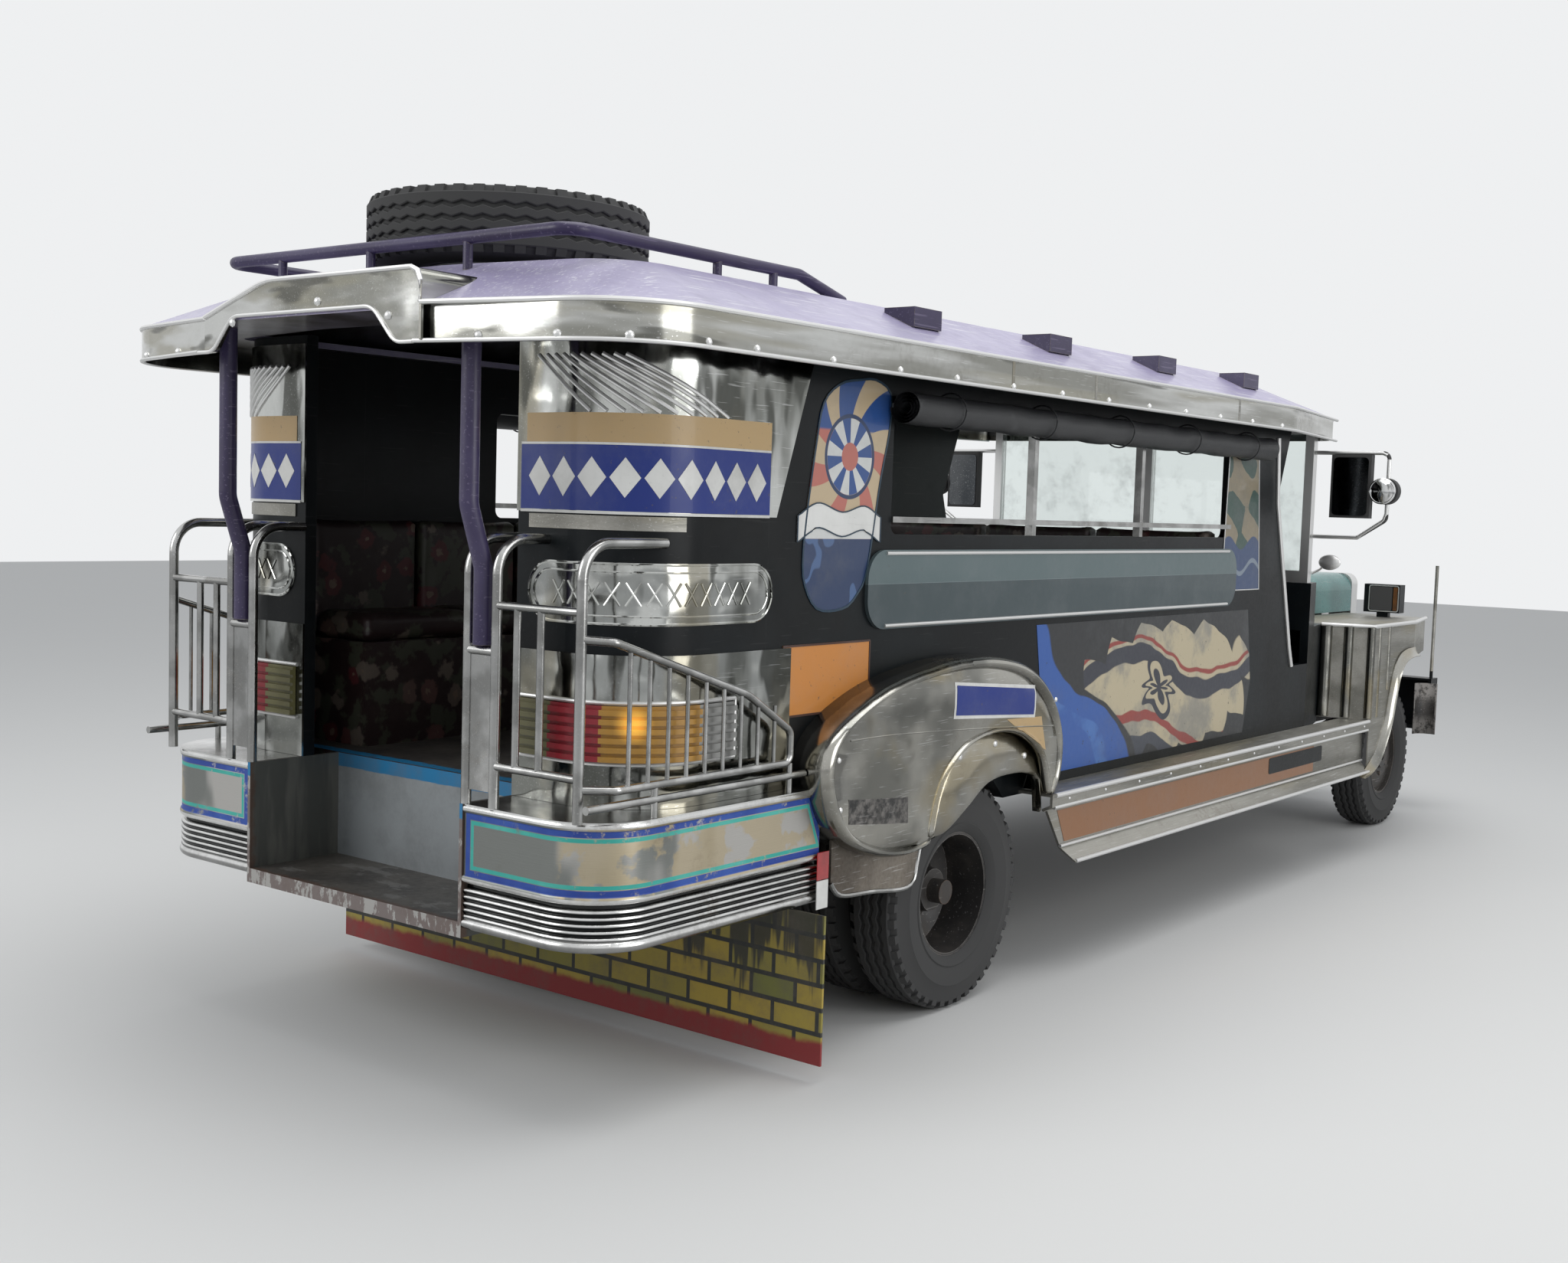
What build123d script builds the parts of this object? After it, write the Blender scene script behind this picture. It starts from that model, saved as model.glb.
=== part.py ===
from build123d import *
import os
from math import cos, radians, sin

# A long open-backed passenger jeepney: a ladder frame on six tyres, a stainless and
# painted body with a rear step well, side benches, a domed roof with a rack, and a
# short front with a hinged hood.
# Units are millimetres. X points forward, Y to the vehicle's left, Z up. The origin
# lies on the ground at the middle of the overall length and width.
# Pieces that come in pairs are modelled on the right side (minus Y) and mirrored.

os.makedirs("parts", exist_ok=True)

# Driving dimensions: lengths along the vehicle
wheelbase = 4524.0
rear_overhang = 1896.0           # rear axle to the rear face of the roof fascia
front_overhang = 690.0           # front axle to the front face of the front bumper
rear_axle_x = (rear_overhang - wheelbase - front_overhang) / 2
front_axle_x = rear_axle_x + wheelbase
rear_end_x = rear_axle_x - rear_overhang
drawn_wheelbase = 4524.0         # wheelbase at which the stations ahead of the rear axle are given
front_end_x = front_axle_x + front_overhang


def station(distance):
    """Return X of a place ahead of the rear axle; it keeps its share of the wheelbase."""
    return rear_axle_x + distance * wheelbase / drawn_wheelbase


# Driving dimensions: wheels
tyre_radius = 375.0
tyre_width = 190.0
rim_radius = 203.0
tyre_seat_gap = 0.4              # tyre bead to rim
front_tyre_y = 729.0
rear_outer_tyre_y = 847.0
dual_spacing = 235.0
axle_z = tyre_radius
running_clearance = 0.06         # radial, wheel bore on its stub

# Driving dimensions: body
body_half_width = 895.0
wall = 40.0
deck_z = 820.0
floor_thickness = 30.0
body_rear_x = rear_axle_x - 1530.0
body_corner_radius = 250.0
entrance_half_width = 460.0
soffit_z = 2085.0
sill_z = 1545.0
window_head_z = 1925.0
running_board_z = 665.0
seat_gap = 0.3                   # between pieces that seat on each other

# Driving dimensions: roof
roof_half_width = body_half_width + 185.0
roof_edge_z = 2105.0
roof_front_x = station(3200.0)
roof_taper_x = station(2300.0)
roof_front_half_width = body_half_width + 35.0
roof_corner_radius = 280.0
roof_sheet = 28.0
fascia_sheet = 10.0
fascia_bottom_z = 2000.0
fascia_top_z = 2098.0

# Driving dimensions: rear deck, bumper and step well
bumper_rear_x = rear_axle_x - 1718.0
bumper_half_width = body_half_width + 65.0
bumper_corner_radius = 200.0
bumper_front_x = rear_axle_x - 800.0
band_bottom_z = 622.0
louvre_bottom_z = 502.0
step_half_width = entrance_half_width + 10.0
step_z = 505.0
step_sheet = 12.0
riser_x = rear_axle_x - 1400.0

# Driving dimensions: cab and front
cowl_rear_x = station(3090.0)
cowl_front_x = station(3270.0)
cowl_half_width = 790.0
cowl_z = 1335.0
fender_rear_x = station(3535.0)
fender_z = 1125.0
hood_half_width = 480.0
grille_x = station(4820.0)
moving_gap = 6.0


def tube(points, radius, bend=0.0):
    """Return a round tube along straight runs joined by bends of one radius."""
    with BuildPart() as run:
        with BuildLine() as path:
            if len(points) == 2:
                Line(*points)
            else:
                FilletPolyline(*points, radius=bend)
        with BuildSketch(Plane(origin=path.line @ 0, z_dir=path.line % 0)):
            Circle(radius)
        sweep(path=path.line)
    return run.part


def joined(solids):
    """Fuse a list of solids into one piece."""
    with BuildPart() as piece:
        add(solids)
    return piece


def mirrored(piece):
    """Return the same piece for the vehicle's left side."""
    with BuildPart() as other:
        mirror(piece.part, about=Plane.XZ)
    return other


def paired(*sides):
    """Return right-hand pieces together with their left-hand twins."""
    with BuildPart() as both:
        for side in sides:
            add(side.part)
            mirror(side.part, about=Plane.XZ)
    return both


pieces = {}

# Ladder frame: two box rails and six cross members
rail_y = 375.0
rail_width = 60.0
rail_top_z = 640.0
rail_depth = 125.0
rail_bottom_z = rail_top_z - rail_depth
frame_rear_x = riser_x + step_sheet
bumper_plate = 12.0
frame_front_x = front_end_x - bumper_plate - seat_gap
engine_length = 760.0
engine_width = 520.0
engine_front_x = grille_x - 170.0
engine_middle_x = engine_front_x - engine_length / 2
engine_mount_depth = 40.0
cross_member_width = 70.0
cross_member_depth = 80.0
cross_member_x = [
    rear_axle_x - 1100.0,
    rear_axle_x - 660.0,
    station(780.0),
    station(1900.0),
    station(2900.0),
    front_axle_x + 470.0,
]
with BuildPart() as chassis_frame:
    for side in (-1, 1):
        with BuildSketch(Plane.XY.offset(rail_bottom_z)):
            with Locations(((frame_rear_x + frame_front_x) / 2, side * rail_y)):
                Rectangle(frame_front_x - frame_rear_x, rail_width)
        extrude(amount=rail_depth)
    with BuildSketch(Plane.XY.offset(rail_top_z - cross_member_depth)):
        with Locations([(x, 0) for x in cross_member_x]):
            Rectangle(cross_member_width, 2 * rail_y)
    extrude(amount=cross_member_depth)
    with BuildSketch(Plane.XY.offset(rail_top_z - engine_mount_depth)):
        for side in (-1, 1):
            with Locations((engine_middle_x, side * (engine_width / 2 + seat_gap + rail_y) / 2)):
                Rectangle(2 * cross_member_width, rail_y - engine_width / 2 - seat_gap)
    extrude(amount=engine_mount_depth)
pieces["chassis_frame"] = chassis_frame

# Leaf springs: a bowed pack under each rail at each axle, with its end eyes
spring_width = 56.0
spring_half_length = {"rear": 600.0, "front": 480.0}
spring_pack_height = 44.0
spring_end_height = 18.0
axle_pad_z = axle_z + 48.0
spring_eye_z = rail_bottom_z - seat_gap
with BuildPart() as leaf_springs:
    for axle_x, half in (
        (rear_axle_x, spring_half_length["rear"]),
        (front_axle_x, spring_half_length["front"]),
    ):
        for side in (-1, 1):
            with BuildSketch(Plane.XZ.offset(-side * rail_y - spring_width / 2)):
                with BuildLine():
                    Polyline(
                        (axle_x - half, spring_eye_z),
                        (axle_x - half, spring_eye_z - spring_end_height),
                    )
                    ThreePointArc(
                        (axle_x - half, spring_eye_z - spring_end_height),
                        (axle_x, axle_pad_z),
                        (axle_x + half, spring_eye_z - spring_end_height),
                    )
                    Line(
                        (axle_x + half, spring_eye_z - spring_end_height),
                        (axle_x + half, spring_eye_z),
                    )
                    ThreePointArc(
                        (axle_x + half, spring_eye_z),
                        (axle_x, axle_pad_z + spring_pack_height),
                        (axle_x - half, spring_eye_z),
                    )
                make_face()
            extrude(amount=spring_width)
pieces["leaf_springs"] = leaf_springs

# Rear axle: tube with a round differential housing, pads and two wheel stubs
stub_radius = 40.0
axle_tube_radius = 48.0 - seat_gap
hub_face_y = rear_outer_tyre_y + 40.0
drum_inner_y = rear_outer_tyre_y - dual_spacing - 105.0
differential_radius = 130.0
with BuildPart() as rear_axle:
    with BuildSketch(Plane.XZ.offset(-drum_inner_y)):
        with Locations((rear_axle_x, axle_z)):
            Circle(axle_tube_radius)
    extrude(amount=2 * drum_inner_y)
    with BuildSketch(Plane.XZ.offset(-hub_face_y)):
        with Locations((rear_axle_x, axle_z)):
            Circle(stub_radius)
    extrude(amount=2 * hub_face_y)
    with Locations((rear_axle_x, 0, axle_z)):
        Sphere(differential_radius)
pieces["rear_axle"] = rear_axle

# Front axle: dropped beam with a vertical kingpin at each end
kingpin_y = 600.0
kingpin_radius = 14.0
kingpin_boss_radius = 30.0
kingpin_boss_height = 90.0
kingpin_length = 180.0
beam_width = 70.0
beam_height = 56.0
beam_drop = 40.0
with BuildPart() as front_axle:
    with BuildSketch(Plane.YZ.offset(front_axle_x - beam_width / 2)):
        with BuildLine():
            Polyline(
                (-kingpin_y, axle_z + beam_height / 2),
                (-kingpin_y, axle_z - beam_height / 2),
                (-kingpin_y + 90, axle_z - beam_height / 2),
                (-kingpin_y + 150, axle_z - beam_height / 2 - beam_drop),
                (kingpin_y - 150, axle_z - beam_height / 2 - beam_drop),
                (kingpin_y - 90, axle_z - beam_height / 2),
                (kingpin_y, axle_z - beam_height / 2),
                (kingpin_y, axle_z + beam_height / 2),
                (kingpin_y - 110, axle_z + beam_height / 2),
                (kingpin_y - 130, axle_pad_z - seat_gap),
                (-kingpin_y + 130, axle_pad_z - seat_gap),
                (-kingpin_y + 110, axle_z + beam_height / 2),
                close=True,
            )
        make_face()
    extrude(amount=beam_width)
    for side in (-1, 1):
        with BuildSketch(Plane.XY.offset(axle_z - kingpin_boss_height / 2)):
            with Locations((front_axle_x, side * kingpin_y)):
                Circle(kingpin_boss_radius)
        extrude(amount=kingpin_boss_height)
        with BuildSketch(Plane.XY.offset(axle_z - kingpin_length / 2)):
            with Locations((front_axle_x, side * kingpin_y)):
                Circle(kingpin_radius)
        extrude(amount=kingpin_length)
pieces["front_axle"] = front_axle

# Knuckles: a yoke around each kingpin boss that carries the wheel's stub
lug_gap = 3.0
lug_thickness = 30.0
lug_length = 62.0
knuckle_plate_y = kingpin_y + kingpin_boss_radius + 14.0
knuckle_plate = 22.0
front_stub_radius = 26.0
front_stub_end_y = front_tyre_y + 62.0
knuckle_height = kingpin_boss_height + 2 * (lug_gap + lug_thickness)
with BuildPart() as knuckle_right:
    with Locations((front_axle_x, -knuckle_plate_y - knuckle_plate / 2, axle_z)):
        Box(90, knuckle_plate, knuckle_height)
    lug_inner_y = kingpin_y - 30.0
    lug_z = kingpin_boss_height / 2 + lug_gap + lug_thickness / 2
    for level in (-1, 1):
        with Locations((front_axle_x, -(lug_inner_y + knuckle_plate_y) / 2, axle_z + level * lug_z)):
            Box(60, knuckle_plate_y - lug_inner_y, lug_thickness)
    with BuildSketch(Plane.XY.offset(axle_z - knuckle_height)):
        with Locations((front_axle_x, -kingpin_y)):
            Circle(kingpin_radius + running_clearance)
    extrude(amount=2 * knuckle_height, mode=Mode.SUBTRACT)
    with BuildSketch(Plane.XZ.offset(knuckle_plate_y + knuckle_plate / 2)):
        with Locations((front_axle_x, axle_z)):
            Circle(front_stub_radius)
    extrude(amount=front_stub_end_y - knuckle_plate_y - knuckle_plate / 2)
pieces["knuckle_right"] = knuckle_right
pieces["knuckle_left"] = mirrored(knuckle_right)


def tyre(centre_x, centre_y, centre_z, outer_radius=tyre_radius, width=tyre_width, lie=None):
    """Return a tyre with squared shoulders; it lies about the Y axis unless turned."""
    half = width / 2
    bead = rim_radius + tyre_seat_gap
    with BuildPart() as ring:
        with BuildSketch(Plane.XY):
            with BuildLine():
                Polyline(
                    (bead, -half + 22),
                    (bead + 70, -half),
                    (outer_radius - 20, -half + 11),
                    (outer_radius, -half + 34),
                    (outer_radius, half - 34),
                    (outer_radius - 20, half - 11),
                    (bead + 70, half),
                    (bead, half - 22),
                    close=True,
                )
            make_face()
        revolve(axis=Axis.Y)
    placed = lie * ring.part if lie else ring.part
    return Location((centre_x, centre_y, centre_z)) * placed


def disc_wheel(centre_x, stations):
    """Return a wheel turned about the axle: its radial section is a closed outline."""
    with BuildPart() as turned:
        with BuildSketch(Plane.XY):
            with BuildLine():
                Polyline(*stations, close=True)
            make_face()
        revolve(axis=Axis.Y)
    return Location((centre_x, 0, axle_z)) * turned.part


# Front wheels: rim barrel, dished disc and hub over the stub
rim_sheet = 9.0
disc_sheet = 12.0
front_rim_inner_y = front_tyre_y - 68.0
front_rim_outer_y = front_tyre_y + 68.0
front_disc_y = front_tyre_y + 30.0
front_bore = front_stub_radius + running_clearance
hub_radius = 62.0
front_section = [
    (rim_radius, -front_rim_inner_y),
    (rim_radius, -front_rim_outer_y),
    (rim_radius - rim_sheet, -front_rim_outer_y),
    (rim_radius - rim_sheet, -front_disc_y - disc_sheet),
    (hub_radius + 50, -front_disc_y - disc_sheet - 18),
    (hub_radius + 12, -front_disc_y - disc_sheet),
    (hub_radius, -front_disc_y - disc_sheet - 30),
    (front_bore, -front_disc_y - disc_sheet - 30),
    (front_bore, -front_disc_y + 30),
    (hub_radius, -front_disc_y + 30),
    (hub_radius + 12, -front_disc_y),
    (hub_radius + 50, -front_disc_y - 18),
    (rim_radius - rim_sheet, -front_disc_y),
    (rim_radius - rim_sheet, -front_rim_inner_y),
]
with BuildPart() as wheel_front_right:
    add(disc_wheel(front_axle_x, front_section))
pieces["wheel_front_right"] = wheel_front_right
pieces["wheel_front_left"] = mirrored(wheel_front_right)
tyre_front_right = joined(tyre(front_axle_x, -front_tyre_y, axle_z))
pieces["tyre_front_right"] = tyre_front_right
pieces["tyre_front_left"] = mirrored(tyre_front_right)

# Rear wheels: two rims back to back on one hub, so the outer one is deeply dished
dual_inner_y = rear_outer_tyre_y - dual_spacing
dual_middle_y = (rear_outer_tyre_y + dual_inner_y) / 2
rear_bore = stub_radius + running_clearance
rear_hub_radius = 90.0
rear_section = [
    (rim_radius, -dual_inner_y + 68),
    (rim_radius, -rear_outer_tyre_y - 68),
    (rim_radius - rim_sheet, -rear_outer_tyre_y - 68),
    (rim_radius - rim_sheet, -dual_middle_y - 40),
    (rear_hub_radius + 50, -dual_middle_y - disc_sheet),
    (rear_hub_radius, -dual_middle_y - disc_sheet),
    (rear_hub_radius - 20, -rear_outer_tyre_y + 10),
    (rear_bore, -rear_outer_tyre_y + 10),
    (rear_bore, -dual_middle_y + 60),
    (rear_hub_radius, -dual_middle_y + 60),
    (rear_hub_radius, -dual_middle_y + disc_sheet),
    (rear_hub_radius + 50, -dual_middle_y + disc_sheet),
    (rim_radius - rim_sheet, -dual_middle_y + 40),
    (rim_radius - rim_sheet, -dual_inner_y + 68),
]
with BuildPart() as wheel_rear_right:
    add(disc_wheel(rear_axle_x, rear_section))
pieces["wheel_rear_right"] = wheel_rear_right
pieces["wheel_rear_left"] = mirrored(wheel_rear_right)
tyres_rear_right = joined([tyre(rear_axle_x, -y, axle_z) for y in (rear_outer_tyre_y, dual_inner_y)])
pieces["tyres_rear_right"] = tyres_rear_right
pieces["tyres_rear_left"] = mirrored(tyres_rear_right)

# Engine, gearbox and propeller shaft
engine_height = 560.0
engine_bottom_z = 560.0
with BuildPart() as engine_block:
    with Locations((engine_middle_x, 0, engine_bottom_z + engine_height / 2)):
        Box(engine_length, engine_width, engine_height)
    fillet(engine_block.edges().filter_by(Axis.X), radius=40)
pieces["engine_block"] = engine_block
gearbox_length = 620.0
gearbox_z = 535.0
gearbox_rear_x = engine_front_x - engine_length - gearbox_length
shaft_end_x = rear_axle_x + differential_radius - 4
with BuildPart() as drive_line:
    add(
        tube(
            [(gearbox_rear_x, 0, 520.0), (shaft_end_x + 60, 0, axle_z + 20)],
            38,
        )
    )
    with Locations((gearbox_rear_x + gearbox_length / 2, 0, gearbox_z)):
        Box(gearbox_length - 2 * seat_gap, 240, 200)
pieces["drive_line"] = drive_line

# Fuel tank under the left rail and the exhaust under the right one
tank_length = 620.0
tank_width = 300.0
tank_height = 230.0
tank_y = rail_y + rail_width / 2 + tank_width / 2 + seat_gap
with BuildPart() as fuel_tank:
    with Locations((station(1400), tank_y, rail_top_z - 20 - tank_height / 2)):
        Box(tank_length, tank_width, tank_height)
    fillet(fuel_tank.edges().filter_by(Axis.X), radius=40)
pieces["fuel_tank"] = fuel_tank

# Floor: one flat pan on cross bearers that stand on the rails
bearer_width = 60.0
bearer_x = [
    riser_x + 60.0,
    rear_axle_x - 900.0,
    rear_axle_x - 520.0,
    station(520.0),
    station(1250.0),
    station(1850.0),
    station(2400.0),
    station(2980.0),
]
floor_half_width = body_half_width - wall
with BuildPart() as floor_pan:
    with BuildSketch(Plane.XY.offset(deck_z - floor_thickness)):
        with BuildLine():
            Polyline(
                (riser_x + step_sheet, -floor_half_width),
                (cowl_rear_x, -floor_half_width),
                (fender_rear_x - wall, -cowl_half_width + wall),
                (fender_rear_x - wall, cowl_half_width - wall),
                (cowl_rear_x, floor_half_width),
                (riser_x + step_sheet, floor_half_width),
                close=True,
            )
        make_face()
    extrude(amount=floor_thickness)
    with BuildSketch(Plane.XY.offset(rail_top_z)):
        with Locations([(x, 0) for x in bearer_x]):
            Rectangle(bearer_width, 2 * floor_half_width)
    extrude(amount=deck_z - floor_thickness - rail_top_z)
pieces["floor_pan"] = floor_pan

# Rear step well: platform, two side walls and the riser up to the floor
step_plate = 42.0
with BuildPart() as step_well:
    with BuildSketch(Plane.XY.offset(step_z - step_plate)):
        with Locations(((bumper_rear_x + riser_x + step_sheet) / 2, 0)):
            Rectangle(riser_x + step_sheet - bumper_rear_x, 2 * step_half_width)
    extrude(amount=step_plate)
    with BuildSketch(Plane.XY.offset(step_z)):
        with Locations((riser_x + step_sheet / 2, 0)):
            Rectangle(step_sheet, 2 * step_half_width)
        for side in (-1, 1):
            with Locations(
                ((bumper_rear_x + riser_x + step_sheet) / 2, side * (step_half_width - step_sheet / 2))
            ):
                Rectangle(riser_x + step_sheet - bumper_rear_x, step_sheet)
    extrude(amount=deck_z - step_z)
pieces["step_well"] = step_well

# Rear body corners: a wall that turns from the entrance edge to the side
corner_front_x = rear_axle_x - 1000.0
with BuildPart() as corner_wall_right:
    with BuildSketch(Plane.XY.offset(deck_z)):
        with BuildLine() as corner_line:
            FilletPolyline(
                (body_rear_x, -entrance_half_width),
                (body_rear_x, -body_half_width),
                (corner_front_x, -body_half_width),
                radius=body_corner_radius,
            )
            FilletPolyline(
                (body_rear_x + wall, -entrance_half_width),
                (body_rear_x + wall, -body_half_width + wall),
                (corner_front_x, -body_half_width + wall),
                radius=body_corner_radius - wall,
            )
            Line((body_rear_x, -entrance_half_width), (body_rear_x + wall, -entrance_half_width))
            Line(
                (corner_front_x, -body_half_width),
                (corner_front_x, -body_half_width + wall),
            )
        make_face()
    extrude(amount=soffit_z - deck_z)
pieces["corner_walls"] = paired(corner_wall_right)


def corner_sheet(bottom_z, top_z, front_x, inner_y, sheet):
    """Return a thin sheet that wraps the outside of the right rear corner."""
    face = body_rear_x - seat_gap
    flank = body_half_width + seat_gap
    bend = body_corner_radius + seat_gap
    with BuildPart() as wrap:
        with BuildSketch(Plane.XY.offset(bottom_z)):
            with BuildLine():
                FilletPolyline(
                    (face, -inner_y), (face, -flank), (front_x, -flank), radius=bend
                )
                FilletPolyline(
                    (face - sheet, -inner_y),
                    (face - sheet, -flank - sheet),
                    (front_x, -flank - sheet),
                    radius=bend + sheet,
                )
                Line((face, -inner_y), (face - sheet, -inner_y))
                Line((front_x, -flank), (front_x, -flank - sheet))
            make_face()
        extrude(amount=top_z - bottom_z)
    return wrap.part


# Stainless sheets on the rear corners: the tall mirror above and the panel below
cladding_sheet = 6.0
mirror_bottom_z = 1588.0
lower_sheet_top_z = 1222.0
mirror_sheet_right = joined(
    corner_sheet(mirror_bottom_z, fascia_bottom_z + 60, corner_front_x, entrance_half_width, cladding_sheet)
)
pieces["mirror_sheets"] = paired(mirror_sheet_right)
lower_sheet_right = joined(
    corner_sheet(
        deck_z + seat_gap, lower_sheet_top_z, corner_front_x + 110, entrance_half_width, cladding_sheet
    )
)
pieces["lower_sheets"] = paired(lower_sheet_right)

# Side walls: from the rear corner to the door, with the window opening cut
wall_bottom_z = running_board_z - 15.0
door_sill_z = 960.0
window_rear_x = rear_axle_x - 405.0
window_front_x = station(2120.0)
wheel_arch_radius = tyre_radius + 55.0
with BuildPart() as side_wall_right:
    with BuildSketch(Plane.XZ.offset(body_half_width - wall)):
        with BuildLine():
            Polyline(
                (corner_front_x, wall_bottom_z),
                (cowl_rear_x, wall_bottom_z),
                (cowl_rear_x, door_sill_z),
                (station(2880), door_sill_z),
                (station(2840), door_sill_z + 90),
                (station(2626), 1700),
                (station(2780), soffit_z),
                (corner_front_x, soffit_z),
                close=True,
            )
        make_face()
        with BuildLine():
            FilletPolyline(
                (window_rear_x, sill_z),
                (window_front_x, sill_z),
                (window_front_x, window_head_z),
                (window_rear_x, window_head_z),
                radius=30,
                close=True,
            )
        make_face(mode=Mode.SUBTRACT)
        with Locations((rear_axle_x, axle_z)):
            Circle(wheel_arch_radius, mode=Mode.SUBTRACT)
    extrude(amount=wall)
pieces["side_wall_right"] = side_wall_right
pieces["side_wall_left"] = mirrored(side_wall_right)

# Window pillars and the rail just above the sill
bar = 26.0
window_rail_z = sill_z + 45.0
pillar_x = [station(456.0), station(1275.0)]
with BuildPart() as window_bars_right:
    with BuildSketch(Plane.XZ.offset(body_half_width - wall / 2)):
        with Locations([(x, (sill_z + window_head_z) / 2) for x in pillar_x]):
            Rectangle(bar, window_head_z - sill_z)
        with Locations(((window_rear_x + window_front_x) / 2, window_rail_z)):
            Rectangle(window_front_x - window_rear_x, 18)
    extrude(amount=wall / 2 + 8)
pieces["window_bars"] = paired(window_bars_right)

# Sign board under the windows
sign_sheet = 12.0
sign_length = 2720.0
sign_height = 240.0
sign_middle_x = station(830.0)
sign_z = 1378.0
with BuildPart() as sign_board_right:
    with BuildSketch(Plane.XZ.offset(body_half_width)):
        with Locations((sign_middle_x, sign_z)):
            RectangleRounded(sign_length, sign_height, 90)
    extrude(amount=sign_sheet)
pieces["sign_boards"] = paired(sign_board_right)

# Rolled curtain above the windows
curtain_radius = 44.0
curtain_rear_x = rear_axle_x - 445.0
curtain_front_x = station(2348.0)
curtain_y = body_half_width + 8 + curtain_radius + seat_gap
with BuildPart() as curtain_roll_right:
    with BuildSketch(Plane.YZ.offset(curtain_rear_x)):
        with Locations((-curtain_y, window_head_z + 5)):
            Circle(curtain_radius)
    extrude(amount=curtain_front_x - curtain_rear_x)
pieces["curtain_rolls"] = paired(curtain_roll_right)


# The roof's rear edge bows: a flat middle and swept ends, as shares of the half width
roof_middle_share = 0.32
roof_sweep_share = 0.12
roof_bow_share = 1.2


def roof_section(level, inset, radius):
    """Return the roof's plan outline at a height, drawn in by an inset."""
    rear = rear_end_x + fascia_sheet + seat_gap + inset
    front = roof_front_x - fascia_sheet - seat_gap - inset
    wide = roof_half_width - inset
    narrow = roof_front_half_width - inset
    middle = roof_middle_share * wide
    swept = rear + roof_sweep_share * wide
    bow = roof_bow_share * wide
    with BuildSketch(Plane.XY.offset(level)) as section:
        with BuildLine():
            FilletPolyline(
                (swept, -wide),
                (roof_taper_x, -wide),
                (front, -narrow),
                (front, narrow),
                (roof_taper_x, wide),
                (swept, wide),
                (rear, middle),
                (rear, -middle),
                radius=[radius, radius, radius / 2, radius / 2, radius, radius, bow, bow],
                close=True,
            )
        make_face()
    return section.sketch


# Roof: a hipped dome of straight-ruled bands over a flat soffit
# Columns: height, inset from the edge, corner radius
roof_bands = [
    (roof_edge_z, 0.0, roof_corner_radius),
    (2240.0, 290.0, 200.0),
    (2262.0, 560.0, 140.0),
    (2272.0, 800.0, 90.0),
]
crown_z = roof_bands[-1][0]
roof_outer = loft([roof_section(*band) for band in roof_bands], ruled=True)
roof_inner = loft(
    [roof_section(level - roof_sheet, inset, radius) for level, inset, radius in roof_bands], ruled=True
)
with BuildPart() as roof_panel:
    add(roof_outer)
    add(roof_inner, mode=Mode.SUBTRACT)
    add(extrude(roof_section(soffit_z, 0.0, roof_corner_radius), amount=roof_edge_z - soffit_z))
    add(
        extrude(roof_section(soffit_z, 260.0, 90.0), amount=roof_edge_z - soffit_z + 5),
        mode=Mode.SUBTRACT,
    )
pieces["roof_panel"] = roof_panel


def fascia_outline(level, grow, radius):
    """Return the fascia's plan outline, outside the roof edge by a distance."""
    return roof_section(level, -seat_gap - grow, radius + grow)


# Fascia: a band round the roof edge, notched and raised into a visor over the entrance
notch_half = 390.0
notch_top_half = 300.0
notch_top_z = 2095.0
notch_foot_radius = 60.0
notch_head_radius = 70.0
arch_half = 485.0
arch_corner = 35.0
arch_shoulder_y = 150.0
arch_shoulder_radius = 300.0
arch_foot_y = 430.0
arch_top_z = 2184.0
visor_sheet = 8.0
visor_depth = 260.0
fascia_height = fascia_top_z - fascia_bottom_z


def arch_outline(station, shrink):
    """Return the visor's arched outline on a plane across the vehicle."""
    with BuildSketch(Plane.YZ.offset(station)) as front_view:
        with BuildLine():
            FilletPolyline(
                (-arch_half + shrink, fascia_bottom_z + 2 * shrink),
                (-arch_half + shrink, arch_top_z - shrink),
                (arch_shoulder_y, arch_top_z - shrink),
                (arch_foot_y - shrink, fascia_top_z - shrink),
                (arch_foot_y - shrink, fascia_bottom_z + 2 * shrink),
                radius=[1, arch_corner - shrink, arch_shoulder_radius, 10, 1],
                close=True,
            )
        make_face()
    return front_view.sketch


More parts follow.
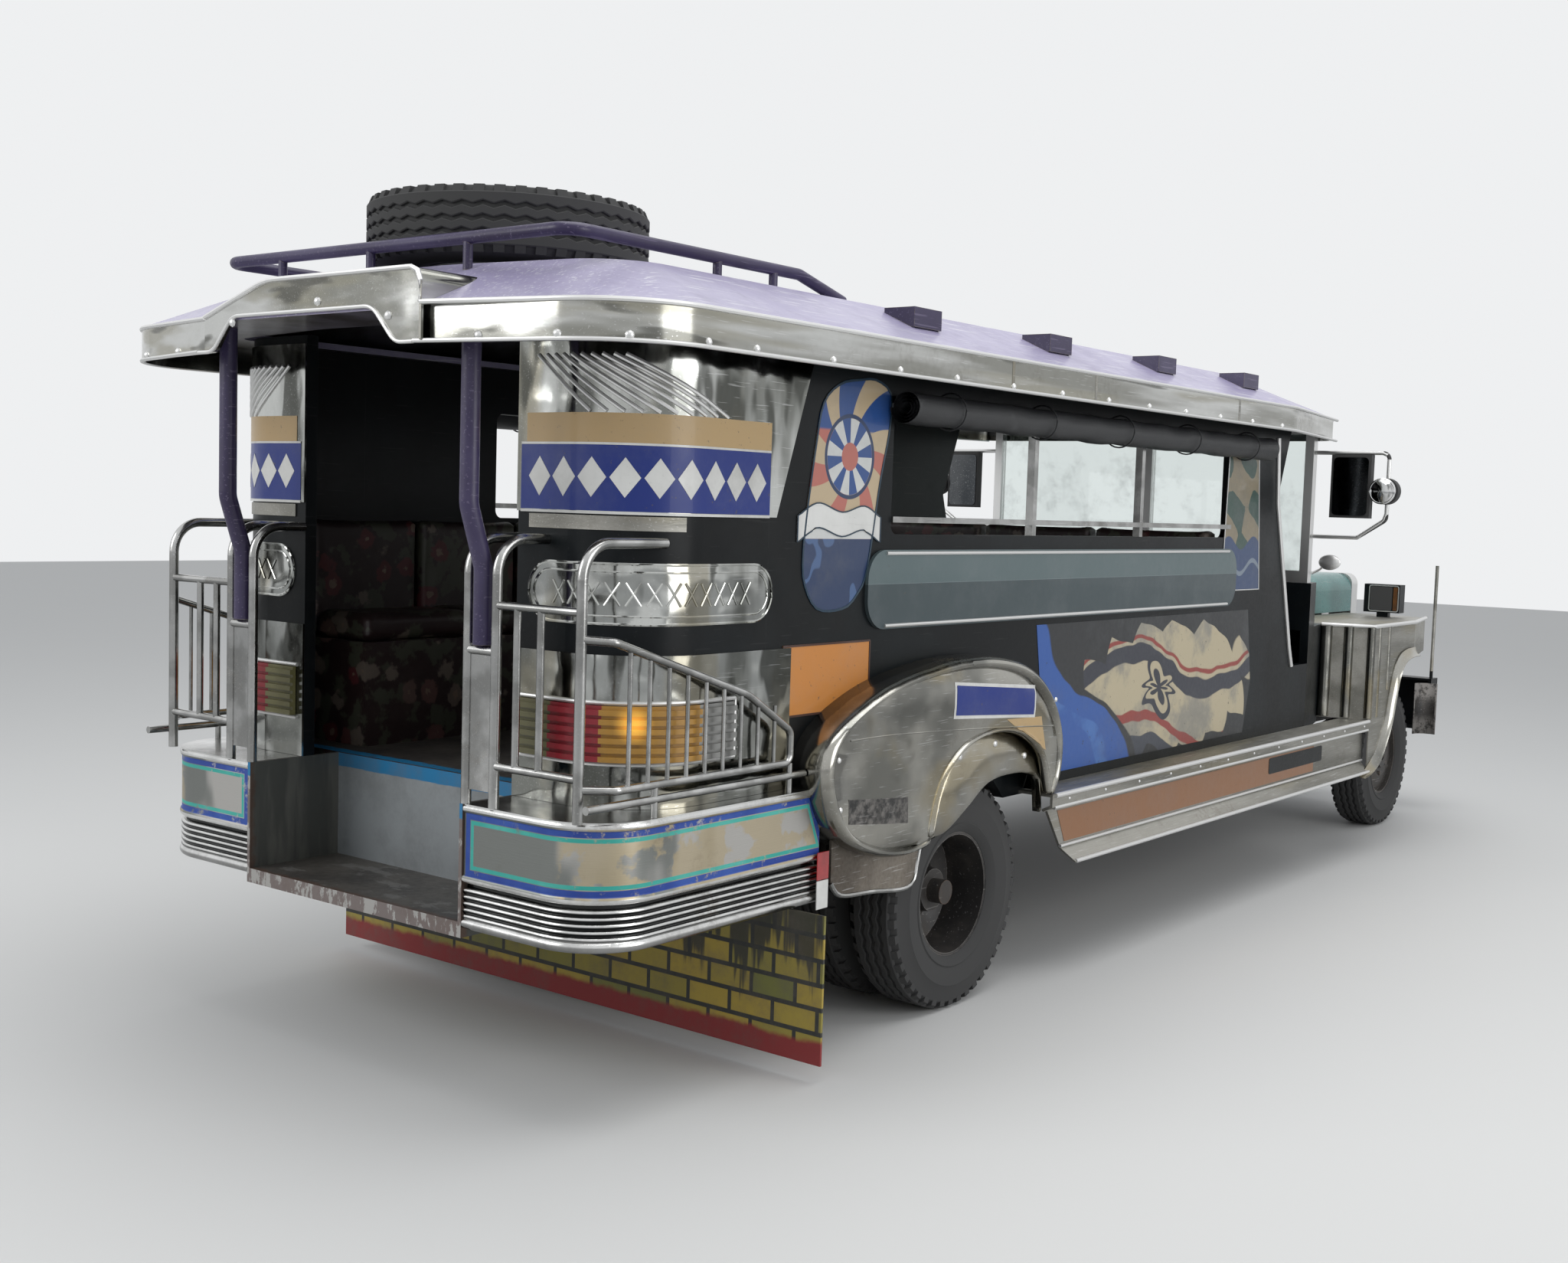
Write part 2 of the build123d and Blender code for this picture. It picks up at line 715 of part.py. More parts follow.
fascia_outer = extrude(fascia_outline(fascia_bottom_z, fascia_sheet, roof_corner_radius), amount=fascia_height)
fascia_inner = extrude(fascia_outline(fascia_bottom_z, 0.0, roof_corner_radius), amount=fascia_height)
with BuildPart() as roof_fascia:
    add(extrude(arch_outline(rear_end_x, 0.0), amount=visor_depth))
    add(extrude(arch_outline(rear_end_x + fascia_sheet, visor_sheet), amount=visor_depth), mode=Mode.SUBTRACT)
    with Locations((rear_end_x + fascia_sheet, 0, fascia_bottom_z)):
        Box(
            visor_depth,
            2 * arch_half,
            roof_edge_z + 2 * seat_gap - fascia_bottom_z,
            align=(Align.MIN, Align.CENTER, Align.MIN),
            mode=Mode.SUBTRACT,
        )
    add(Location((0, 0, seat_gap)) * roof_outer, mode=Mode.SUBTRACT)
    add(fascia_outer)
    add(fascia_inner, mode=Mode.SUBTRACT)
    with BuildSketch(Plane.YZ.offset(rear_end_x)):
        with BuildLine():
            FilletPolyline(
                (-arch_half, fascia_bottom_z),
                (-notch_half, fascia_bottom_z),
                (-notch_top_half, notch_top_z),
                (notch_top_half, notch_top_z),
                (notch_half, fascia_bottom_z),
                (arch_half, fascia_bottom_z),
                (arch_half, fascia_bottom_z - fascia_sheet),
                (-arch_half, fascia_bottom_z - fascia_sheet),
                radius=[
                    1,
                    notch_foot_radius,
                    notch_head_radius,
                    notch_head_radius,
                    notch_foot_radius,
                    1,
                    1,
                    1,
                ],
                close=True,
            )
        make_face()
    extrude(amount=3 * fascia_sheet, mode=Mode.SUBTRACT)
pieces["roof_fascia"] = roof_fascia

# Small box hoods on the roof slopes
roof_hood_length = 150.0
roof_hood_height = 60.0
roof_hood_width = 110.0
roof_hood_y = 905.0
roof_hood_x = [rear_axle_x + x for x in (-338.0, 490.0, 1321.0, 2120.0)]
slope_at_hood_z = roof_edge_z + (roof_half_width - roof_hood_y) * (roof_bands[1][0] - roof_edge_z) / 290.0
with BuildPart() as roof_hoods:
    for side in (-1, 1):
        with Locations([(x, side * roof_hood_y, slope_at_hood_z + 10) for x in roof_hood_x]):
            Box(roof_hood_length, roof_hood_width, roof_hood_height)
    add(roof_outer, mode=Mode.SUBTRACT)
pieces["roof_hoods"] = roof_hoods

# Roof rack: a rail round the rear of the roof, carried on stanchions
rack_tube = 17.0
rack_z = 2300.0
rack_rear_x = rear_axle_x - 1625.0
rack_front_x = rear_axle_x - 680.0
rack_half_width = 725.0
rack_foot_x = rear_axle_x - 460.0
rack_bend = 60.0
rack_post = 13.0
rack_side_post_x = rear_axle_x - 1050.0
rack_rear_post_y = [-350.0, 50.0, 450.0]


def roof_height(inset):
    """Return the height of the roof's surface at an inset from its edge."""
    for lower, upper in zip(roof_bands, roof_bands[1:]):
        if inset <= upper[1]:
            share = (inset - lower[1]) / (upper[1] - lower[1])
            return lower[0] + share * (upper[0] - lower[0])
    return crown_z


side_foot_z = roof_height(roof_half_width - rack_half_width) + seat_gap
rear_foot_z = roof_height(rack_rear_x - rear_end_x - fascia_sheet - seat_gap) + seat_gap
rack_rail = tube(
    [
        (rack_foot_x, -rack_half_width, side_foot_z),
        (rack_front_x, -rack_half_width, rack_z),
        (rack_rear_x, -rack_half_width, rack_z),
        (rack_rear_x, rack_half_width, rack_z),
        (rack_front_x, rack_half_width, rack_z),
        (rack_foot_x, rack_half_width, side_foot_z),
    ],
    rack_tube,
    rack_bend,
)
rack_posts = [
    tube([(x, side * rack_half_width, side_foot_z), (x, side * rack_half_width, rack_z)], rack_post)
    for side in (-1, 1)
    for x in (rack_side_post_x, rack_front_x - 2 * rack_bend)
]
rack_posts += [
    tube([(rack_rear_x, y, rear_foot_z - roof_sheet), (rack_rear_x, y, rack_z)], rack_post)
    for y in rack_rear_post_y
]
roof_rack = joined([rack_rail] + rack_posts)
with BuildPart() as roof_rack_cut:
    add(roof_rack.part)
    add(Location((0, 0, seat_gap)) * roof_outer, mode=Mode.SUBTRACT)
pieces["roof_rack"] = roof_rack_cut

# Spare tyre lying on the roof inside the rack
spare_x = rear_axle_x - 1190.0
spare_y = -40.0
spare_radius = 410.0
spare_width = 205.0
spare_z = crown_z + seat_gap + spare_width / 2
spare_tyre = joined(tyre(spare_x, spare_y, spare_z, spare_radius, spare_width, Rotation(90, 0, 0)))
pieces["spare_tyre"] = spare_tyre

# Rear bumpers: a deck with a rounded band and a stack of louvre tubes below it
band_sheet = 16.0
rim_tube = 13.0
louvre_tube = 9.0
louvre_count = 6
bottom_tube = 15.0


def bumper_path(level, inset):
    """Return the bumper's plan line at a height, inside its outer face."""
    return [
        (bumper_rear_x + inset, -step_half_width - seat_gap - 1, level),
        (bumper_rear_x + inset, -bumper_half_width + inset, level),
        (bumper_front_x, -bumper_half_width + inset, level),
    ]


def bumper_wall(bottom_z, top_z, inset, sheet):
    """Return a wall that follows the bumper's plan line."""
    inner_end = -step_half_width - seat_gap
    outer = bumper_rear_x + inset
    flank = -bumper_half_width + inset
    with BuildPart() as band:
        with BuildSketch(Plane.XY.offset(bottom_z)):
            with BuildLine():
                FilletPolyline(
                    (outer, inner_end),
                    (outer, flank),
                    (bumper_front_x, flank),
                    radius=bumper_corner_radius - inset,
                )
                FilletPolyline(
                    (outer + sheet, inner_end),
                    (outer + sheet, flank + sheet),
                    (bumper_front_x, flank + sheet),
                    radius=bumper_corner_radius - inset - sheet,
                )
                Line((outer, inner_end), (outer + sheet, inner_end))
                Line((bumper_front_x, flank), (bumper_front_x, flank + sheet))
            make_face()
        extrude(amount=top_z - bottom_z)
    return band.part


with BuildPart() as deck_plate:
    with BuildSketch(Plane.XY.offset(deck_z - 16)):
        with BuildLine():
            FilletPolyline(
                (bumper_rear_x + 4, -step_half_width - seat_gap),
                (bumper_rear_x + 4, -bumper_half_width + 4),
                (bumper_front_x, -bumper_half_width + 4),
                radius=bumper_corner_radius - 4,
            )
            Polyline(
                (bumper_front_x, -bumper_half_width + 4),
                (bumper_front_x, -body_half_width - seat_gap),
                (corner_front_x - seat_gap, -body_half_width - seat_gap),
                (corner_front_x - seat_gap, -floor_half_width - seat_gap),
                (riser_x + step_sheet - seat_gap, -floor_half_width - seat_gap),
                (riser_x + step_sheet - seat_gap, -step_half_width - seat_gap),
                (bumper_rear_x + 4, -step_half_width - seat_gap),
            )
        make_face()
    extrude(amount=16 - seat_gap)
louvre_top_z = band_bottom_z - 16.0
louvre_pitch = (louvre_top_z - louvre_bottom_z) / louvre_count
bumper_runs = [
    deck_plate.part,
    bumper_wall(band_bottom_z, deck_z - 10, 6.0, band_sheet),
    bumper_wall(louvre_bottom_z - 4, band_bottom_z + 5, 22.0, 10.0),
    tube(bumper_path(deck_z - rim_tube, rim_tube), rim_tube, bumper_corner_radius - rim_tube),
    tube(bumper_path(band_bottom_z, rim_tube), rim_tube, bumper_corner_radius - rim_tube),
    tube(bumper_path(louvre_bottom_z, bottom_tube), bottom_tube, bumper_corner_radius - bottom_tube),
]
for row in range(1, louvre_count):
    level = louvre_bottom_z + row * louvre_pitch
    bumper_runs.append(
        tube(bumper_path(level, louvre_tube + 5), louvre_tube, bumper_corner_radius - louvre_tube - 5)
    )
bumper_rear_right = joined(bumper_runs)
pieces["rear_bumpers"] = paired(bumper_rear_right)

# Rear hoops and railings over the deck
rail_tube = 14.0
bar_tube = 6.0
hoop_x = bumper_rear_x + rim_tube
hoop_foot_z = deck_z + seat_gap
hoop_top_z = 1515.0
hoop_bend = 90.0
hoop_inner_y = (468.0, 573.0)
hoop_outer_y = 876.0
crossbar_z = 1225.0
middle_rail_z = (1345.0, 930.0)
side_rail_y = bumper_half_width - 15.0
outer_rail_low_z = 905.0
rail_front_x = rear_axle_x - 940.0
corner_reach = hoop_outer_y - rail_tube - (body_half_width - body_corner_radius)
corner_hoop_x = (
    body_rear_x + body_corner_radius - (body_corner_radius**2 - corner_reach**2) ** 0.5 - seat_gap
)


def hoop(y, end_x):
    """Return a hoop that rises from the deck's rim and bends forward into the body."""
    return tube([(hoop_x, -y, hoop_foot_z), (hoop_x, -y, hoop_top_z), (end_x, -y, hoop_top_z)], rail_tube, hoop_bend)


sheet_face_x = body_rear_x - seat_gap
rail_runs = [hoop(y, sheet_face_x) for y in hoop_inner_y]
rail_runs.append(hoop(hoop_outer_y, corner_hoop_x))
rail_runs.append(tube([(hoop_x, -hoop_inner_y[0], crossbar_z), (hoop_x, -hoop_inner_y[1], crossbar_z)], rail_tube - 2))
for level in middle_rail_z:
    rail_runs.append(tube([(hoop_x, -hoop_inner_y[1], level), (hoop_x, -hoop_outer_y, level)], rail_tube - 3))
for y in (650.0, 735.0):
    rail_runs.append(tube([(hoop_x, -y, middle_rail_z[1]), (hoop_x, -y, middle_rail_z[0])], rail_tube - 4))
outer_rail_points = [
    (hoop_x, -hoop_outer_y, 1278.0),
    (rear_axle_x - 1660.0, -side_rail_y, 1275.0),
    (rear_axle_x - 1134.0, -side_rail_y, 1110.0),
    (rail_front_x, -side_rail_y, 995.0),
    (rail_front_x, -side_rail_y, outer_rail_low_z),
    (rear_axle_x - 1640.0, -side_rail_y, outer_rail_low_z),
    (hoop_x, -hoop_outer_y, outer_rail_low_z),
]
rail_runs.append(tube(outer_rail_points, rail_tube - 3, [20, 150, 30, 25, 20]))
side_bar_count = 9
side_bar_start_x = rear_axle_x - 1600.0
for index in range(side_bar_count):
    x = side_bar_start_x + index * (rail_front_x - side_bar_start_x) / side_bar_count
    slope_share = (x - outer_rail_points[1][0]) / (outer_rail_points[2][0] - outer_rail_points[1][0])
    top_z = outer_rail_points[1][2] + slope_share * (outer_rail_points[2][2] - outer_rail_points[1][2])
    rail_runs.append(tube([(x, -side_rail_y, outer_rail_low_z), (x, -side_rail_y, top_z)], bar_tube))
inner_face = Plane.YZ.offset(hoop_x - 4)
with BuildPart() as hoop_panel:
    with BuildSketch(inner_face):
        with Locations((-(hoop_inner_y[0] + hoop_inner_y[1]) / 2, (deck_z + 40 + crossbar_z) / 2)):
            Rectangle(hoop_inner_y[1] - hoop_inner_y[0], crossbar_z - deck_z - 40)
    extrude(amount=8)
rail_runs.append(hoop_panel.part)
rail_feet = [
    tube([(x, -side_rail_y, deck_z + seat_gap), (x, -side_rail_y, outer_rail_low_z)], 9)
    for x in (rear_axle_x - 1500.0, rail_front_x)
]
rail_runs += rail_feet
low_rail_z = 868.0
low_rail_front_x = rear_axle_x - 872.0
rail_runs.append(
    tube([(bumper_rear_x - 30, -side_rail_y, low_rail_z), (low_rail_front_x, -side_rail_y, low_rail_z)], rail_tube - 3)
)
rear_rails_right = joined(rail_runs)
pieces["rear_rails"] = paired(rear_rails_right)

# Entrance posts from the crossbars up to the soffit
post_radius = 25.0
post_x = rear_axle_x - 1758.0
post_y = 520.0
post_foot_z = crossbar_z + rail_tube + seat_gap
entrance_posts = joined(
    [
        tube(
            [
                (hoop_x, side * post_y, post_foot_z),
                (hoop_x, side * post_y, 1440.0),
                (post_x, side * post_y, 1600.0),
                (post_x, side * post_y, soffit_z),
            ],
            post_radius,
            80.0,
        )
        for side in (-1, 1)
    ]
)
pieces["entrance_posts"] = entrance_posts

# Tail lamps: a slatted housing that wraps the rear corner
lamp_bottom_z = 945.0
lamp_top_z = 1091.0
lamp_depth = 22.0
slat_count = 6


def lamp_wrap(bottom_z, top_z, near, far):
    """Return a slat that wraps the corner sheet between two distances out of it."""
    face = body_rear_x - 2 * seat_gap - cladding_sheet
    flank = body_half_width + 2 * seat_gap + cladding_sheet
    bend = body_corner_radius + 2 * seat_gap + cladding_sheet
    with BuildPart() as slat:
        with BuildSketch(Plane.XY.offset(bottom_z)):
            with BuildLine():
                FilletPolyline(
                    (face - near, -entrance_half_width - 30),
                    (face - near, -flank - near),
                    (rear_axle_x - 1150.0, -flank - near),
                    radius=bend + near,
                )
                FilletPolyline(
                    (face - far, -entrance_half_width - 30),
                    (face - far, -flank - far),
                    (rear_axle_x - 1150.0, -flank - far),
                    radius=bend + far,
                )
                Line(
                    (face - near, -entrance_half_width - 30),
                    (face - far, -entrance_half_width - 30),
                )
                Line((rear_axle_x - 1150.0, -flank - near), (rear_axle_x - 1150.0, -flank - far))
            make_face()
        extrude(amount=top_z - bottom_z)
    return slat.part


slat_pitch = (lamp_top_z - lamp_bottom_z) / slat_count
lamp_runs = [lamp_wrap(lamp_bottom_z, lamp_top_z, 0.0, 12.0)]
for row in range(slat_count):
    base = lamp_bottom_z + row * slat_pitch
    lamp_runs.append(lamp_wrap(base, base + slat_pitch * 0.6, 10.0, lamp_depth))
tail_lamp_right = joined(lamp_runs)
pieces["tail_lamps"] = paired(tail_lamp_right)

# Rear wheel covers: a bulged shell on the side wall with the wheel arch cut out
cover_depth = 130.0
cover_sheet = 12.0
cover_foot_z = running_board_z + seat_gap
cover_low = [
    (rear_axle_x - 740.0, 615.0),
    (rear_axle_x - 835.0, 655.0),
    (rear_axle_x - 862.0, 760.0),
    (rear_axle_x - 850.0, 880.0),
]
cover_crown = (rear_axle_x - 20.0, 1158.0)
cover_front = (station(534.0), 831.0)
arch_cut = [
    (rear_axle_x - 265.0, 560.0),
    (rear_axle_x - 175.0, 610.0),
    (station(80.0), 757.0),
    (station(432.0), 757.0),
    (station(441.0), 560.0),
]
arch_cut_radii = [1, 40, 120, 60, 1]
valance_sheet = 10.0
valance_y = 955.0
valance_points = [
    (rear_axle_x - 740.0, 625.0),
    (rear_axle_x - 725.0, 470.0),
    (rear_axle_x - 330.0, 462.0),
    (rear_axle_x - 288.0, 560.0),
    (rear_axle_x - 285.0, 625.0),
]


def cover_outline(distance, shrink):
    """Return the cover's side outline on a plane out from the centre line."""
    with BuildSketch(Plane.XZ.offset(distance)) as side_view:
        with BuildLine():
            ThreePointArc(cover_low[0], cover_low[1], cover_low[2])
            Line(cover_low[2], cover_low[3])
            ThreePointArc(cover_low[3], (rear_axle_x - 480.0, 1088.0), cover_crown)
            ThreePointArc(cover_crown, (station(345.0), 1078.0), cover_front)
            Polyline(
                cover_front,
                (cover_front[0], cover_foot_z),
                (arch_cut[-1][0] - 40, cover_foot_z),
                (arch_cut[0][0], cover_low[0][1] - 10),
                cover_low[0],
            )
        make_face()
        if shrink:
            offset(amount=-shrink)
    return side_view.sketch


cover_inner_y = body_half_width + seat_gap
bumper_pocket = Box(
    bumper_front_x + 30 - cover_low[2][0],
    bumper_half_width + 6 - cover_inner_y,
    deck_z + 20 - band_bottom_z + 140,
    align=(Align.MIN, Align.MAX, Align.MIN),
    mode=Mode.PRIVATE,
)
with BuildPart() as wheel_cover_right:
    add(extrude(cover_outline(cover_inner_y, 0), amount=cover_depth))
    add(
        extrude(cover_outline(cover_inner_y, cover_sheet), amount=cover_depth - cover_sheet),
        mode=Mode.SUBTRACT,
    )
    with BuildSketch(Plane.XZ.offset(cover_inner_y)):
        with Locations((rear_axle_x, axle_z)):
            Circle(wheel_arch_radius)
    extrude(amount=cover_depth - cover_sheet, mode=Mode.SUBTRACT)
    with BuildSketch(Plane.XZ.offset(valance_y)):
        with BuildLine():
            FilletPolyline(*valance_points, radius=[1, 10, 70, 60, 1], close=True)
        make_face()
    extrude(amount=valance_sheet)
    with BuildSketch(Plane.XZ.offset(cover_inner_y - 1)):
        with BuildLine():
            FilletPolyline(*arch_cut, radius=arch_cut_radii, close=True)
        make_face()
    extrude(amount=2 * cover_depth, mode=Mode.SUBTRACT)
    add(
        Location((cover_low[2][0] - 10, -cover_inner_y, band_bottom_z - 140)) * bumper_pocket,
        mode=Mode.SUBTRACT,
    )
pieces["wheel_covers"] = paired(wheel_cover_right)

# Running boards: a tread, a stepped side and a flared lip
board_outer_y = body_half_width + 135.0
board_sheet = 10.0
board_rear_x = station(436.0)
board_slant_x = station(606.0)
board_front_x = fender_rear_x + 60.0
board_lip_z = 410.0
with BuildPart() as running_board_right:
    with BuildSketch(Plane.YZ.offset(board_rear_x)):
        with BuildLine():
            Polyline(
                (-body_half_width - seat_gap, running_board_z),
                (-board_outer_y, running_board_z),
                (-board_outer_y, running_board_z - 45),
                (-board_outer_y + 30, running_board_z - 60),
                (-board_outer_y + 30, board_lip_z + 50),
                (-board_outer_y - 15, board_lip_z),
                (-board_outer_y - 15 + board_sheet, board_lip_z - 2),
                (-board_outer_y + 30 + board_sheet, board_lip_z + 46),
                (-board_outer_y + 30 + board_sheet, running_board_z - 54),
                (-board_outer_y + board_sheet, running_board_z - 39),
                (-board_outer_y + board_sheet, running_board_z - board_sheet),
                (-body_half_width - seat_gap, running_board_z - board_sheet),
                close=True,
            )
        make_face()
    extrude(amount=board_front_x - board_rear_x)
    with BuildSketch(Plane.XZ.offset(body_half_width)):
        with BuildLine():
            Polyline(
                (board_rear_x - 1, running_board_z - 62),
                (board_rear_x + 20, running_board_z - 62),
                (board_slant_x, board_lip_z - 10),
                (board_rear_x - 1, board_lip_z - 10),
                close=True,
            )
        make_face()
    extrude(amount=board_outer_y, mode=Mode.SUBTRACT)
pieces["running_boards"] = paired(running_board_right)

# Cowl: side cheeks that narrow to a firewall, a hollow dash above and its shelf
dash_sheet = 12.0


def cowl_outline(level, rear_x, front_x, inset):
    """Return the cowl's plan between two stations, drawn in by an inset."""
    taper = (body_half_width - cowl_half_width) / (fender_rear_x - cowl_rear_x)
    rear_half = body_half_width - taper * (rear_x - cowl_rear_x) - inset
    front_half = body_half_width - taper * (front_x - cowl_rear_x) - inset
    with BuildSketch(Plane.XY.offset(level)) as plan:
        with BuildLine():
            Polyline(
                (rear_x, -rear_half),
                (front_x, -front_half),
                (front_x, front_half),
                (rear_x, rear_half),
                close=True,
            )
        make_face()
    return plan.sketch


cheek_height = fender_z - rail_top_z
with BuildPart() as cowl:
    add(extrude(cowl_outline(rail_top_z, cowl_rear_x, fender_rear_x, 0), amount=cheek_height))
    add(
        extrude(
            cowl_outline(rail_top_z, cowl_rear_x, fender_rear_x - wall, wall),
            amount=cheek_height - dash_sheet,
        ),
        mode=Mode.SUBTRACT,
    )
    with BuildSketch(Plane.XY.offset(fender_z - 2 * dash_sheet)):
        with Locations(((cowl_rear_x + cowl_front_x) / 2, 0)):
            Rectangle(
                cowl_front_x - cowl_rear_x - 2 * dash_sheet, 2 * (cowl_half_width - wall)
            )
    extrude(amount=4 * dash_sheet, mode=Mode.SUBTRACT)
    add(extrude(cowl_outline(fender_z, cowl_rear_x, cowl_front_x, 0), amount=cowl_z - fender_z))
    add(
        extrude(
            cowl_outline(fender_z, cowl_rear_x + dash_sheet, cowl_front_x - dash_sheet, dash_sheet),
            amount=cowl_z - fender_z - dash_sheet,
        ),
        mode=Mode.SUBTRACT,
    )

# Windscreen frame with two panes
screen_x = cowl_rear_x + 40.0
screen_half_width = 860.0
screen_depth = 45.0
screen_bar = 55.0
with BuildPart() as windscreen_frame:
    with BuildSketch(Plane.YZ.offset(screen_x)):
        with Locations((0, (cowl_z + soffit_z) / 2)):
            Rectangle(2 * screen_half_width, soffit_z - cowl_z)
        for side in (-1, 1):
            with Locations((side * screen_half_width / 2, (cowl_z + soffit_z) / 2)):
                Rectangle(
                    screen_half_width - 1.5 * screen_bar,
                    soffit_z - cowl_z - 2 * screen_bar,
                    mode=Mode.SUBTRACT,
                )
    extrude(amount=screen_depth)
pieces["windscreen_frame"] = windscreen_frame
with BuildPart() as windscreen_glass:
    for side in (-1, 1):
        with Locations((screen_x + screen_depth / 2, side * screen_half_width / 2, (cowl_z + soffit_z) / 2)):
            Box(
                6,
                screen_half_width - 1.5 * screen_bar - 2 * seat_gap,
                soffit_z - cowl_z - 2 * screen_bar - 2 * seat_gap,
            )
pieces["windscreen_glass"] = windscreen_glass

# Front fenders: flat top, fluted rear wall, flank with the wheel opening
fender_sheet = 12.0
fender_front_x = station(4700.0)
fender_tip_x = station(4835.0)
fender_plan = [
    (fender_rear_x + seat_gap, -hood_half_width - 10),
    (fender_rear_x + seat_gap, -cowl_half_width),
    (station(3610.0), -board_outer_y),
    (station(4250.0), -board_outer_y + 10),
    (fender_front_x, -930.0),
    (fender_front_x, -hood_half_width - 10),
]
with BuildPart() as fender_front_right:
    with BuildSketch(Plane.XY.offset(running_board_z + seat_gap)):
        with BuildLine():
            Polyline(*fender_plan, close=True)
        make_face()
    extrude(amount=fender_z - running_board_z - seat_gap)
    with BuildSketch(Plane.XY.offset(running_board_z)):
        with BuildLine():
            Polyline(*fender_plan, close=True)
        make_face()
        offset(amount=-fender_sheet)
    extrude(amount=fender_z - running_board_z - fender_sheet, mode=Mode.SUBTRACT)
    with BuildSketch(Plane.XZ.offset(hood_half_width)):
        with BuildLine():
            FilletPolyline(
                (station(3900.0), 300.0),
                (station(4010.0), 930.0),
                (fender_tip_x, 950.0),
                (fender_tip_x, 300.0),
                radius=[1, 140, 1, 1],
                close=True,
            )
        make_face()
    extrude(amount=board_outer_y, mode=Mode.SUBTRACT)
pieces["front_fenders"] = paired(fender_front_right)

# Grille shell: a radiator housing with upright slots
shell_depth = 90.0
hood_top_z = cowl_z + 5.0
slot_count = 9
slot_width = 40.0
slot_pitch = 84.0
with BuildPart() as grille_shell:
    with BuildSketch(Plane.YZ.offset(grille_x)):
        with Locations((0, (rail_top_z + hood_top_z) / 2)):
            RectangleRounded(2 * hood_half_width, hood_top_z - rail_top_z, 60)
    extrude(amount=shell_depth)
    with BuildSketch(Plane.YZ.offset(grille_x - 1)):
        with Locations(
            [((index - (slot_count - 1) / 2) * slot_pitch, 960.0) for index in range(slot_count)]
        ):
            RectangleRounded(slot_width, 460, 15)
    extrude(amount=shell_depth + 2, mode=Mode.SUBTRACT)
pieces["grille_shell"] = grille_shell

# Headlamps on the fender fronts
headlamp_radius = 95.0
headlamp_y = 690.0
headlamp_z = 1010.0
with BuildPart() as headlamps:
    for side in (-1, 1):
        with BuildSketch(Plane.YZ.offset(fender_front_x + seat_gap)):
            with Locations((side * headlamp_y, headlamp_z)):
                Circle(headlamp_radius)
        extrude(amount=90)
    fillet(headlamps.edges().filter_by(GeomType.CIRCLE).group_by(Axis.X)[-1], radius=20)
pieces["headlamps"] = headlamps

# Hood: a U-shaped cover whose hinge barrels turn on a pin held by lugs on the cowl
hood_sheet = 12.0
hinge_x = cowl_front_x + 14.0
hinge_radius = 8.0
hinge_pin_radius = 4.0
hinge_lug_y = [-370.0, 0.0, 370.0]
hinge_lug = 12.0
hood_rear_x = hinge_x + 2.0
hood_front_x = grille_x - moving_gap
hood_bottom_z = fender_z + moving_gap
hood_corner = 90.0
barrel_length = hinge_lug_y[2] - hinge_lug - 2 * moving_gap
with BuildPart() as hood:
    with BuildSketch(Plane.YZ.offset(hood_rear_x)):
        with BuildLine():
            FilletPolyline(
                (-hood_half_width, hood_bottom_z),
                (-hood_half_width, hood_top_z),
                (hood_half_width, hood_top_z),
                (hood_half_width, hood_bottom_z),
                radius=hood_corner,
            )
            FilletPolyline(
                (-hood_half_width + hood_sheet, hood_bottom_z),
                (-hood_half_width + hood_sheet, hood_top_z - hood_sheet),
                (hood_half_width - hood_sheet, hood_top_z - hood_sheet),
                (hood_half_width - hood_sheet, hood_bottom_z),
                radius=hood_corner - hood_sheet,
            )
            Line((-hood_half_width, hood_bottom_z), (-hood_half_width + hood_sheet, hood_bottom_z))
            Line((hood_half_width, hood_bottom_z), (hood_half_width - hood_sheet, hood_bottom_z))
        make_face()
    extrude(amount=hood_front_x - hood_rear_x)
    for side in (-1, 1):
        with BuildSketch(Plane.XZ.offset(-side * hinge_lug_y[2] / 2 - barrel_length / 2)):
            with Locations((hinge_x, hood_top_z)):
                Circle(hinge_radius)
        extrude(amount=barrel_length)
    with BuildSketch(Plane.XZ.offset(-hood_half_width)):
        with Locations((hinge_x, hood_top_z)):
            Circle(hinge_pin_radius + running_clearance)
    extrude(amount=2 * hood_half_width, mode=Mode.SUBTRACT)
    with Locations([(hood_rear_x, y, hood_top_z) for y in hinge_lug_y]):
        Box(6 * moving_gap, hinge_lug + 2 * moving_gap, 6 * moving_gap, mode=Mode.SUBTRACT)
pieces["hood"] = hood
with BuildPart() as cowl_with_hinge:
    add(cowl.part)
    with BuildSketch(Plane.XZ.offset(-hinge_lug_y[2] - hinge_lug / 2)):
        with Locations((hinge_x, hood_top_z)):
            Circle(hinge_pin_radius)
    extrude(amount=2 * hinge_lug_y[2] + hinge_lug)
    for y in hinge_lug_y:
        with BuildSketch(Plane.XZ.offset(-y - hinge_lug / 2)):
            with Locations((hinge_x, hood_top_z)):
                Circle(hinge_radius - 1)
            with Locations(((hinge_x + cowl_front_x - dash_sheet) / 2, hood_top_z - 6)):
                Rectangle(hinge_x - cowl_front_x + dash_sheet, 14)
        extrude(amount=hinge_lug)
pieces["cowl"] = cowl_with_hinge

# Signal boxes on the front fenders
with BuildPart() as signal_boxes:
    for side in (-1, 1):
        with Locations((station(4500.0), side * 770.0, fender_z + seat_gap + 100)):
            Box(80, 190, 150)
        with Locations((station(4500.0), side * 770.0, fender_z + seat_gap + 13)):
            Box(40, 60, 26)
pieces["signal_boxes"] = signal_boxes

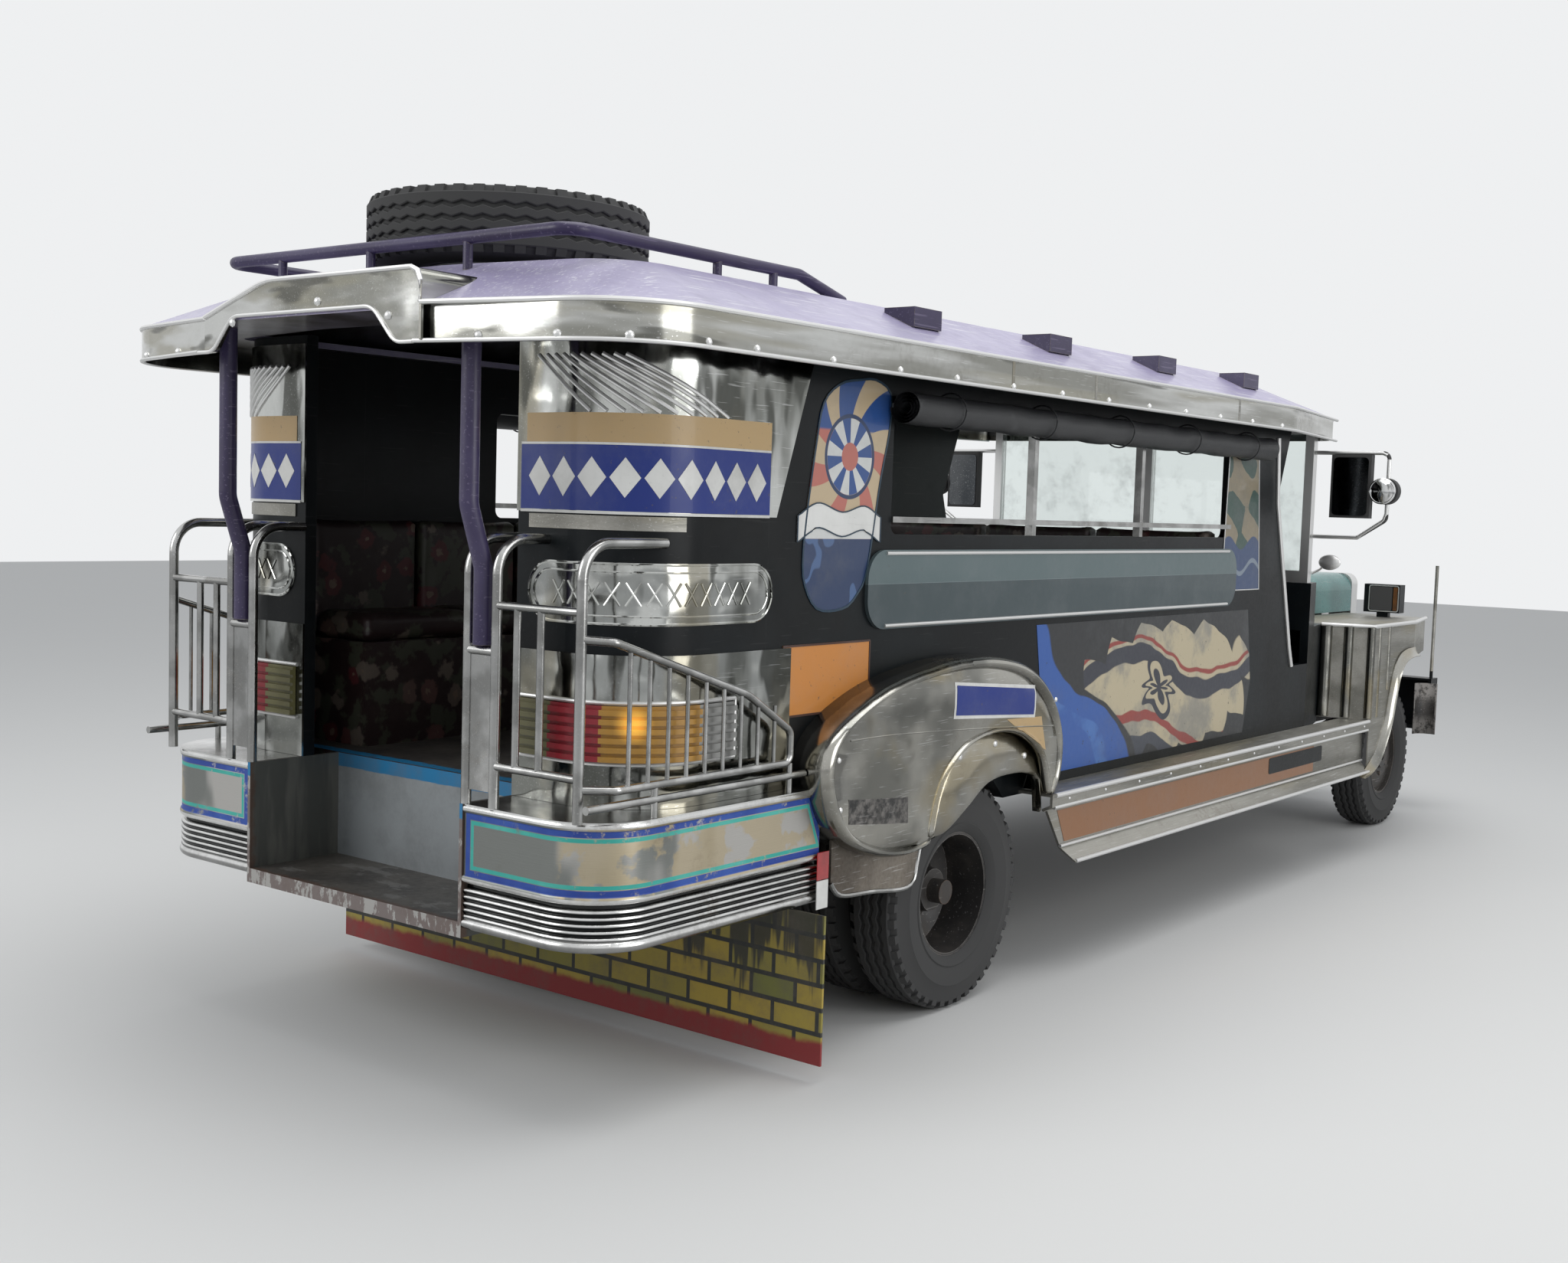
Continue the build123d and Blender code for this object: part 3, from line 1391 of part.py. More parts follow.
# Front bumper: a channel with a guide pole at each end
bumper_height = 290.0
bumper_bottom_z = 470.0
bumper_depth = 110.0
front_bumper_half = 860.0
plate_hole_spacing = 240.0
plate_hole_radius = 3.5
with BuildPart() as bumper_front:
    with BuildSketch(Plane.XZ.offset(-front_bumper_half)):
        with BuildLine():
            Polyline(
                (front_end_x - bumper_depth, bumper_bottom_z),
                (front_end_x, bumper_bottom_z),
                (front_end_x, bumper_bottom_z + bumper_height),
                (front_end_x - bumper_depth, bumper_bottom_z + bumper_height),
                (front_end_x - bumper_depth, bumper_bottom_z + bumper_height - bumper_plate),
                (front_end_x - bumper_plate, bumper_bottom_z + bumper_height - bumper_plate),
                (front_end_x - bumper_plate, bumper_bottom_z + bumper_plate),
                (front_end_x - bumper_depth, bumper_bottom_z + bumper_plate),
                close=True,
            )
        make_face()
    extrude(amount=2 * front_bumper_half)
    for side in (-1, 1):
        with Locations(
            (front_end_x - bumper_depth / 2, side * (front_bumper_half - 8), bumper_bottom_z + bumper_height / 2)
        ):
            Box(bumper_depth, 16, bumper_height)
        with BuildSketch(Plane.XY.offset(bumper_bottom_z + bumper_height - 4)):
            with Locations((front_end_x - 55, side * 840.0)):
                Circle(9)
        extrude(amount=640)
    with BuildSketch(Plane.YZ.offset(front_end_x - 2 * bumper_plate)):
        with Locations([(side * plate_hole_spacing / 2, bumper_bottom_z + bumper_height / 2) for side in (-1, 1)]):
            Circle(plate_hole_radius)
    extrude(amount=3 * bumper_plate, mode=Mode.SUBTRACT)
pieces["bumper_front"] = bumper_front

# Mirrors: a bent arm with a large plate mirror and a small round one
mirror_x = screen_x + screen_depth / 2
arm_root_y = screen_half_width + seat_gap
arm_y = body_half_width + 310.0
plate_mirror_y = body_half_width + 150.0
mirror_z = 1790.0
mirror_runs = [
    tube(
        [
            (mirror_x, -arm_root_y, 1945.0),
            (mirror_x, -arm_y, 1945.0),
            (mirror_x, -arm_y, 1640.0),
            (mirror_x, -plate_mirror_y - 30, 1555.0),
            (mirror_x, -arm_root_y, 1555.0),
        ],
        9,
        30.0,
    )
]
with BuildPart() as mirror_plates:
    with Locations((mirror_x - 18, -plate_mirror_y, mirror_z)):
        Box(40, 185, 290)
    with BuildSketch(Plane.YZ.offset(mirror_x - 40)):
        with Locations((-arm_y, mirror_z - 20)):
            Circle(60)
    extrude(amount=42)
    with Locations((mirror_x - 8, (-plate_mirror_y - arm_y) / 2 - 25, mirror_z)):
        Box(12, 120, 16)
mirror_runs.append(mirror_plates.part)
mirror_right = joined(mirror_runs)
pieces["mirrors"] = paired(mirror_right)

# Mud board across the rear, hung from the frame
mud_board_x = rear_axle_x - 900.0
mud_board_half = 1055.0
mud_board_low_z = 50.0
mud_board_top_z = 480.0
mud_board_sheet = 8.0
with BuildPart() as mud_board:
    with BuildSketch(Plane.YZ.offset(mud_board_x)):
        with Locations((0, (mud_board_low_z + mud_board_top_z) / 2)):
            Rectangle(2 * mud_board_half, mud_board_top_z - mud_board_low_z)
        for side in (-1, 1):
            with Locations((side * rail_y, (mud_board_top_z + rail_bottom_z - seat_gap) / 2)):
                Rectangle(rail_width, rail_bottom_z - seat_gap - mud_board_top_z)
    extrude(amount=mud_board_sheet)
pieces["mud_board"] = mud_board

# Benches: a box along each side with a cushion and a padded back
bench_rear_x = body_rear_x + body_corner_radius + 10.0
bench_front_x = station(1960.0)
bench_inner_y = 500.0
bench_top_z = deck_z + 330.0
bench_board = 18.0
with BuildPart() as bench_box_right:
    with BuildSketch(Plane.YZ.offset(bench_rear_x)):
        with BuildLine():
            Polyline(
                (-bench_inner_y, deck_z),
                (-bench_inner_y, bench_top_z),
                (-floor_half_width, bench_top_z),
                (-floor_half_width, bench_top_z - bench_board),
                (-bench_inner_y - bench_board, bench_top_z - bench_board),
                (-bench_inner_y - bench_board, deck_z),
                close=True,
            )
        make_face()
    extrude(amount=bench_front_x - bench_rear_x)
    for x in (bench_rear_x, bench_front_x - bench_board):
        with BuildSketch(Plane.YZ.offset(x)):
            with Locations((-(bench_inner_y + floor_half_width) / 2, (deck_z + bench_top_z) / 2)):
                Rectangle(floor_half_width - bench_inner_y, bench_top_z - deck_z)
        extrude(amount=bench_board)
pieces["bench_boxes"] = paired(bench_box_right)
cushion_thickness = 90.0
back_thickness = 70.0
with BuildPart() as bench_cushion_right:
    with BuildSketch(Plane.YZ.offset(bench_rear_x)):
        with Locations(
            (
                -(bench_inner_y + floor_half_width - back_thickness) / 2,
                bench_top_z + seat_gap + cushion_thickness / 2,
            )
        ):
            RectangleRounded(
                floor_half_width - back_thickness - bench_inner_y - 2 * seat_gap, cushion_thickness, 30
            )
    extrude(amount=bench_front_x - bench_rear_x)
pieces["bench_cushions"] = paired(bench_cushion_right)
with BuildPart() as bench_back_right:
    with BuildSketch(Plane.YZ.offset(bench_rear_x)):
        with Locations(
            (-floor_half_width + seat_gap + back_thickness / 2, (bench_top_z + sill_z) / 2)
        ):
            RectangleRounded(back_thickness - seat_gap, sill_z - bench_top_z - 2 * seat_gap, 30)
    extrude(amount=bench_front_x - bench_rear_x)
pieces["bench_backs"] = paired(bench_back_right)

# Cab seat: a full-width box with one cushion and one back
cab_seat_rear_x = station(2060.0)
cab_seat_depth = 470.0
cab_seat_half = floor_half_width - 15.0
cab_seat_z = deck_z + 230.0
with BuildPart() as cab_seat_box:
    with BuildSketch(Plane.XY.offset(deck_z)):
        with Locations((cab_seat_rear_x + cab_seat_depth / 2, 0)):
            Rectangle(cab_seat_depth, 2 * cab_seat_half)
            Rectangle(cab_seat_depth - 36, 2 * cab_seat_half - 36, mode=Mode.SUBTRACT)
    extrude(amount=cab_seat_z - deck_z)
pieces["cab_seat_box"] = cab_seat_box
with BuildPart() as cab_seat_cushion:
    with Locations((cab_seat_rear_x + cab_seat_depth / 2, 0, cab_seat_z + seat_gap + 55)):
        Box(cab_seat_depth, 2 * cab_seat_half, 110)
    fillet(cab_seat_cushion.edges().filter_by(Axis.Y), radius=35)
pieces["cab_seat_cushion"] = cab_seat_cushion
with BuildPart() as cab_seat_back:
    with Locations((cab_seat_rear_x + 50, 0, cab_seat_z + 110 + 2 * seat_gap + 210)):
        Box(100, 2 * cab_seat_half, 420)
    fillet(cab_seat_back.edges().filter_by(Axis.Y), radius=35)
pieces["cab_seat_back"] = cab_seat_back

# Steering: a raked column from the cowl and a wheel on its upper end
steer_y = 430.0
steer_rake = 35.0
steer_centre = Vector(station(2720.0), steer_y, 1310.0)
steer_axis = Vector(-cos(radians(steer_rake)), 0, sin(radians(steer_rake)))
column_radius = 18.0
hub_depth = 30.0
column_pin_radius = 10.0
column_end = steer_centre - steer_axis * (hub_depth + moving_gap)
column_foot_z = deck_z + seat_gap + column_radius * cos(radians(steer_rake))
column_start = steer_centre - steer_axis * ((steer_centre.Z - column_foot_z) / sin(radians(steer_rake)))
column_pin = tube([column_end - steer_axis, steer_centre - steer_axis], column_pin_radius)
steering_column = joined([tube([column_start, column_end], column_radius), column_pin])
pieces["steering_column"] = steering_column
steer_rim_radius = 205.0
steer_rim_tube = 13.0
steer_hub_radius = 38.0
steer_plane = Plane(origin=steer_centre, x_dir=(0, 1, 0), z_dir=steer_axis)
with BuildPart() as steering_wheel:
    with BuildSketch(Plane(origin=steer_centre, x_dir=(0, 1, 0), z_dir=steer_plane.y_dir)):
        with Locations((steer_rim_radius, 0)):
            Circle(steer_rim_tube)
    revolve(axis=Axis(steer_centre, steer_axis))
    with BuildSketch(steer_plane.offset(-hub_depth)):
        Circle(steer_hub_radius)
    extrude(amount=hub_depth + 15)
    with BuildSketch(steer_plane.offset(-8)):
        with PolarLocations(steer_rim_radius / 2, 3, start_angle=90):
            Rectangle(steer_rim_radius, 26)
    extrude(amount=12)
    with BuildSketch(steer_plane.offset(-hub_depth)):
        Circle(column_pin_radius + running_clearance)
    extrude(amount=hub_depth, mode=Mode.SUBTRACT)
pieces["steering_wheel"] = steering_wheel

for label, piece in pieces.items():
    piece.part.label = label
    export_step(piece.part, f"parts/{label}.step")
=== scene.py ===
"""Looks of a long open-backed passenger jeepney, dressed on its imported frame."""

import logging
import math
import random
from dataclasses import dataclass
from enum import Enum
from typing import Callable, Optional, Sequence

import bpy
from mathutils import Matrix, Vector
from mathutils.bvhtree import BVHTree


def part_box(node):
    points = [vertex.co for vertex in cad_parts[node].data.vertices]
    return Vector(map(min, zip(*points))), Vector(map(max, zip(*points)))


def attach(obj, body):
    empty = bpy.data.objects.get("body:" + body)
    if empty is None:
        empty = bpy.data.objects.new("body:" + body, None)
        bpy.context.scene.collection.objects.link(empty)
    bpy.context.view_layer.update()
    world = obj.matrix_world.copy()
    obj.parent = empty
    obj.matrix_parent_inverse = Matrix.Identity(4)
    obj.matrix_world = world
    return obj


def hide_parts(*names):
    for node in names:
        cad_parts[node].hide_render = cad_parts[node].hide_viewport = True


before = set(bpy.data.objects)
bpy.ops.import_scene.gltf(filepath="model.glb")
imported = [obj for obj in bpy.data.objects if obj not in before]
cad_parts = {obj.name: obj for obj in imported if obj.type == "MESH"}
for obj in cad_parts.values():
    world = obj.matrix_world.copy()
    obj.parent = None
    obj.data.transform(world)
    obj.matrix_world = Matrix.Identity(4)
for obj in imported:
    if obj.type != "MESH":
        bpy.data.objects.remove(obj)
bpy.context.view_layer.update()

Colour = tuple[float, float, float]
Point2 = tuple[float, float]
Placer = Callable[[float, float, float], Vector]
Socket = bpy.types.NodeSocket
log = logging.getLogger("jeepney")

VEHICLE = "vehicle"


class Side(Enum):
    """Which side of the vehicle a piece is on, as the sign of Y."""

    RIGHT = -1
    LEFT = 1


def at_rear_axle(distance: float) -> float:
    """X of a place measured forward from the rear axle."""
    lo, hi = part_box("wheel_rear_right")
    return (lo[0] + hi[0]) / 2 + distance


# ---------------------------------------------------------------- shaders


class Shader:
    """One node material; each helper adds nodes and gives back an output socket."""

    def __init__(self, name: str) -> None:
        """Start an empty material.

        Args:
            name: the material's name.
        """
        self.material = bpy.data.materials.new(name)
        self.material.use_nodes = True
        self.tree = self.material.node_tree
        self.tree.nodes.clear()
        self._place: Optional[Socket] = None
        self._axes: Optional[tuple[Socket, Socket, Socket]] = None
        self._facing: Optional[tuple[Socket, Socket, Socket]] = None

    def node(self, kind: str, inputs: Optional[dict] = None, **settings: object) -> bpy.types.Node:
        """Add a node.

        Args:
            kind: Blender's node type.
            inputs: values or sockets by input name or number.
            settings: attributes of the node.

        Returns:
            The new node.
        """
        made = self.tree.nodes.new(kind)
        for key, value in settings.items():
            setattr(made, key, value)
        for key, value in (inputs or {}).items():
            if isinstance(value, bpy.types.NodeSocket):
                self.tree.links.new(value, made.inputs[key])
            else:
                made.inputs[key].default_value = value
        return made

    @property
    def place(self) -> Socket:
        """The point in the vehicle's frame, in metres."""
        if self._place is None:
            self._place = self.node("ShaderNodeTexCoord").outputs["Object"]
        return self._place

    @property
    def axes(self) -> tuple[Socket, Socket, Socket]:
        """The point's X, Y and Z."""
        if self._axes is None:
            split = self.node("ShaderNodeSeparateXYZ", {0: self.place})
            self._axes = (split.outputs[0], split.outputs[1], split.outputs[2])
        return self._axes

    def calc(self, kind: str, a: object, b: object = 0.0, c: object = 0.0) -> Socket:
        """One sum of the Math node.

        Args:
            kind: the Math node's operation.
            a: first value or socket.
            b: second value or socket.
            c: third value or socket.

        Returns:
            The result.
        """
        return self.node("ShaderNodeMath", {0: a, 1: b, 2: c}, operation=kind).outputs[0]

    def times(self, a: object, b: object) -> Socket:
        """a times b."""
        return self.calc("MULTIPLY", a, b)

    def plus(self, a: object, b: object) -> Socket:
        """a plus b."""
        return self.calc("ADD", a, b)

    def less(self, a: object, b: object) -> Socket:
        """a less b."""
        return self.calc("SUBTRACT", a, b)

    def line(self, value: object, slope: object, offset: object) -> Socket:
        """value times slope, plus offset."""
        return self.calc("MULTIPLY_ADD", value, slope, offset)

    def stretched(self, scale: Sequence[float], turn: Sequence[float] = (0, 0, 0)) -> Socket:
        """The point scaled and turned, for grain and streaks."""
        made = self.node("ShaderNodeMapping", {"Vector": self.place, "Scale": scale, "Rotation": turn})
        return made.outputs[0]

    def noise(self, scale: float, detail: float = 4, rough: float = 0.6, vector: Optional[Socket] = None) -> Socket:
        """Noise from 0 to 1.

        Args:
            scale: features per metre, roughly.
            detail: octaves.
            rough: share of the fine octaves.
            vector: the point it reads, or the object's place.

        Returns:
            The noise's factor.
        """
        inputs = {"Vector": vector or self.place, "Scale": scale, "Detail": detail, "Roughness": rough}
        return self.node("ShaderNodeTexNoise", inputs).outputs[0]

    def step(self, value: object, low: float, high: float) -> Socket:
        """0 below low, 1 above high, smooth between them."""
        inputs = {"Value": value, "From Min": low, "From Max": high}
        return self.node("ShaderNodeMapRange", inputs, interpolation_type="SMOOTHSTEP").outputs[0]

    def fall(self, value: object, low: float, high: float) -> Socket:
        """1 below low, 0 above high, smooth between them."""
        return self.less(1.0, self.step(value, low, high))

    def band(self, value: Socket, low: float, high: float, soft: float = 0.0008) -> Socket:
        """1 where value lies between low and high, else 0."""
        rise = self.step(value, low - soft, low + soft)
        fall = self.step(value, high - soft, high + soft)
        return self.less(rise, fall)

    def both(self, *masks: Socket) -> Socket:
        """1 where every mask is 1."""
        made = masks[0]
        for mask in masks[1:]:
            made = self.times(made, mask)
        return made

    def mix(self, share: object, a: object, b: object) -> Socket:
        """Colour a where share is 0, and b where it is 1."""
        made = self.node("ShaderNodeMix", data_type="RGBA")
        for socket, value in zip((made.inputs[0], made.inputs[6], made.inputs[7]), (share, a, b)):
            if isinstance(value, bpy.types.NodeSocket):
                self.tree.links.new(value, socket)
            else:
                socket.default_value = (*value, 1.0) if isinstance(value, tuple) else value
        return made.outputs[2]

    def tint(self, colour: object, other: object, mask: object, share: object) -> Socket:
        """Colour with another laid over it where the mask is 1, at most by the share."""
        return self.mix(self.times(mask, share), colour, other)

    def scratches(self, density: float, scale: float = 5.0) -> Socket:
        """Thin crossing scratches, 0 to 1.

        Args:
            density: share of the surface that may be scratched, 0 to 1.
            scale: coarseness.

        Returns:
            The mask.
        """
        made = []
        for turn in ((0.3, 0.5, 0.9), (1.1, -0.4, 0.2)):
            lines = self.noise(scale, 2, 0.5, self.stretched((1, 26, 26), turn))
            made.append(self.step(lines, 0.70 - 0.08 * density, 0.72 - 0.04 * density))
        return self.calc("MAXIMUM", *made)

    def edges(self, radius: float = 0.004) -> Socket:
        """1 on outer edges, where paint wears first."""
        bevel = self.node("ShaderNodeBevel", {"Radius": radius}, samples=4)
        true = self.node("ShaderNodeNewGeometry").outputs["True Normal"]
        dot = self.node("ShaderNodeVectorMath", {0: bevel.outputs[0], 1: true}, operation="DOT_PRODUCT")
        return self.step(self.less(1.0, dot.outputs["Value"]), 0.01, 0.16)

    @property
    def facing(self) -> tuple[Socket, Socket, Socket]:
        """The surface normal's X, Y and Z."""
        if self._facing is None:
            normal = self.node("ShaderNodeNewGeometry").outputs["Normal"]
            split = self.node("ShaderNodeSeparateXYZ", {0: normal})
            self._facing = (split.outputs[0], split.outputs[1], split.outputs[2])
        return self._facing

    def bump(self, height: Socket, strength: float, distance: float = 0.002) -> Socket:
        """A normal from a height."""
        inputs = {"Height": height, "Strength": strength, "Distance": distance}
        return self.node("ShaderNodeBump", inputs).outputs[0]

    def close(self, colour: object, rough: object, normal: object = None,
            more: Optional[dict] = None) -> bpy.types.Material:
        """Finish the material with its surface shader.

        Args:
            colour: the base colour.
            rough: the roughness.
            normal: the bumped normal, if it has one.
            more: further inputs of the surface shader by name.

        Returns:
            The material.
        """
        inputs = {"Base Color": colour, "Roughness": rough} | (more or {})
        if normal:
            inputs["Normal"] = normal
        surface = self.node("ShaderNodeBsdfPrincipled", inputs)
        self.node("ShaderNodeOutputMaterial", {"Surface": surface.outputs[0]})
        return self.material


def rgba(colour: Colour) -> tuple[float, float, float, float]:
    """A colour with full alpha."""
    return (*colour, 1.0)


# ---------------------------------------------------------------- finishes


@dataclass(frozen=True)
class Paint:
    """Hand-applied enamel on steel, faded, scratched and dusty, with painted shade on downward faces where an under
    colour is given.
    """

    name: str
    colour: Colour
    faded: Colour
    roughness: float = 0.38
    metallic: float = 0.0
    coat: float = 0.25
    scratch: float = 0.25
    scratch_colour: Colour = (0.45, 0.44, 0.43)
    grime: float = 0.35
    grime_colour: Colour = (0.07, 0.06, 0.05)
    wear: float = 0.6
    bare: Colour = (0.32, 0.30, 0.28)
    patch_scale: float = 2.2
    specular: float = 0.5
    # under: colour of painted shade on downward faces, mixed with grime in patches.
    under: Optional[Colour] = None

    def build(self) -> bpy.types.Material:
        """Make the material."""
        s = Shader(self.name)
        cloud = s.step(s.noise(self.patch_scale, 5, 0.65), 0.35, 0.68)
        fine = s.noise(70, 3, 0.6)
        colour = s.mix(cloud, self.colour, self.faded)
        drips = s.step(s.noise(9, 3, 0.6, s.stretched((1, 1, 0.12))), 0.5, 0.78)
        dirt = s.times(s.step(s.noise(1.7, 7, 0.72), 0.42, 0.72), self.grime)
        dirt = s.calc("MAXIMUM", dirt, s.times(drips, self.grime * 0.7))
        colour = s.mix(dirt, colour, self.grime_colour)
        lines = s.times(s.scratches(self.scratch), self.scratch)
        colour = s.mix(lines, colour, self.scratch_colour)
        chipped = s.both(s.edges(), s.step(s.noise(34, 4, 0.7), 0.38, 0.52))
        colour = s.tint(colour, self.bare, chipped, self.wear)
        # Painted shade: downward faces take the under colour, mixed with grime in patches.
        if self.under:
            below = s.fall(s.facing[2], -0.30, -0.10)
            colour = s.mix(below, colour, s.mix(cloud, self.under, self.grime_colour))
        rough = s.line(fine, 0.16, self.roughness - 0.08)
        rough = s.line(dirt, 0.45, rough)
        relief = s.line(fine, 0.25, s.noise(11, 2))
        return s.close(colour, rough, s.bump(relief, 0.22, 0.0016), {"Metallic": self.metallic,
            "Coat Weight": self.coat, "Coat Roughness": 0.16, "Specular IOR Level": self.specular})


@dataclass(frozen=True)
class Steel:
    """Bare stainless or plated steel: polished, rolled or brushed, with painted reflections in bright, dull, dark and
    warm patches, and painted shade on its downward faces.
    """

    name: str
    # bright, dull, deep and warm are the tones of painted reflections; deep also colours the painted shade on downward
    # faces.
    bright: Colour = (0.60, 0.60, 0.59)
    dull: Colour = (0.38, 0.38, 0.37)
    roughness: float = 0.14
    grain: tuple[float, float, float] = (1.0, 1.0, 1.0)
    grain_depth: float = 0.1
    dents: float = 0.35
    dent_scale: float = 5.0
    stain: float = 0.25
    stain_colour: Colour = (0.12, 0.09, 0.06)
    reflection_scale: float = 3.2
    reflection_stretch: tuple[float, float, float] = (1.0, 1.0, 0.4)
    deep: Colour = (0.07, 0.072, 0.07)
    dark_reflection_share: float = 0.0
    dark_reflection_soft: float = 0.08
    warm: Colour = (0.42, 0.33, 0.19)
    warm_reflection_share: float = 0.0
    shaded_below: float = 0.0

    def build(self) -> bpy.types.Material:
        """Make the material."""
        s = Shader(self.name)
        grain = s.noise(90, 3, 0.6, s.stretched(self.grain))
        # Painted reflections: bright and dull patches in stretched noise.
        reflection_tones = s.noise(self.reflection_scale, 3, 0.5, s.stretched(self.reflection_stretch))
        colour = s.mix(s.step(reflection_tones, 0.40, 0.60), self.bright, self.dull)
        # Painted warm reflections in patches.
        if self.warm_reflection_share:
            warm = s.noise(self.reflection_scale * 0.8, 3, 0.5, s.stretched(self.reflection_stretch, (0.2, 0.4, 0.3)))
            edge = 0.62 - 0.12 * self.warm_reflection_share
            colour = s.tint(colour, self.warm, s.step(warm, edge, edge + 0.10), 0.7)
        # Painted dark reflections in patches.
        if self.dark_reflection_share:
            deep = s.noise(self.reflection_scale * 1.7, 2, 0.5, s.stretched(self.reflection_stretch, (0.1, -0.3, 0.2)))
            edge = 0.64 - 0.13 * self.dark_reflection_share
            colour = s.tint(colour, self.deep, s.step(deep, edge, edge + self.dark_reflection_soft), 0.85)
        colour = s.tint(colour, self.dull, grain, 0.22)
        if self.shaded_below:
            low = s.fall(s.facing[2], -0.75, 0.45)
            colour = s.tint(colour, self.deep, low, self.shaded_below)
        spots = s.both(s.step(s.noise(2.4, 8, 0.75), 0.50, 0.74), s.step(s.noise(42, 3, 0.6), 0.40, 0.62))
        spots = s.times(spots, self.stain)
        colour = s.mix(spots, colour, self.stain_colour)
        lines = s.times(s.scratches(0.4, 8.0), 0.3)
        colour = s.mix(lines, colour, (0.72, 0.72, 0.72))
        rough = s.line(grain, self.grain_depth * 1.4, self.roughness)
        rough = s.plus(rough, s.times(spots, 0.6))
        dent = s.noise(self.dent_scale, 2, 0.45)
        coarse = s.bump(dent, self.dents, 0.02)
        fine = s.node("ShaderNodeBump", {"Height": grain, "Strength": self.grain_depth, "Distance": 0.0008,
            "Normal": coarse})
        return s.close(colour, rough, fine.outputs[0], {"Metallic": 1.0})


@dataclass(frozen=True)
class BandedSteel:
    """The rear bumper's steel: its brushed band carries a blue and a teal line over painted reflections, its tubes are
    plated, with painted shade on the louvres.
    """

    name: str
    band_low: float
    band_high: float
    inner_y: float
    front_x: float
    blue: Colour = (0.012, 0.045, 0.26)
    teal: Colour = (0.03, 0.34, 0.29)
    brushed: Colour = (0.45, 0.44, 0.42)
    plated: Colour = (0.70, 0.70, 0.69)
    # Colour of the painted shade on the louvres.
    louvre_shade: Colour = (0.012, 0.013, 0.013)

    def build(self) -> bpy.types.Material:
        """Make the material."""
        s = Shader(self.name)
        x, y, z = s.axes
        grain = s.noise(120, 3, 0.6, s.stretched((0.12, 0.12, 3.0)))
        cloud = s.step(s.noise(5, 6, 0.7), 0.4, 0.66)
        out = s.calc("ABSOLUTE", y)
        slant = s.line(s.less(self.band_high, z), 0.42, 0.0)
        to_front = s.less(s.plus(slant, self.front_x), x)
        inside = s.less(out, self.inner_y)
        rise = s.calc("MINIMUM", s.less(z, self.band_low), s.less(self.band_high, z))
        edge = s.calc("MINIMUM", rise, s.calc("MINIMUM", inside, to_front))
        in_band = s.band(z, self.band_low - 0.004, self.band_high + 0.004)
        worn = s.step(s.noise(26, 5, 0.7), 0.30, 0.44)
        blue = s.both(s.band(edge, 0.002, 0.019, 0.0012), worn)
        teal = s.both(s.band(edge, 0.021, 0.032, 0.0012), worn)
        faded = s.step(s.noise(6, 3), 0.35, 0.7)
        # Painted reflections: dark patches on the brushed band.
        reflection_tones = s.step(s.noise(2.6, 3, 0.5, s.stretched((1, 1, 0.5))), 0.46, 0.53)
        body = s.mix(reflection_tones, self.brushed, (0.20, 0.21, 0.20))
        tan = s.both(s.step(out, 0.80, 0.83), s.step(s.noise(7, 4, 0.6), 0.44, 0.50))
        body = s.tint(body, (0.46, 0.38, 0.24), tan, 0.7)
        plated = s.mix(cloud, self.plated, (0.50, 0.50, 0.49))
        # Painted shade on louvre faces that don't face up, weaker on the lowest tube.
        turned = s.step(s.facing[2], -0.05, 0.38)
        in_louvres = s.fall(z, self.band_low - 0.022, self.band_low - 0.018)
        lowest = s.fall(z, self.band_low - 0.112, self.band_low - 0.108)
        shadow = s.both(in_louvres, s.less(1.0, turned), s.less(1.0, s.times(lowest, 0.45)))
        plated = s.mix(shadow, plated, self.louvre_shade)
        colour = s.mix(in_band, plated, body)
        colour = s.mix(s.both(blue, in_band), colour, s.mix(faded, self.blue, (0.03, 0.09, 0.36)))
        colour = s.mix(s.both(teal, in_band), colour, s.mix(faded, self.teal, (0.08, 0.42, 0.36)))
        stain = s.both(s.step(s.noise(3.1, 8, 0.75), 0.5, 0.72), s.step(s.noise(40, 3), 0.42, 0.6))
        colour = s.tint(colour, (0.13, 0.10, 0.07), stain, 0.35)
        painted = s.both(s.calc("MAXIMUM", blue, teal), in_band)
        metal = s.less(1.0, s.times(painted, 0.75))
        rough = s.line(in_band, 0.17, 0.15)
        rough = s.line(grain, 0.14, rough)
        rough = s.line(painted, 0.15, rough)
        relief = s.line(grain, 0.2, s.noise(6, 2))
        return s.close(colour, rough, s.bump(relief, 0.3, 0.006), {"Metallic": metal})


@dataclass(frozen=True)
class Rubber:
    """Tyre rubber, dusty and cracked."""

    name: str
    colour: Colour = (0.022, 0.022, 0.023)
    dust: Colour = (0.13, 0.115, 0.095)
    dust_share: float = 0.55

    def build(self) -> bpy.types.Material:
        """Make the material."""
        s = Shader(self.name)
        fine = s.noise(180, 4, 0.7)
        dust = s.times(s.step(s.noise(9, 6, 0.7), 0.36, 0.72), self.dust_share)
        cracks = s.node("ShaderNodeTexVoronoi", {"Vector": s.place, "Scale": 95}, feature="DISTANCE_TO_EDGE")
        relief = s.line(s.step(cracks.outputs[0], 0.0, 0.06), 0.3, fine)
        rough = s.line(fine, 0.2, 0.66)
        colour = s.mix(dust, self.colour, self.dust)
        return s.close(colour, rough, s.bump(relief, 0.5, 0.0012), {"Specular IOR Level": 0.35})


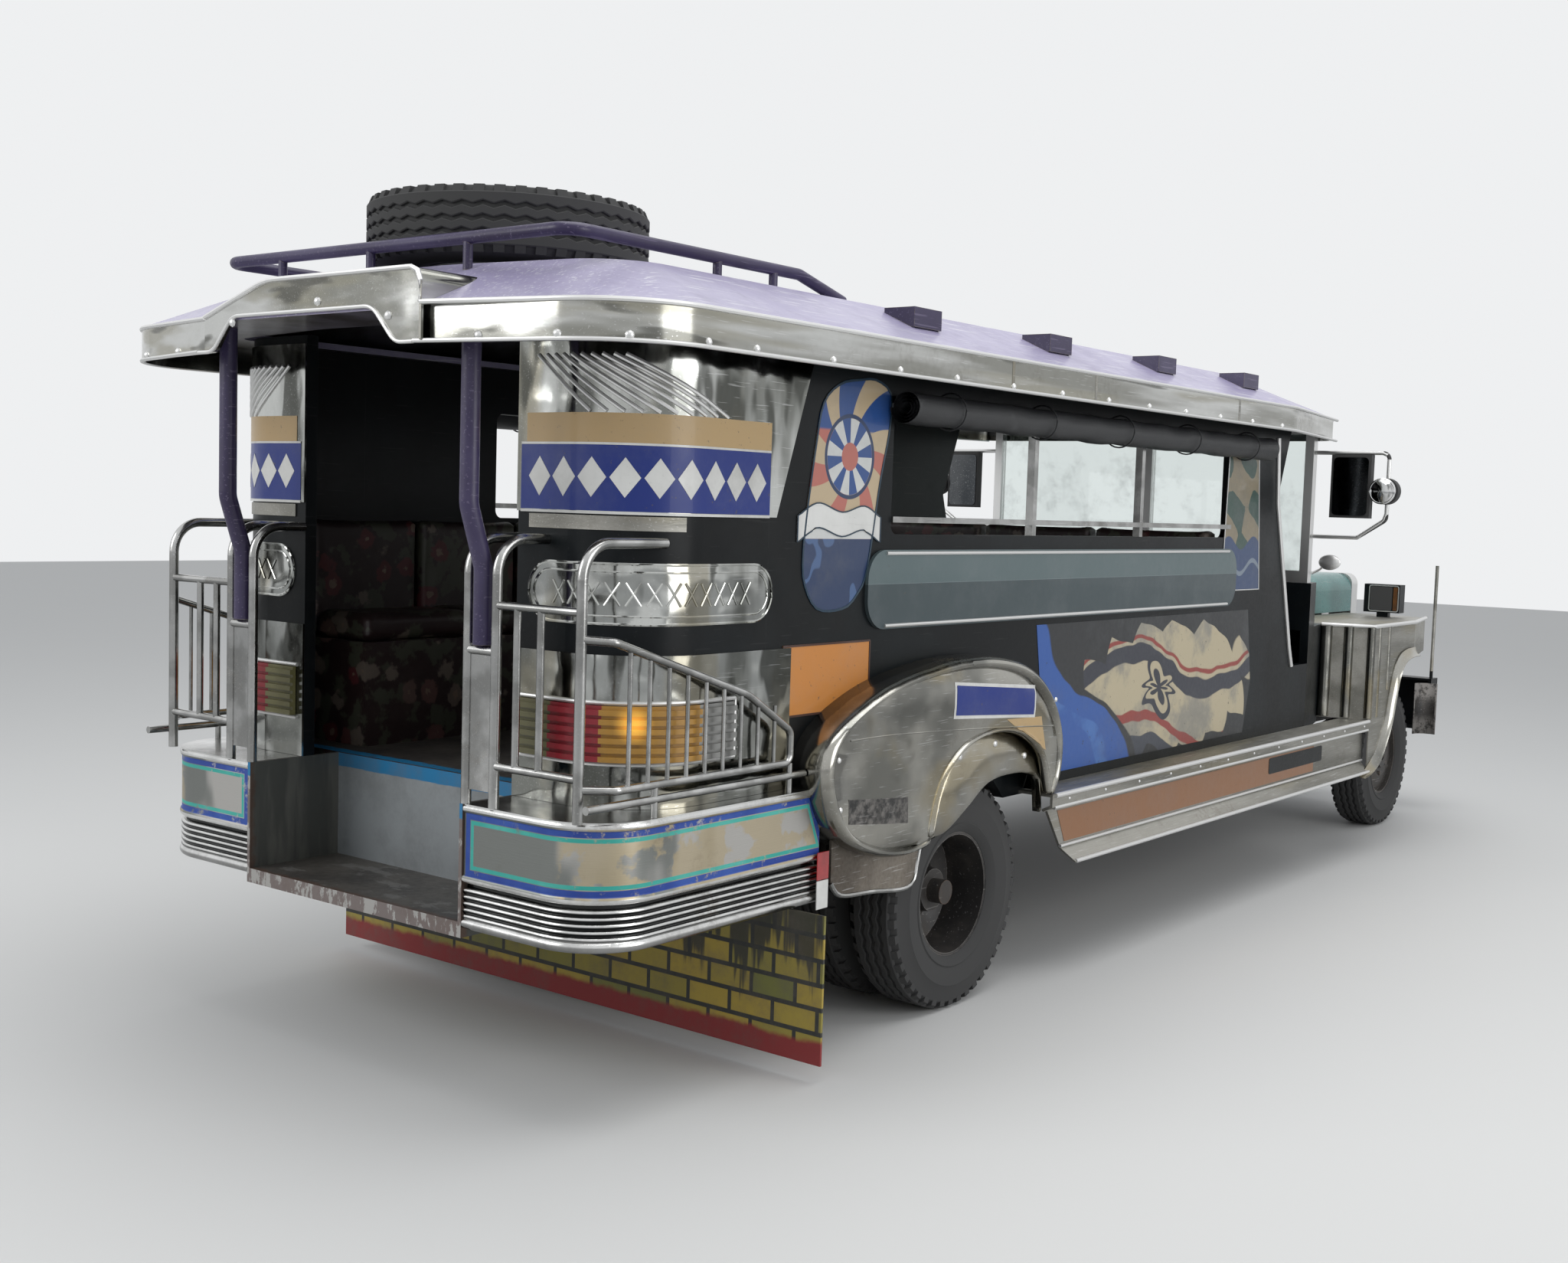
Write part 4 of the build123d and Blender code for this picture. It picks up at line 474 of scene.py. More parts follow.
@dataclass(frozen=True)
class FloralVinyl:
    """Seat vinyl in dark red with a worn small-flower print."""

    name: str
    ground: Colour = (0.022, 0.012, 0.012)
    petal: Colour = (0.085, 0.020, 0.022)
    leaf: Colour = (0.050, 0.052, 0.036)
    roughness: float = 0.46

    def build(self) -> bpy.types.Material:
        """Make the material."""
        s = Shader(self.name)
        cells = s.node("ShaderNodeTexVoronoi", {"Vector": s.place, "Scale": 9, "Randomness": 0.9})
        wobble = s.line(s.noise(26, 3), 0.55, cells.outputs["Distance"])
        wobble = s.less(wobble, 0.14)
        petals = s.fall(wobble, 0.42, 0.50)
        heart = s.fall(wobble, 0.22, 0.27)
        leaves = s.step(s.noise(12, 4, 0.6), 0.50, 0.56)
        tint = s.mix(s.step(cells.outputs["Color"], 0.3, 0.6), self.petal, (0.13, 0.105, 0.085))
        colour = s.mix(leaves, self.ground, self.leaf)
        colour = s.mix(petals, colour, tint)
        colour = s.mix(heart, colour, (0.17, 0.12, 0.09))
        colour = s.tint(colour, (0.05, 0.035, 0.03), s.step(s.noise(5, 6, 0.7), 0.5, 0.8), 0.5)
        grain = s.node("ShaderNodeTexVoronoi", {"Vector": s.place, "Scale": 420})
        relief = s.line(grain.outputs["Distance"], 0.4, s.noise(22, 3))
        rough = s.line(s.noise(30, 3), 0.2, self.roughness - 0.1)
        return s.close(colour, rough, s.bump(relief, 0.4, 0.002))


@dataclass(frozen=True)
class Tarpaulin:
    """Rolled weather curtain of coated black cloth."""

    name: str
    colour: Colour = (0.020, 0.021, 0.023)
    scuffed: Colour = (0.085, 0.088, 0.09)

    def build(self) -> bpy.types.Material:
        """Make the material."""
        s = Shader(self.name)
        scuff = s.step(s.noise(14, 6, 0.72), 0.52, 0.78)
        warp = s.node("ShaderNodeTexWave", {"Vector": s.place, "Scale": 260, "Distortion": 1.2}, bands_direction="X")
        weft = s.node("ShaderNodeTexWave", {"Vector": s.place, "Scale": 260, "Distortion": 1.2}, bands_direction="Z")
        weave = s.times(warp.outputs[1], weft.outputs[1])
        relief = s.line(weave, 0.3, s.noise(24, 4))
        rough = s.line(scuff, 0.3, 0.42)
        colour = s.tint(self.colour, self.scuffed, scuff, 0.6)
        return s.close(colour, rough, s.bump(relief, 0.5, 0.003))


@dataclass(frozen=True)
class Glass:
    """Clear or tinted window glass with dust."""

    name: str
    tint: Colour = (0.82, 0.88, 0.86)
    roughness: float = 0.02

    def build(self) -> bpy.types.Material:
        """Make the material."""
        s = Shader(self.name)
        dust = s.step(s.noise(7, 6, 0.7), 0.45, 0.85)
        rough = s.line(dust, 0.12, self.roughness)
        clear = s.line(dust, -0.25, 1.0)
        return s.close(rgba(self.tint), rough, s.bump(s.noise(3, 2), 0.05, 0.004), {"Transmission Weight": clear,
            "IOR": 1.45})


@dataclass(frozen=True)
class LampPlastic:
    """Ribbed lamp lenses."""

    name: str
    colour: Colour
    deep: Colour
    glow: float = 0.0
    ribs: float = 90.0

    def build(self) -> bpy.types.Material:
        """Make the material."""
        s = Shader(self.name)
        cloud = s.step(s.noise(16, 4), 0.35, 0.7)
        ribs = s.node("ShaderNodeTexWave", {"Vector": s.place, "Scale": self.ribs}, bands_direction="X")
        colour = s.mix(cloud, self.colour, self.deep)
        rough = s.line(cloud, 0.15, 0.14)
        return s.close(colour, rough, s.bump(ribs.outputs[1], 0.25, 0.0012), {"Coat Weight": 0.5,
            "Subsurface Weight": 0.15, "Emission Color": rgba(self.colour), "Emission Strength": self.glow})


@dataclass(frozen=True)
class TailLampPlastic:
    """Slats of the wrap-round tail lamp: olive at the inner end, then red, then amber up to a plated end."""

    name: str
    red_from_y: float
    amber_from_y: float
    plated_from_x: float
    lit_centre: tuple[float, float, float]
    olive: Colour = (0.15, 0.14, 0.055)
    red: Colour = (0.26, 0.012, 0.022)
    amber: Colour = (0.40, 0.21, 0.035)
    plated: Colour = (0.30, 0.30, 0.29)
    lit: Colour = (1.0, 0.50, 0.06)

    def build(self) -> bpy.types.Material:
        """Make the material."""
        s = Shader(self.name)
        x, y, _ = s.axes
        out = s.calc("ABSOLUTE", y)
        colour = s.mix(s.step(out, self.red_from_y - 0.001, self.red_from_y + 0.001), self.olive, self.red)
        colour = s.mix(s.step(out, self.amber_from_y - 0.001, self.amber_from_y + 0.001), colour, self.amber)
        lamp = s.node("ShaderNodeVectorMath", {0: s.place, 1: self.lit_centre}, operation="DISTANCE").outputs["Value"]
        near = s.fall(lamp, 0.0, 0.060)
        colour = s.tint(colour, self.lit, near, 0.8)
        # Painted shade: slat faces turned down are darkened.
        low = s.fall(s.facing[2], -0.8, 0.1)
        colour = s.tint(colour, (0.05, 0.03, 0.02), low, 0.6)
        dirt = s.times(s.step(s.noise(18, 5, 0.7), 0.5, 0.8), 0.5)
        colour = s.mix(dirt, colour, (0.10, 0.07, 0.04))
        plated = s.step(x, self.plated_from_x - 0.001, self.plated_from_x + 0.001)
        colour = s.mix(plated, colour, self.plated)
        rough = s.line(s.noise(40, 3), 0.2, 0.24)
        glow = s.times(near, 0.55)
        return s.close(colour, rough, s.bump(s.noise(60, 2), 0.15, 0.001), {"Metallic": plated, "Coat Weight": 0.1,
            "Emission Color": rgba(self.lit), "Emission Strength": glow})


@dataclass(frozen=True)
class WornStep:
    """The rear step's sheet: a pale riser, dark side walls and a brown trodden plate with a rusted edge."""

    name: str
    riser: Colour = (0.26, 0.28, 0.29)
    walls: Colour = (0.085, 0.088, 0.08)
    plate: Colour = (0.115, 0.105, 0.092)
    rust: Colour = (0.11, 0.05, 0.03)
    chalk: Colour = (0.42, 0.42, 0.40)
    blue: Colour = (0.010, 0.17, 0.36)
    lip_x: float = 0.0
    sill_z: float = 0.0

    def build(self) -> bpy.types.Material:
        """Make the material."""
        s = Shader(self.name)
        x, _, z = s.axes
        cloud = s.step(s.noise(5, 6, 0.7), 0.38, 0.66)
        streaks = s.step(s.noise(11, 4, 0.6, s.stretched((1, 1, 0.14))), 0.45, 0.62)
        side = s.step(s.calc("ABSOLUTE", s.facing[1]), 0.5, 0.7)
        top = s.step(s.facing[2], 0.5, 0.7)
        colour = s.tint(self.riser, (0.15, 0.155, 0.155), cloud, 0.5)
        colour = s.mix(side, colour, s.mix(streaks, self.walls, (0.14, 0.14, 0.125)))
        colour = s.mix(top, colour, s.mix(cloud, self.plate, (0.065, 0.06, 0.055)))
        wear = s.both(top, s.step(s.noise(13, 5, 0.7, s.stretched((1, 0.5, 1))), 0.56, 0.62))
        colour = s.tint(colour, (0.24, 0.235, 0.22), wear, 0.5)
        lip = s.fall(s.line(s.noise(20, 4), 0.05, x), self.lip_x + 0.03, self.lip_x + 0.05)
        colour = s.tint(colour, self.rust, lip, 0.6)
        back = s.fall(s.facing[0], -0.7, -0.5)
        chalk = s.both(back, lip, s.step(s.noise(24, 5, 0.7, s.stretched((1, 1, 0.4))), 0.50, 0.54))
        colour = s.tint(colour, self.chalk, chalk, 0.7)
        sill = s.both(back, s.step(s.line(s.noise(9, 3), 0.012, z), self.sill_z - 0.036, self.sill_z - 0.033))
        colour = s.mix(sill, colour, s.tint(self.blue, (0.10, 0.13, 0.16), cloud, 0.4))
        rough = s.line(s.noise(40, 3), 0.2, 0.38)
        relief = s.line(s.noise(60, 3), 0.3, s.noise(6, 2))
        return s.close(colour, rough, s.bump(relief, 0.3, 0.003), {"Metallic": 0.35})


@dataclass(frozen=True)
class FloorPaint:
    """The cabin floor: trodden brown-black, with its blue paint left only along the rear sill."""

    name: str
    sill_x: float
    blue: Colour = (0.012, 0.20, 0.42)
    trodden: Colour = (0.035, 0.031, 0.028)
    dust: Colour = (0.085, 0.075, 0.065)

    def build(self) -> bpy.types.Material:
        """Make the material."""
        s = Shader(self.name)
        x = s.axes[0]
        cloud = s.step(s.noise(4, 7, 0.72), 0.38, 0.68)
        colour = s.mix(cloud, self.trodden, self.dust)
        edge = s.line(s.noise(18, 4), 0.03, x)
        sill = s.fall(edge, self.sill_x + 0.055, self.sill_x + 0.060)
        blue = s.tint(self.blue, self.dust, s.step(s.noise(30, 5, 0.7), 0.56, 0.64), 0.6)
        colour = s.mix(sill, colour, blue)
        rough = s.line(s.noise(40, 3), 0.2, 0.5)
        return s.close(colour, rough, s.bump(s.noise(30, 4), 0.3, 0.002))


@dataclass(frozen=True)
class BrickBoard:
    """The mud board's hand-painted face: a yellow and olive brick field over a red foot, with black runs."""

    name: str
    foot_top: float
    field_top: float
    yellow: Colour = (0.42, 0.30, 0.045)
    olive: Colour = (0.16, 0.17, 0.04)
    joint: Colour = (0.02, 0.022, 0.02)
    red: Colour = (0.22, 0.02, 0.02)

    def build(self) -> bpy.types.Material:
        """Make the material."""
        s = Shader(self.name)
        x, y, z = s.axes
        flat = s.node("ShaderNodeCombineXYZ", {0: y, 1: z}).outputs[0]
        wobble = s.line(s.noise(14, 3), 0.03, z)
        bricks = s.node("ShaderNodeTexBrick", {"Vector": flat, "Color1": rgba(self.yellow),
            "Color2": rgba(self.olive), "Mortar": rgba(self.joint), "Scale": 1.0, "Mortar Size": 0.008,
            "Mortar Smooth": 0.3, "Brick Width": 0.16, "Row Height": 0.07}).outputs[0]
        colour = s.mix(s.step(wobble, self.foot_top, self.foot_top + 0.02), self.red, bricks)
        runs = s.noise(16, 3, 0.6, s.stretched((1, 1, 0.10)))
        high = s.step(z, self.foot_top, self.field_top)
        runs = s.step(s.line(high, 0.34, runs), 0.72, 0.80)
        colour = s.tint(colour, self.joint, runs, 0.92)
        dirt = s.times(s.step(s.noise(6, 7, 0.72), 0.42, 0.8), 0.6)
        colour = s.mix(dirt, colour, (0.10, 0.085, 0.07))
        relief = s.noise(30, 4)
        return s.close(colour, 0.62, s.bump(relief, 0.4, 0.003))


@dataclass(frozen=True)
class WaveArt:
    """Side ornament on black: a blue sweep behind, and a pale flash with dark and red streaks and a star."""

    name: str
    centre: Point2
    ground: Colour = (0.006, 0.007, 0.009)
    blue: Colour = (0.014, 0.075, 0.30)
    pale: Colour = (0.42, 0.36, 0.24)
    warm: Colour = (0.24, 0.03, 0.02)
    reach: Point2 = (0.90, 0.30)

    def build(self) -> bpy.types.Material:
        """Make the material."""
        s = Shader(self.name)
        x, _, z = s.axes
        wobble = s.line(s.noise(3.0, 2), 0.12, -0.06)
        u = s.calc("DIVIDE", s.less(x, self.centre[0]), self.reach[0])
        v = s.calc("DIVIDE", s.plus(s.less(z, self.centre[1]), wobble), self.reach[1])
        arc = s.plus(s.times(u, u), s.times(v, v))
        teeth = s.times(s.calc("PINGPONG", s.line(v, 0.35, u), 0.16), 2.2)
        flash = s.plus(arc, teeth)
        sweep = s.line(u, 1.15, s.times(v, 0.55))
        waves = s.line(s.calc("SINE", s.times(v, 4.2)), 0.09, sweep)
        colour = s.mix(s.band(waves, -1.62, -0.86, 0.01), self.ground, self.blue)
        light_blue = s.mix(s.step(s.noise(5, 4), 0.42, 0.6), (0.04, 0.13, 0.38), self.blue)
        colour = s.mix(s.band(waves, -1.22, -1.10, 0.01), colour, light_blue)
        ahead = s.step(waves, -0.80, -0.78)
        inside = s.both(s.fall(flash, 0.94, 0.96), ahead)
        bow = s.line(s.calc("SINE", s.times(u, 3.6)), 0.30, v)
        body = s.mix(s.step(s.noise(4, 5, 0.6), 0.45, 0.62), self.pale, (0.27, 0.25, 0.20))
        body = s.mix(s.band(bow, 0.10, 0.34, 0.01), body, (0.016, 0.018, 0.03))
        body = s.mix(s.band(bow, 0.40, 0.46, 0.01), body, self.warm)
        body = s.mix(s.band(bow, -0.62, -0.50, 0.01), body, self.warm)
        body = s.mix(s.fall(bow, -0.80, -0.78), body, (0.03, 0.035, 0.05))
        colour = s.mix(inside, colour, body)
        star = s.calc("SINE", s.times(s.calc("ARCTAN2", v, s.plus(u, 0.12)), 6.0))
        hub = s.calc("SQRT", s.plus(s.calc("POWER", s.plus(u, 0.12), 2.0), s.times(s.times(v, v), 0.12)))
        spikes = s.line(star, 0.035, hub)
        colour = s.mix(s.both(inside, s.fall(spikes, 0.135, 0.140)), colour, (0.012, 0.014, 0.025))
        colour = s.mix(s.both(inside, s.band(spikes, 0.055, 0.100, 0.003)), colour, self.pale)
        fade = s.times(s.step(s.noise(4, 6, 0.7), 0.46, 0.78), 0.35)
        colour = s.mix(fade, colour, (0.07, 0.075, 0.08))
        chips = s.times(s.step(s.noise(40, 5, 0.75), 0.63, 0.68), 0.8)
        colour = s.mix(chips, colour, (0.02, 0.022, 0.025))
        rough = s.line(s.noise(50, 3), 0.2, 0.3)
        bumped = s.bump(s.noise(60, 3), 0.15, 0.001)
        return s.close(colour, rough, bumped, {"Coat Weight": 0.2})


@dataclass(frozen=True)
class LeafArt:
    """Front panel ornament: dull cream with green leaf shapes above and a blue wave at the foot."""

    name: str
    foot: float
    head: float
    cream: Colour = (0.20, 0.165, 0.105)
    green: Colour = (0.010, 0.045, 0.032)
    blue: Colour = (0.010, 0.035, 0.11)

    def build(self) -> bpy.types.Material:
        """Make the material."""
        s = Shader(self.name)
        x, _, z = s.axes
        lean = s.line(z, 0.6, x)
        leaves = s.plus(s.calc("SINE", s.times(lean, 26.0)), s.calc("SINE", s.times(z, 31.0)))
        leaves = s.line(s.noise(9, 3), 1.4, leaves)
        share = s.step(z, self.head, self.foot)
        colour = s.mix(s.step(s.line(share, 1.0, leaves), 1.15, 1.22), self.cream, self.green)
        swell = s.line(s.calc("SINE", s.times(x, 24.0)), 0.028, z)
        colour = s.mix(s.fall(swell, self.foot + 0.20, self.foot + 0.206), colour, self.blue)
        colour = s.mix(s.band(swell, self.foot + 0.09, self.foot + 0.11, 0.002), colour, (0.15, 0.19, 0.24))
        fade = s.times(s.step(s.noise(6, 6, 0.7), 0.44, 0.75), 0.4)
        colour = s.mix(fade, colour, (0.07, 0.08, 0.08))
        rough = s.line(s.noise(50, 3), 0.2, 0.32)
        bumped = s.bump(s.noise(60, 3), 0.15, 0.001)
        return s.close(colour, rough, bumped, {"Coat Weight": 0.2})


@dataclass(frozen=True)
class MedallionArt:
    """The leaning panel: blue rays and a rose disc on cream above a pale ribbon, navy under it."""

    name: str
    centre: Point2
    ribbon: Point2
    cream: Colour = (0.46, 0.36, 0.23)
    rose: Colour = (0.42, 0.13, 0.10)
    blue: Colour = (0.014, 0.06, 0.22)
    navy: Colour = (0.010, 0.028, 0.085)
    white: Colour = (0.55, 0.56, 0.55)

    def build(self) -> bpy.types.Material:
        """Make the material."""
        s = Shader(self.name)
        x, _, z = s.axes
        dx = s.less(x, self.centre[0])
        dz = s.less(z, self.centre[1])
        far = s.calc("SQRT", s.plus(s.times(dx, dx), s.times(dz, dz)))
        angle = s.calc("ARCTAN2", dz, dx)
        wave = s.calc("SINE", s.line(angle, 7.0, s.times(far, 14.0)))
        colour = s.mix(s.step(wave, 0.10, 0.20), self.cream, self.rose)
        cap = s.both(s.step(wave, -0.35, -0.25), s.step(dz, 0.07, 0.08))
        colour = s.mix(cap, colour, self.blue)
        colour = s.mix(s.band(far, 0.112, 0.124, 0.001), colour, self.navy)
        disc = s.fall(far, 0.110, 0.113)
        petals = s.step(s.calc("SINE", s.times(angle, 8.0)), 0.0, 0.12)
        colour = s.mix(disc, colour, s.mix(petals, self.white, self.blue))
        heart = s.fall(far, 0.040, 0.042)
        colour = s.mix(heart, colour, self.rose)
        low, high = self.ribbon
        under = s.fall(z, low - 0.001, low + 0.001)
        swirl = s.noise(5.5, 2, 0.5, s.stretched((1, 1, 0.8), (0, 0.6, 0)))
        foot = s.mix(s.band(swirl, 0.45, 0.50, 0.006), self.navy, (0.05, 0.10, 0.22))
        colour = s.mix(s.band(z, low, high, 0.001), colour, self.white)
        colour = s.mix(under, colour, foot)
        fade = s.times(s.step(s.noise(6, 6, 0.7), 0.46, 0.78), 0.25)
        colour = s.mix(fade, colour, (0.12, 0.12, 0.12))
        rough = s.line(s.noise(50, 3), 0.2, 0.3)
        bumped = s.bump(s.noise(60, 3), 0.15, 0.001)
        return s.close(colour, rough, bumped, {"Coat Weight": 0.2})


@dataclass(frozen=True)
class TwoToneField:
    """A panel of one colour that gives way to another at a height, with a line between them."""

    name: str
    low: Colour
    high: Colour
    line: Colour
    split: float
    line_width: float = 0.012
    metallic: float = 0.0
    fade: float = 0.14

    def build(self) -> bpy.types.Material:
        """Make the material."""
        s = Shader(self.name)
        z = s.axes[2]
        colour = s.mix(s.step(z, self.split - 0.001, self.split + 0.001), self.low, self.high)
        half = self.line_width / 2
        colour = s.mix(s.band(z, self.split - half, self.split + half), colour, self.line)
        fade = s.times(s.step(s.noise(5, 6, 0.7), 0.4, 0.78), self.fade)
        colour = s.mix(fade, colour, (0.22, 0.23, 0.24))
        specks = s.times(s.step(s.noise(55, 4, 0.75), 0.64, 0.69), 0.7)
        colour = s.mix(specks, colour, (0.08, 0.07, 0.06))
        rough = s.line(s.noise(30, 3), 0.2, 0.28)
        return s.close(colour, rough, s.bump(s.noise(20, 3), 0.12, 0.002), {"Metallic": self.metallic,
            "Coat Weight": 0.15, "Specular IOR Level": 0.35})


REAR_AXLE = at_rear_axle(0.0)


class Look(Enum):
    """Every finish on the vehicle."""

    # LAVENDER's under colour is painted shade on the roof's downward faces.
    LAVENDER = Paint("roof_lavender", (0.285, 0.255, 0.405), (0.36, 0.335, 0.47), roughness=0.34, scratch=0.8,
        scratch_colour=(0.55, 0.54, 0.60), grime=0.35, grime_colour=(0.14, 0.13, 0.16), wear=0.7, bare=(0.30, 0.28,
        0.30), under=(0.030, 0.024, 0.020))
    VIOLET = Paint("violet_enamel", (0.026, 0.018, 0.058), (0.050, 0.040, 0.095), roughness=0.36, scratch=0.6,
        scratch_colour=(0.13, 0.11, 0.18), grime=0.3, grime_colour=(0.03, 0.025, 0.03), wear=0.8, bare=(0.20, 0.17,
        0.12), coat=0.12, specular=0.35)
    BLACK = Paint("black_enamel", (0.0030, 0.0038, 0.0046), (0.0062, 0.0085, 0.0100), roughness=0.34, coat=0.03,
        scratch=0.12, scratch_colour=(0.08, 0.08, 0.08), grime=0.22, grime_colour=(0.020, 0.019, 0.017), wear=0.25,
        bare=(0.05, 0.05, 0.05), specular=0.16)
    CHARCOAL = Paint("charcoal_enamel", (0.020, 0.022, 0.024), (0.04, 0.042, 0.044), roughness=0.5, coat=0.05)
    TEAL = Paint("teal_enamel", (0.012, 0.125, 0.120), (0.035, 0.20, 0.185), roughness=0.26, coat=0.3, scratch=0.3,
        grime=0.35)
    FLOOR = FloorPaint("floor_worn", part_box("floor_pan")[0][0])
    STEP = WornStep("step_sheet", lip_x=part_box("step_well")[0][0], sill_z=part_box("step_well")[1][2])
    CHASSIS = Paint("frame_black", (0.014, 0.014, 0.014), (0.035, 0.032, 0.030), roughness=0.6, coat=0.0, grime=0.8,
        grime_colour=(0.10, 0.075, 0.055), bare=(0.16, 0.075, 0.035))
    CAST = Paint("cast_grey", (0.085, 0.08, 0.075), (0.14, 0.13, 0.12), roughness=0.62, metallic=0.5, coat=0.0,
        grime=0.7, grime_colour=(0.055, 0.045, 0.035), bare=(0.20, 0.10, 0.05))
    WHEEL = Paint("wheel_black", (0.015, 0.014, 0.014), (0.040, 0.036, 0.033), roughness=0.5, coat=0.05, grime=0.7,
        grime_colour=(0.10, 0.085, 0.07))
    # The Steel finishes' bright, dull, deep and warm tones are painted reflections.
    MIRROR_STEEL = Steel("mirror_stainless", (0.56, 0.57, 0.55), (0.20, 0.205, 0.19), 0.07, (1, 1, 0.2), 0.05, 0.6,
        5.0, 0.25, reflection_scale=3.4, reflection_stretch=(1.6, 1.6, 0.5), deep=(0.060, 0.062, 0.055), dark_reflection_share=0.75,
        warm=(0.36, 0.33, 0.25), warm_reflection_share=0.6)
    TUBE = Steel("bright_tube_steel", (0.58, 0.58, 0.57), (0.36, 0.36, 0.35), 0.15, dents=0.15, stain=0.35,
        reflection_scale=9.0, reflection_stretch=(1, 1, 1), shaded_below=0.85)
    BRUSHED = Steel("brushed_stainless", (0.42, 0.41, 0.375), (0.23, 0.225, 0.20), 0.26, (0.12, 1, 3), 0.35, 0.4, 7.0,
        0.45, reflection_scale=2.4, reflection_stretch=(0.3, 1, 2.2), warm=(0.33, 0.30, 0.22), warm_reflection_share=0.5, shaded_below=0.6)
    GALVANISED = Steel("edge_stainless", (0.58, 0.585, 0.57), (0.27, 0.27, 0.245), 0.10, (0.3, 0.3, 1), 0.08, 0.45,
        4.0, 0.35, (0.10, 0.08, 0.06), reflection_scale=2.2, reflection_stretch=(0.35, 1.0, 4.5), deep=(0.10, 0.10, 0.09),
        dark_reflection_share=0.35, warm=(0.30, 0.285, 0.22), warm_reflection_share=0.7)
    SILVER = Steel("silver_trim", (0.62, 0.62, 0.61), (0.40, 0.40, 0.39), 0.12, dents=0.1, stain=0.2, reflection_scale=7.0,
        shaded_below=0.7)
    DARK_PLASTIC = Paint("dark_plastic", (0.014, 0.014, 0.015), (0.028, 0.028, 0.03), roughness=0.42, coat=0.0,
        scratch=0.15, wear=0.1)
    RUBBER = Rubber("tyre_rubber")
    VINYL = FloralVinyl("floral_vinyl")
    TARP = Tarpaulin("black_tarpaulin")
    CLEAR = Glass("window_glass")
    RED_LENS = LampPlastic("red_lens", (0.35, 0.012, 0.015), (0.18, 0.006, 0.008))
    WHITE_ENAMEL = Paint("white_enamel", (0.66, 0.66, 0.64), (0.52, 0.52, 0.50), roughness=0.3, grime=0.35, wear=0.2)
    ORANGE = TwoToneField("orange_sticker", (0.50, 0.20, 0.045), (0.54, 0.23, 0.06), (0.60, 0.22, 0.05), 9.0)
    STICKER_EDGE = TwoToneField("sticker_edge", (0.05, 0.018, 0.01), (0.05, 0.02, 0.01), (0.1, 0.1, 0.1), 9.0)
    PANEL_EDGE = TwoToneField("panel_edge", (0.008, 0.03, 0.055), (0.01, 0.04, 0.07), (0.1, 0.1, 0.1), 9.0)
    TAN = TwoToneField("tan_panel", (0.42, 0.29, 0.14), (0.50, 0.36, 0.19), (0.5, 0.4, 0.3), 9.0)
    BLUE = TwoToneField("blue_panel", (0.004, 0.020, 0.17), (0.008, 0.030, 0.20), (0.5, 0.5, 0.5), 9.0)
    SLATE = TwoToneField("slate_board", (0.042, 0.060, 0.066), (0.085, 0.120, 0.125), (0.30, 0.36, 0.37), 1.395,
        line_width=0.0005)
    TAG = MedallionArt("tag_panel", (REAR_AXLE - 0.63, 1.770), (1.530, 1.606))
    FRONT_ART = LeafArt("front_panel_art", 1.32, 1.906)
    SIDE_ART = WaveArt("side_art", (REAR_AXLE + 1.62, 0.94))
    COVER = Steel("pressed_cover_steel", (0.44, 0.43, 0.39), (0.19, 0.19, 0.175), 0.13, (1, 1, 0.5), 0.08, 0.6, 4.0,
        0.4, reflection_scale=2.8, reflection_stretch=(1.0, 1.0, 1.3), deep=(0.11, 0.105, 0.09), dark_reflection_share=0.25, dark_reflection_soft=0.14,
        warm=(0.34, 0.29, 0.185), warm_reflection_share=0.9, shaded_below=0.7)
    SKIRT = Steel("rusted_skirt_steel", (0.24, 0.215, 0.185), (0.12, 0.105, 0.09), 0.34, (1, 1, 1), 0.4, 0.6, 8.0,
        0.6, (0.12, 0.06, 0.035))
    EMBOSSED = Paint("embossed_black_plate", (0.02, 0.02, 0.02), (0.16, 0.15, 0.14), roughness=0.35, metallic=0.6,
        patch_scale=40)
    COPPER_STRIP = TwoToneField("copper_strip", (0.30, 0.145, 0.07), (0.34, 0.18, 0.10), (0.3, 0.2, 0.1), 9.0,
        metallic=0.6)
    MIRROR_GLASS = Steel("mirror_glass", (0.10, 0.105, 0.11), (0.05, 0.055, 0.06), 0.03, dents=0.0, stain=0.1)
    CHROME = Steel("domed_chrome", (0.72, 0.72, 0.72), (0.45, 0.46, 0.46), 0.04, dents=0.0, stain=0.1,
        reflection_scale=14.0, dark_reflection_share=0.8)
    SMOKED_LENS = LampPlastic("smoked_amber_lens", (0.15, 0.06, 0.02), (0.07, 0.035, 0.018))
    LENS_GLASS = Glass("lens_glass", (0.80, 0.82, 0.82), 0.05)
    TAIL_LAMP = TailLampPlastic("tail_lamp_slats", 0.613, 0.770, -2.952, (-3.134, -0.846, 1.045))
    MUD_FACE = BrickBoard("mud_board_face", 0.12, 0.50)
    BUMPER = BandedSteel("banded_bumper", 0.628, 0.800, 0.476, REAR_AXLE - 0.842)

    @property
    def material(self) -> bpy.types.Material:
        """The finish's material, made the first time it is asked for."""
        return bpy.data.materials.get(self.value.name) or self.value.build()


# ---------------------------------------------------------------- mesh making


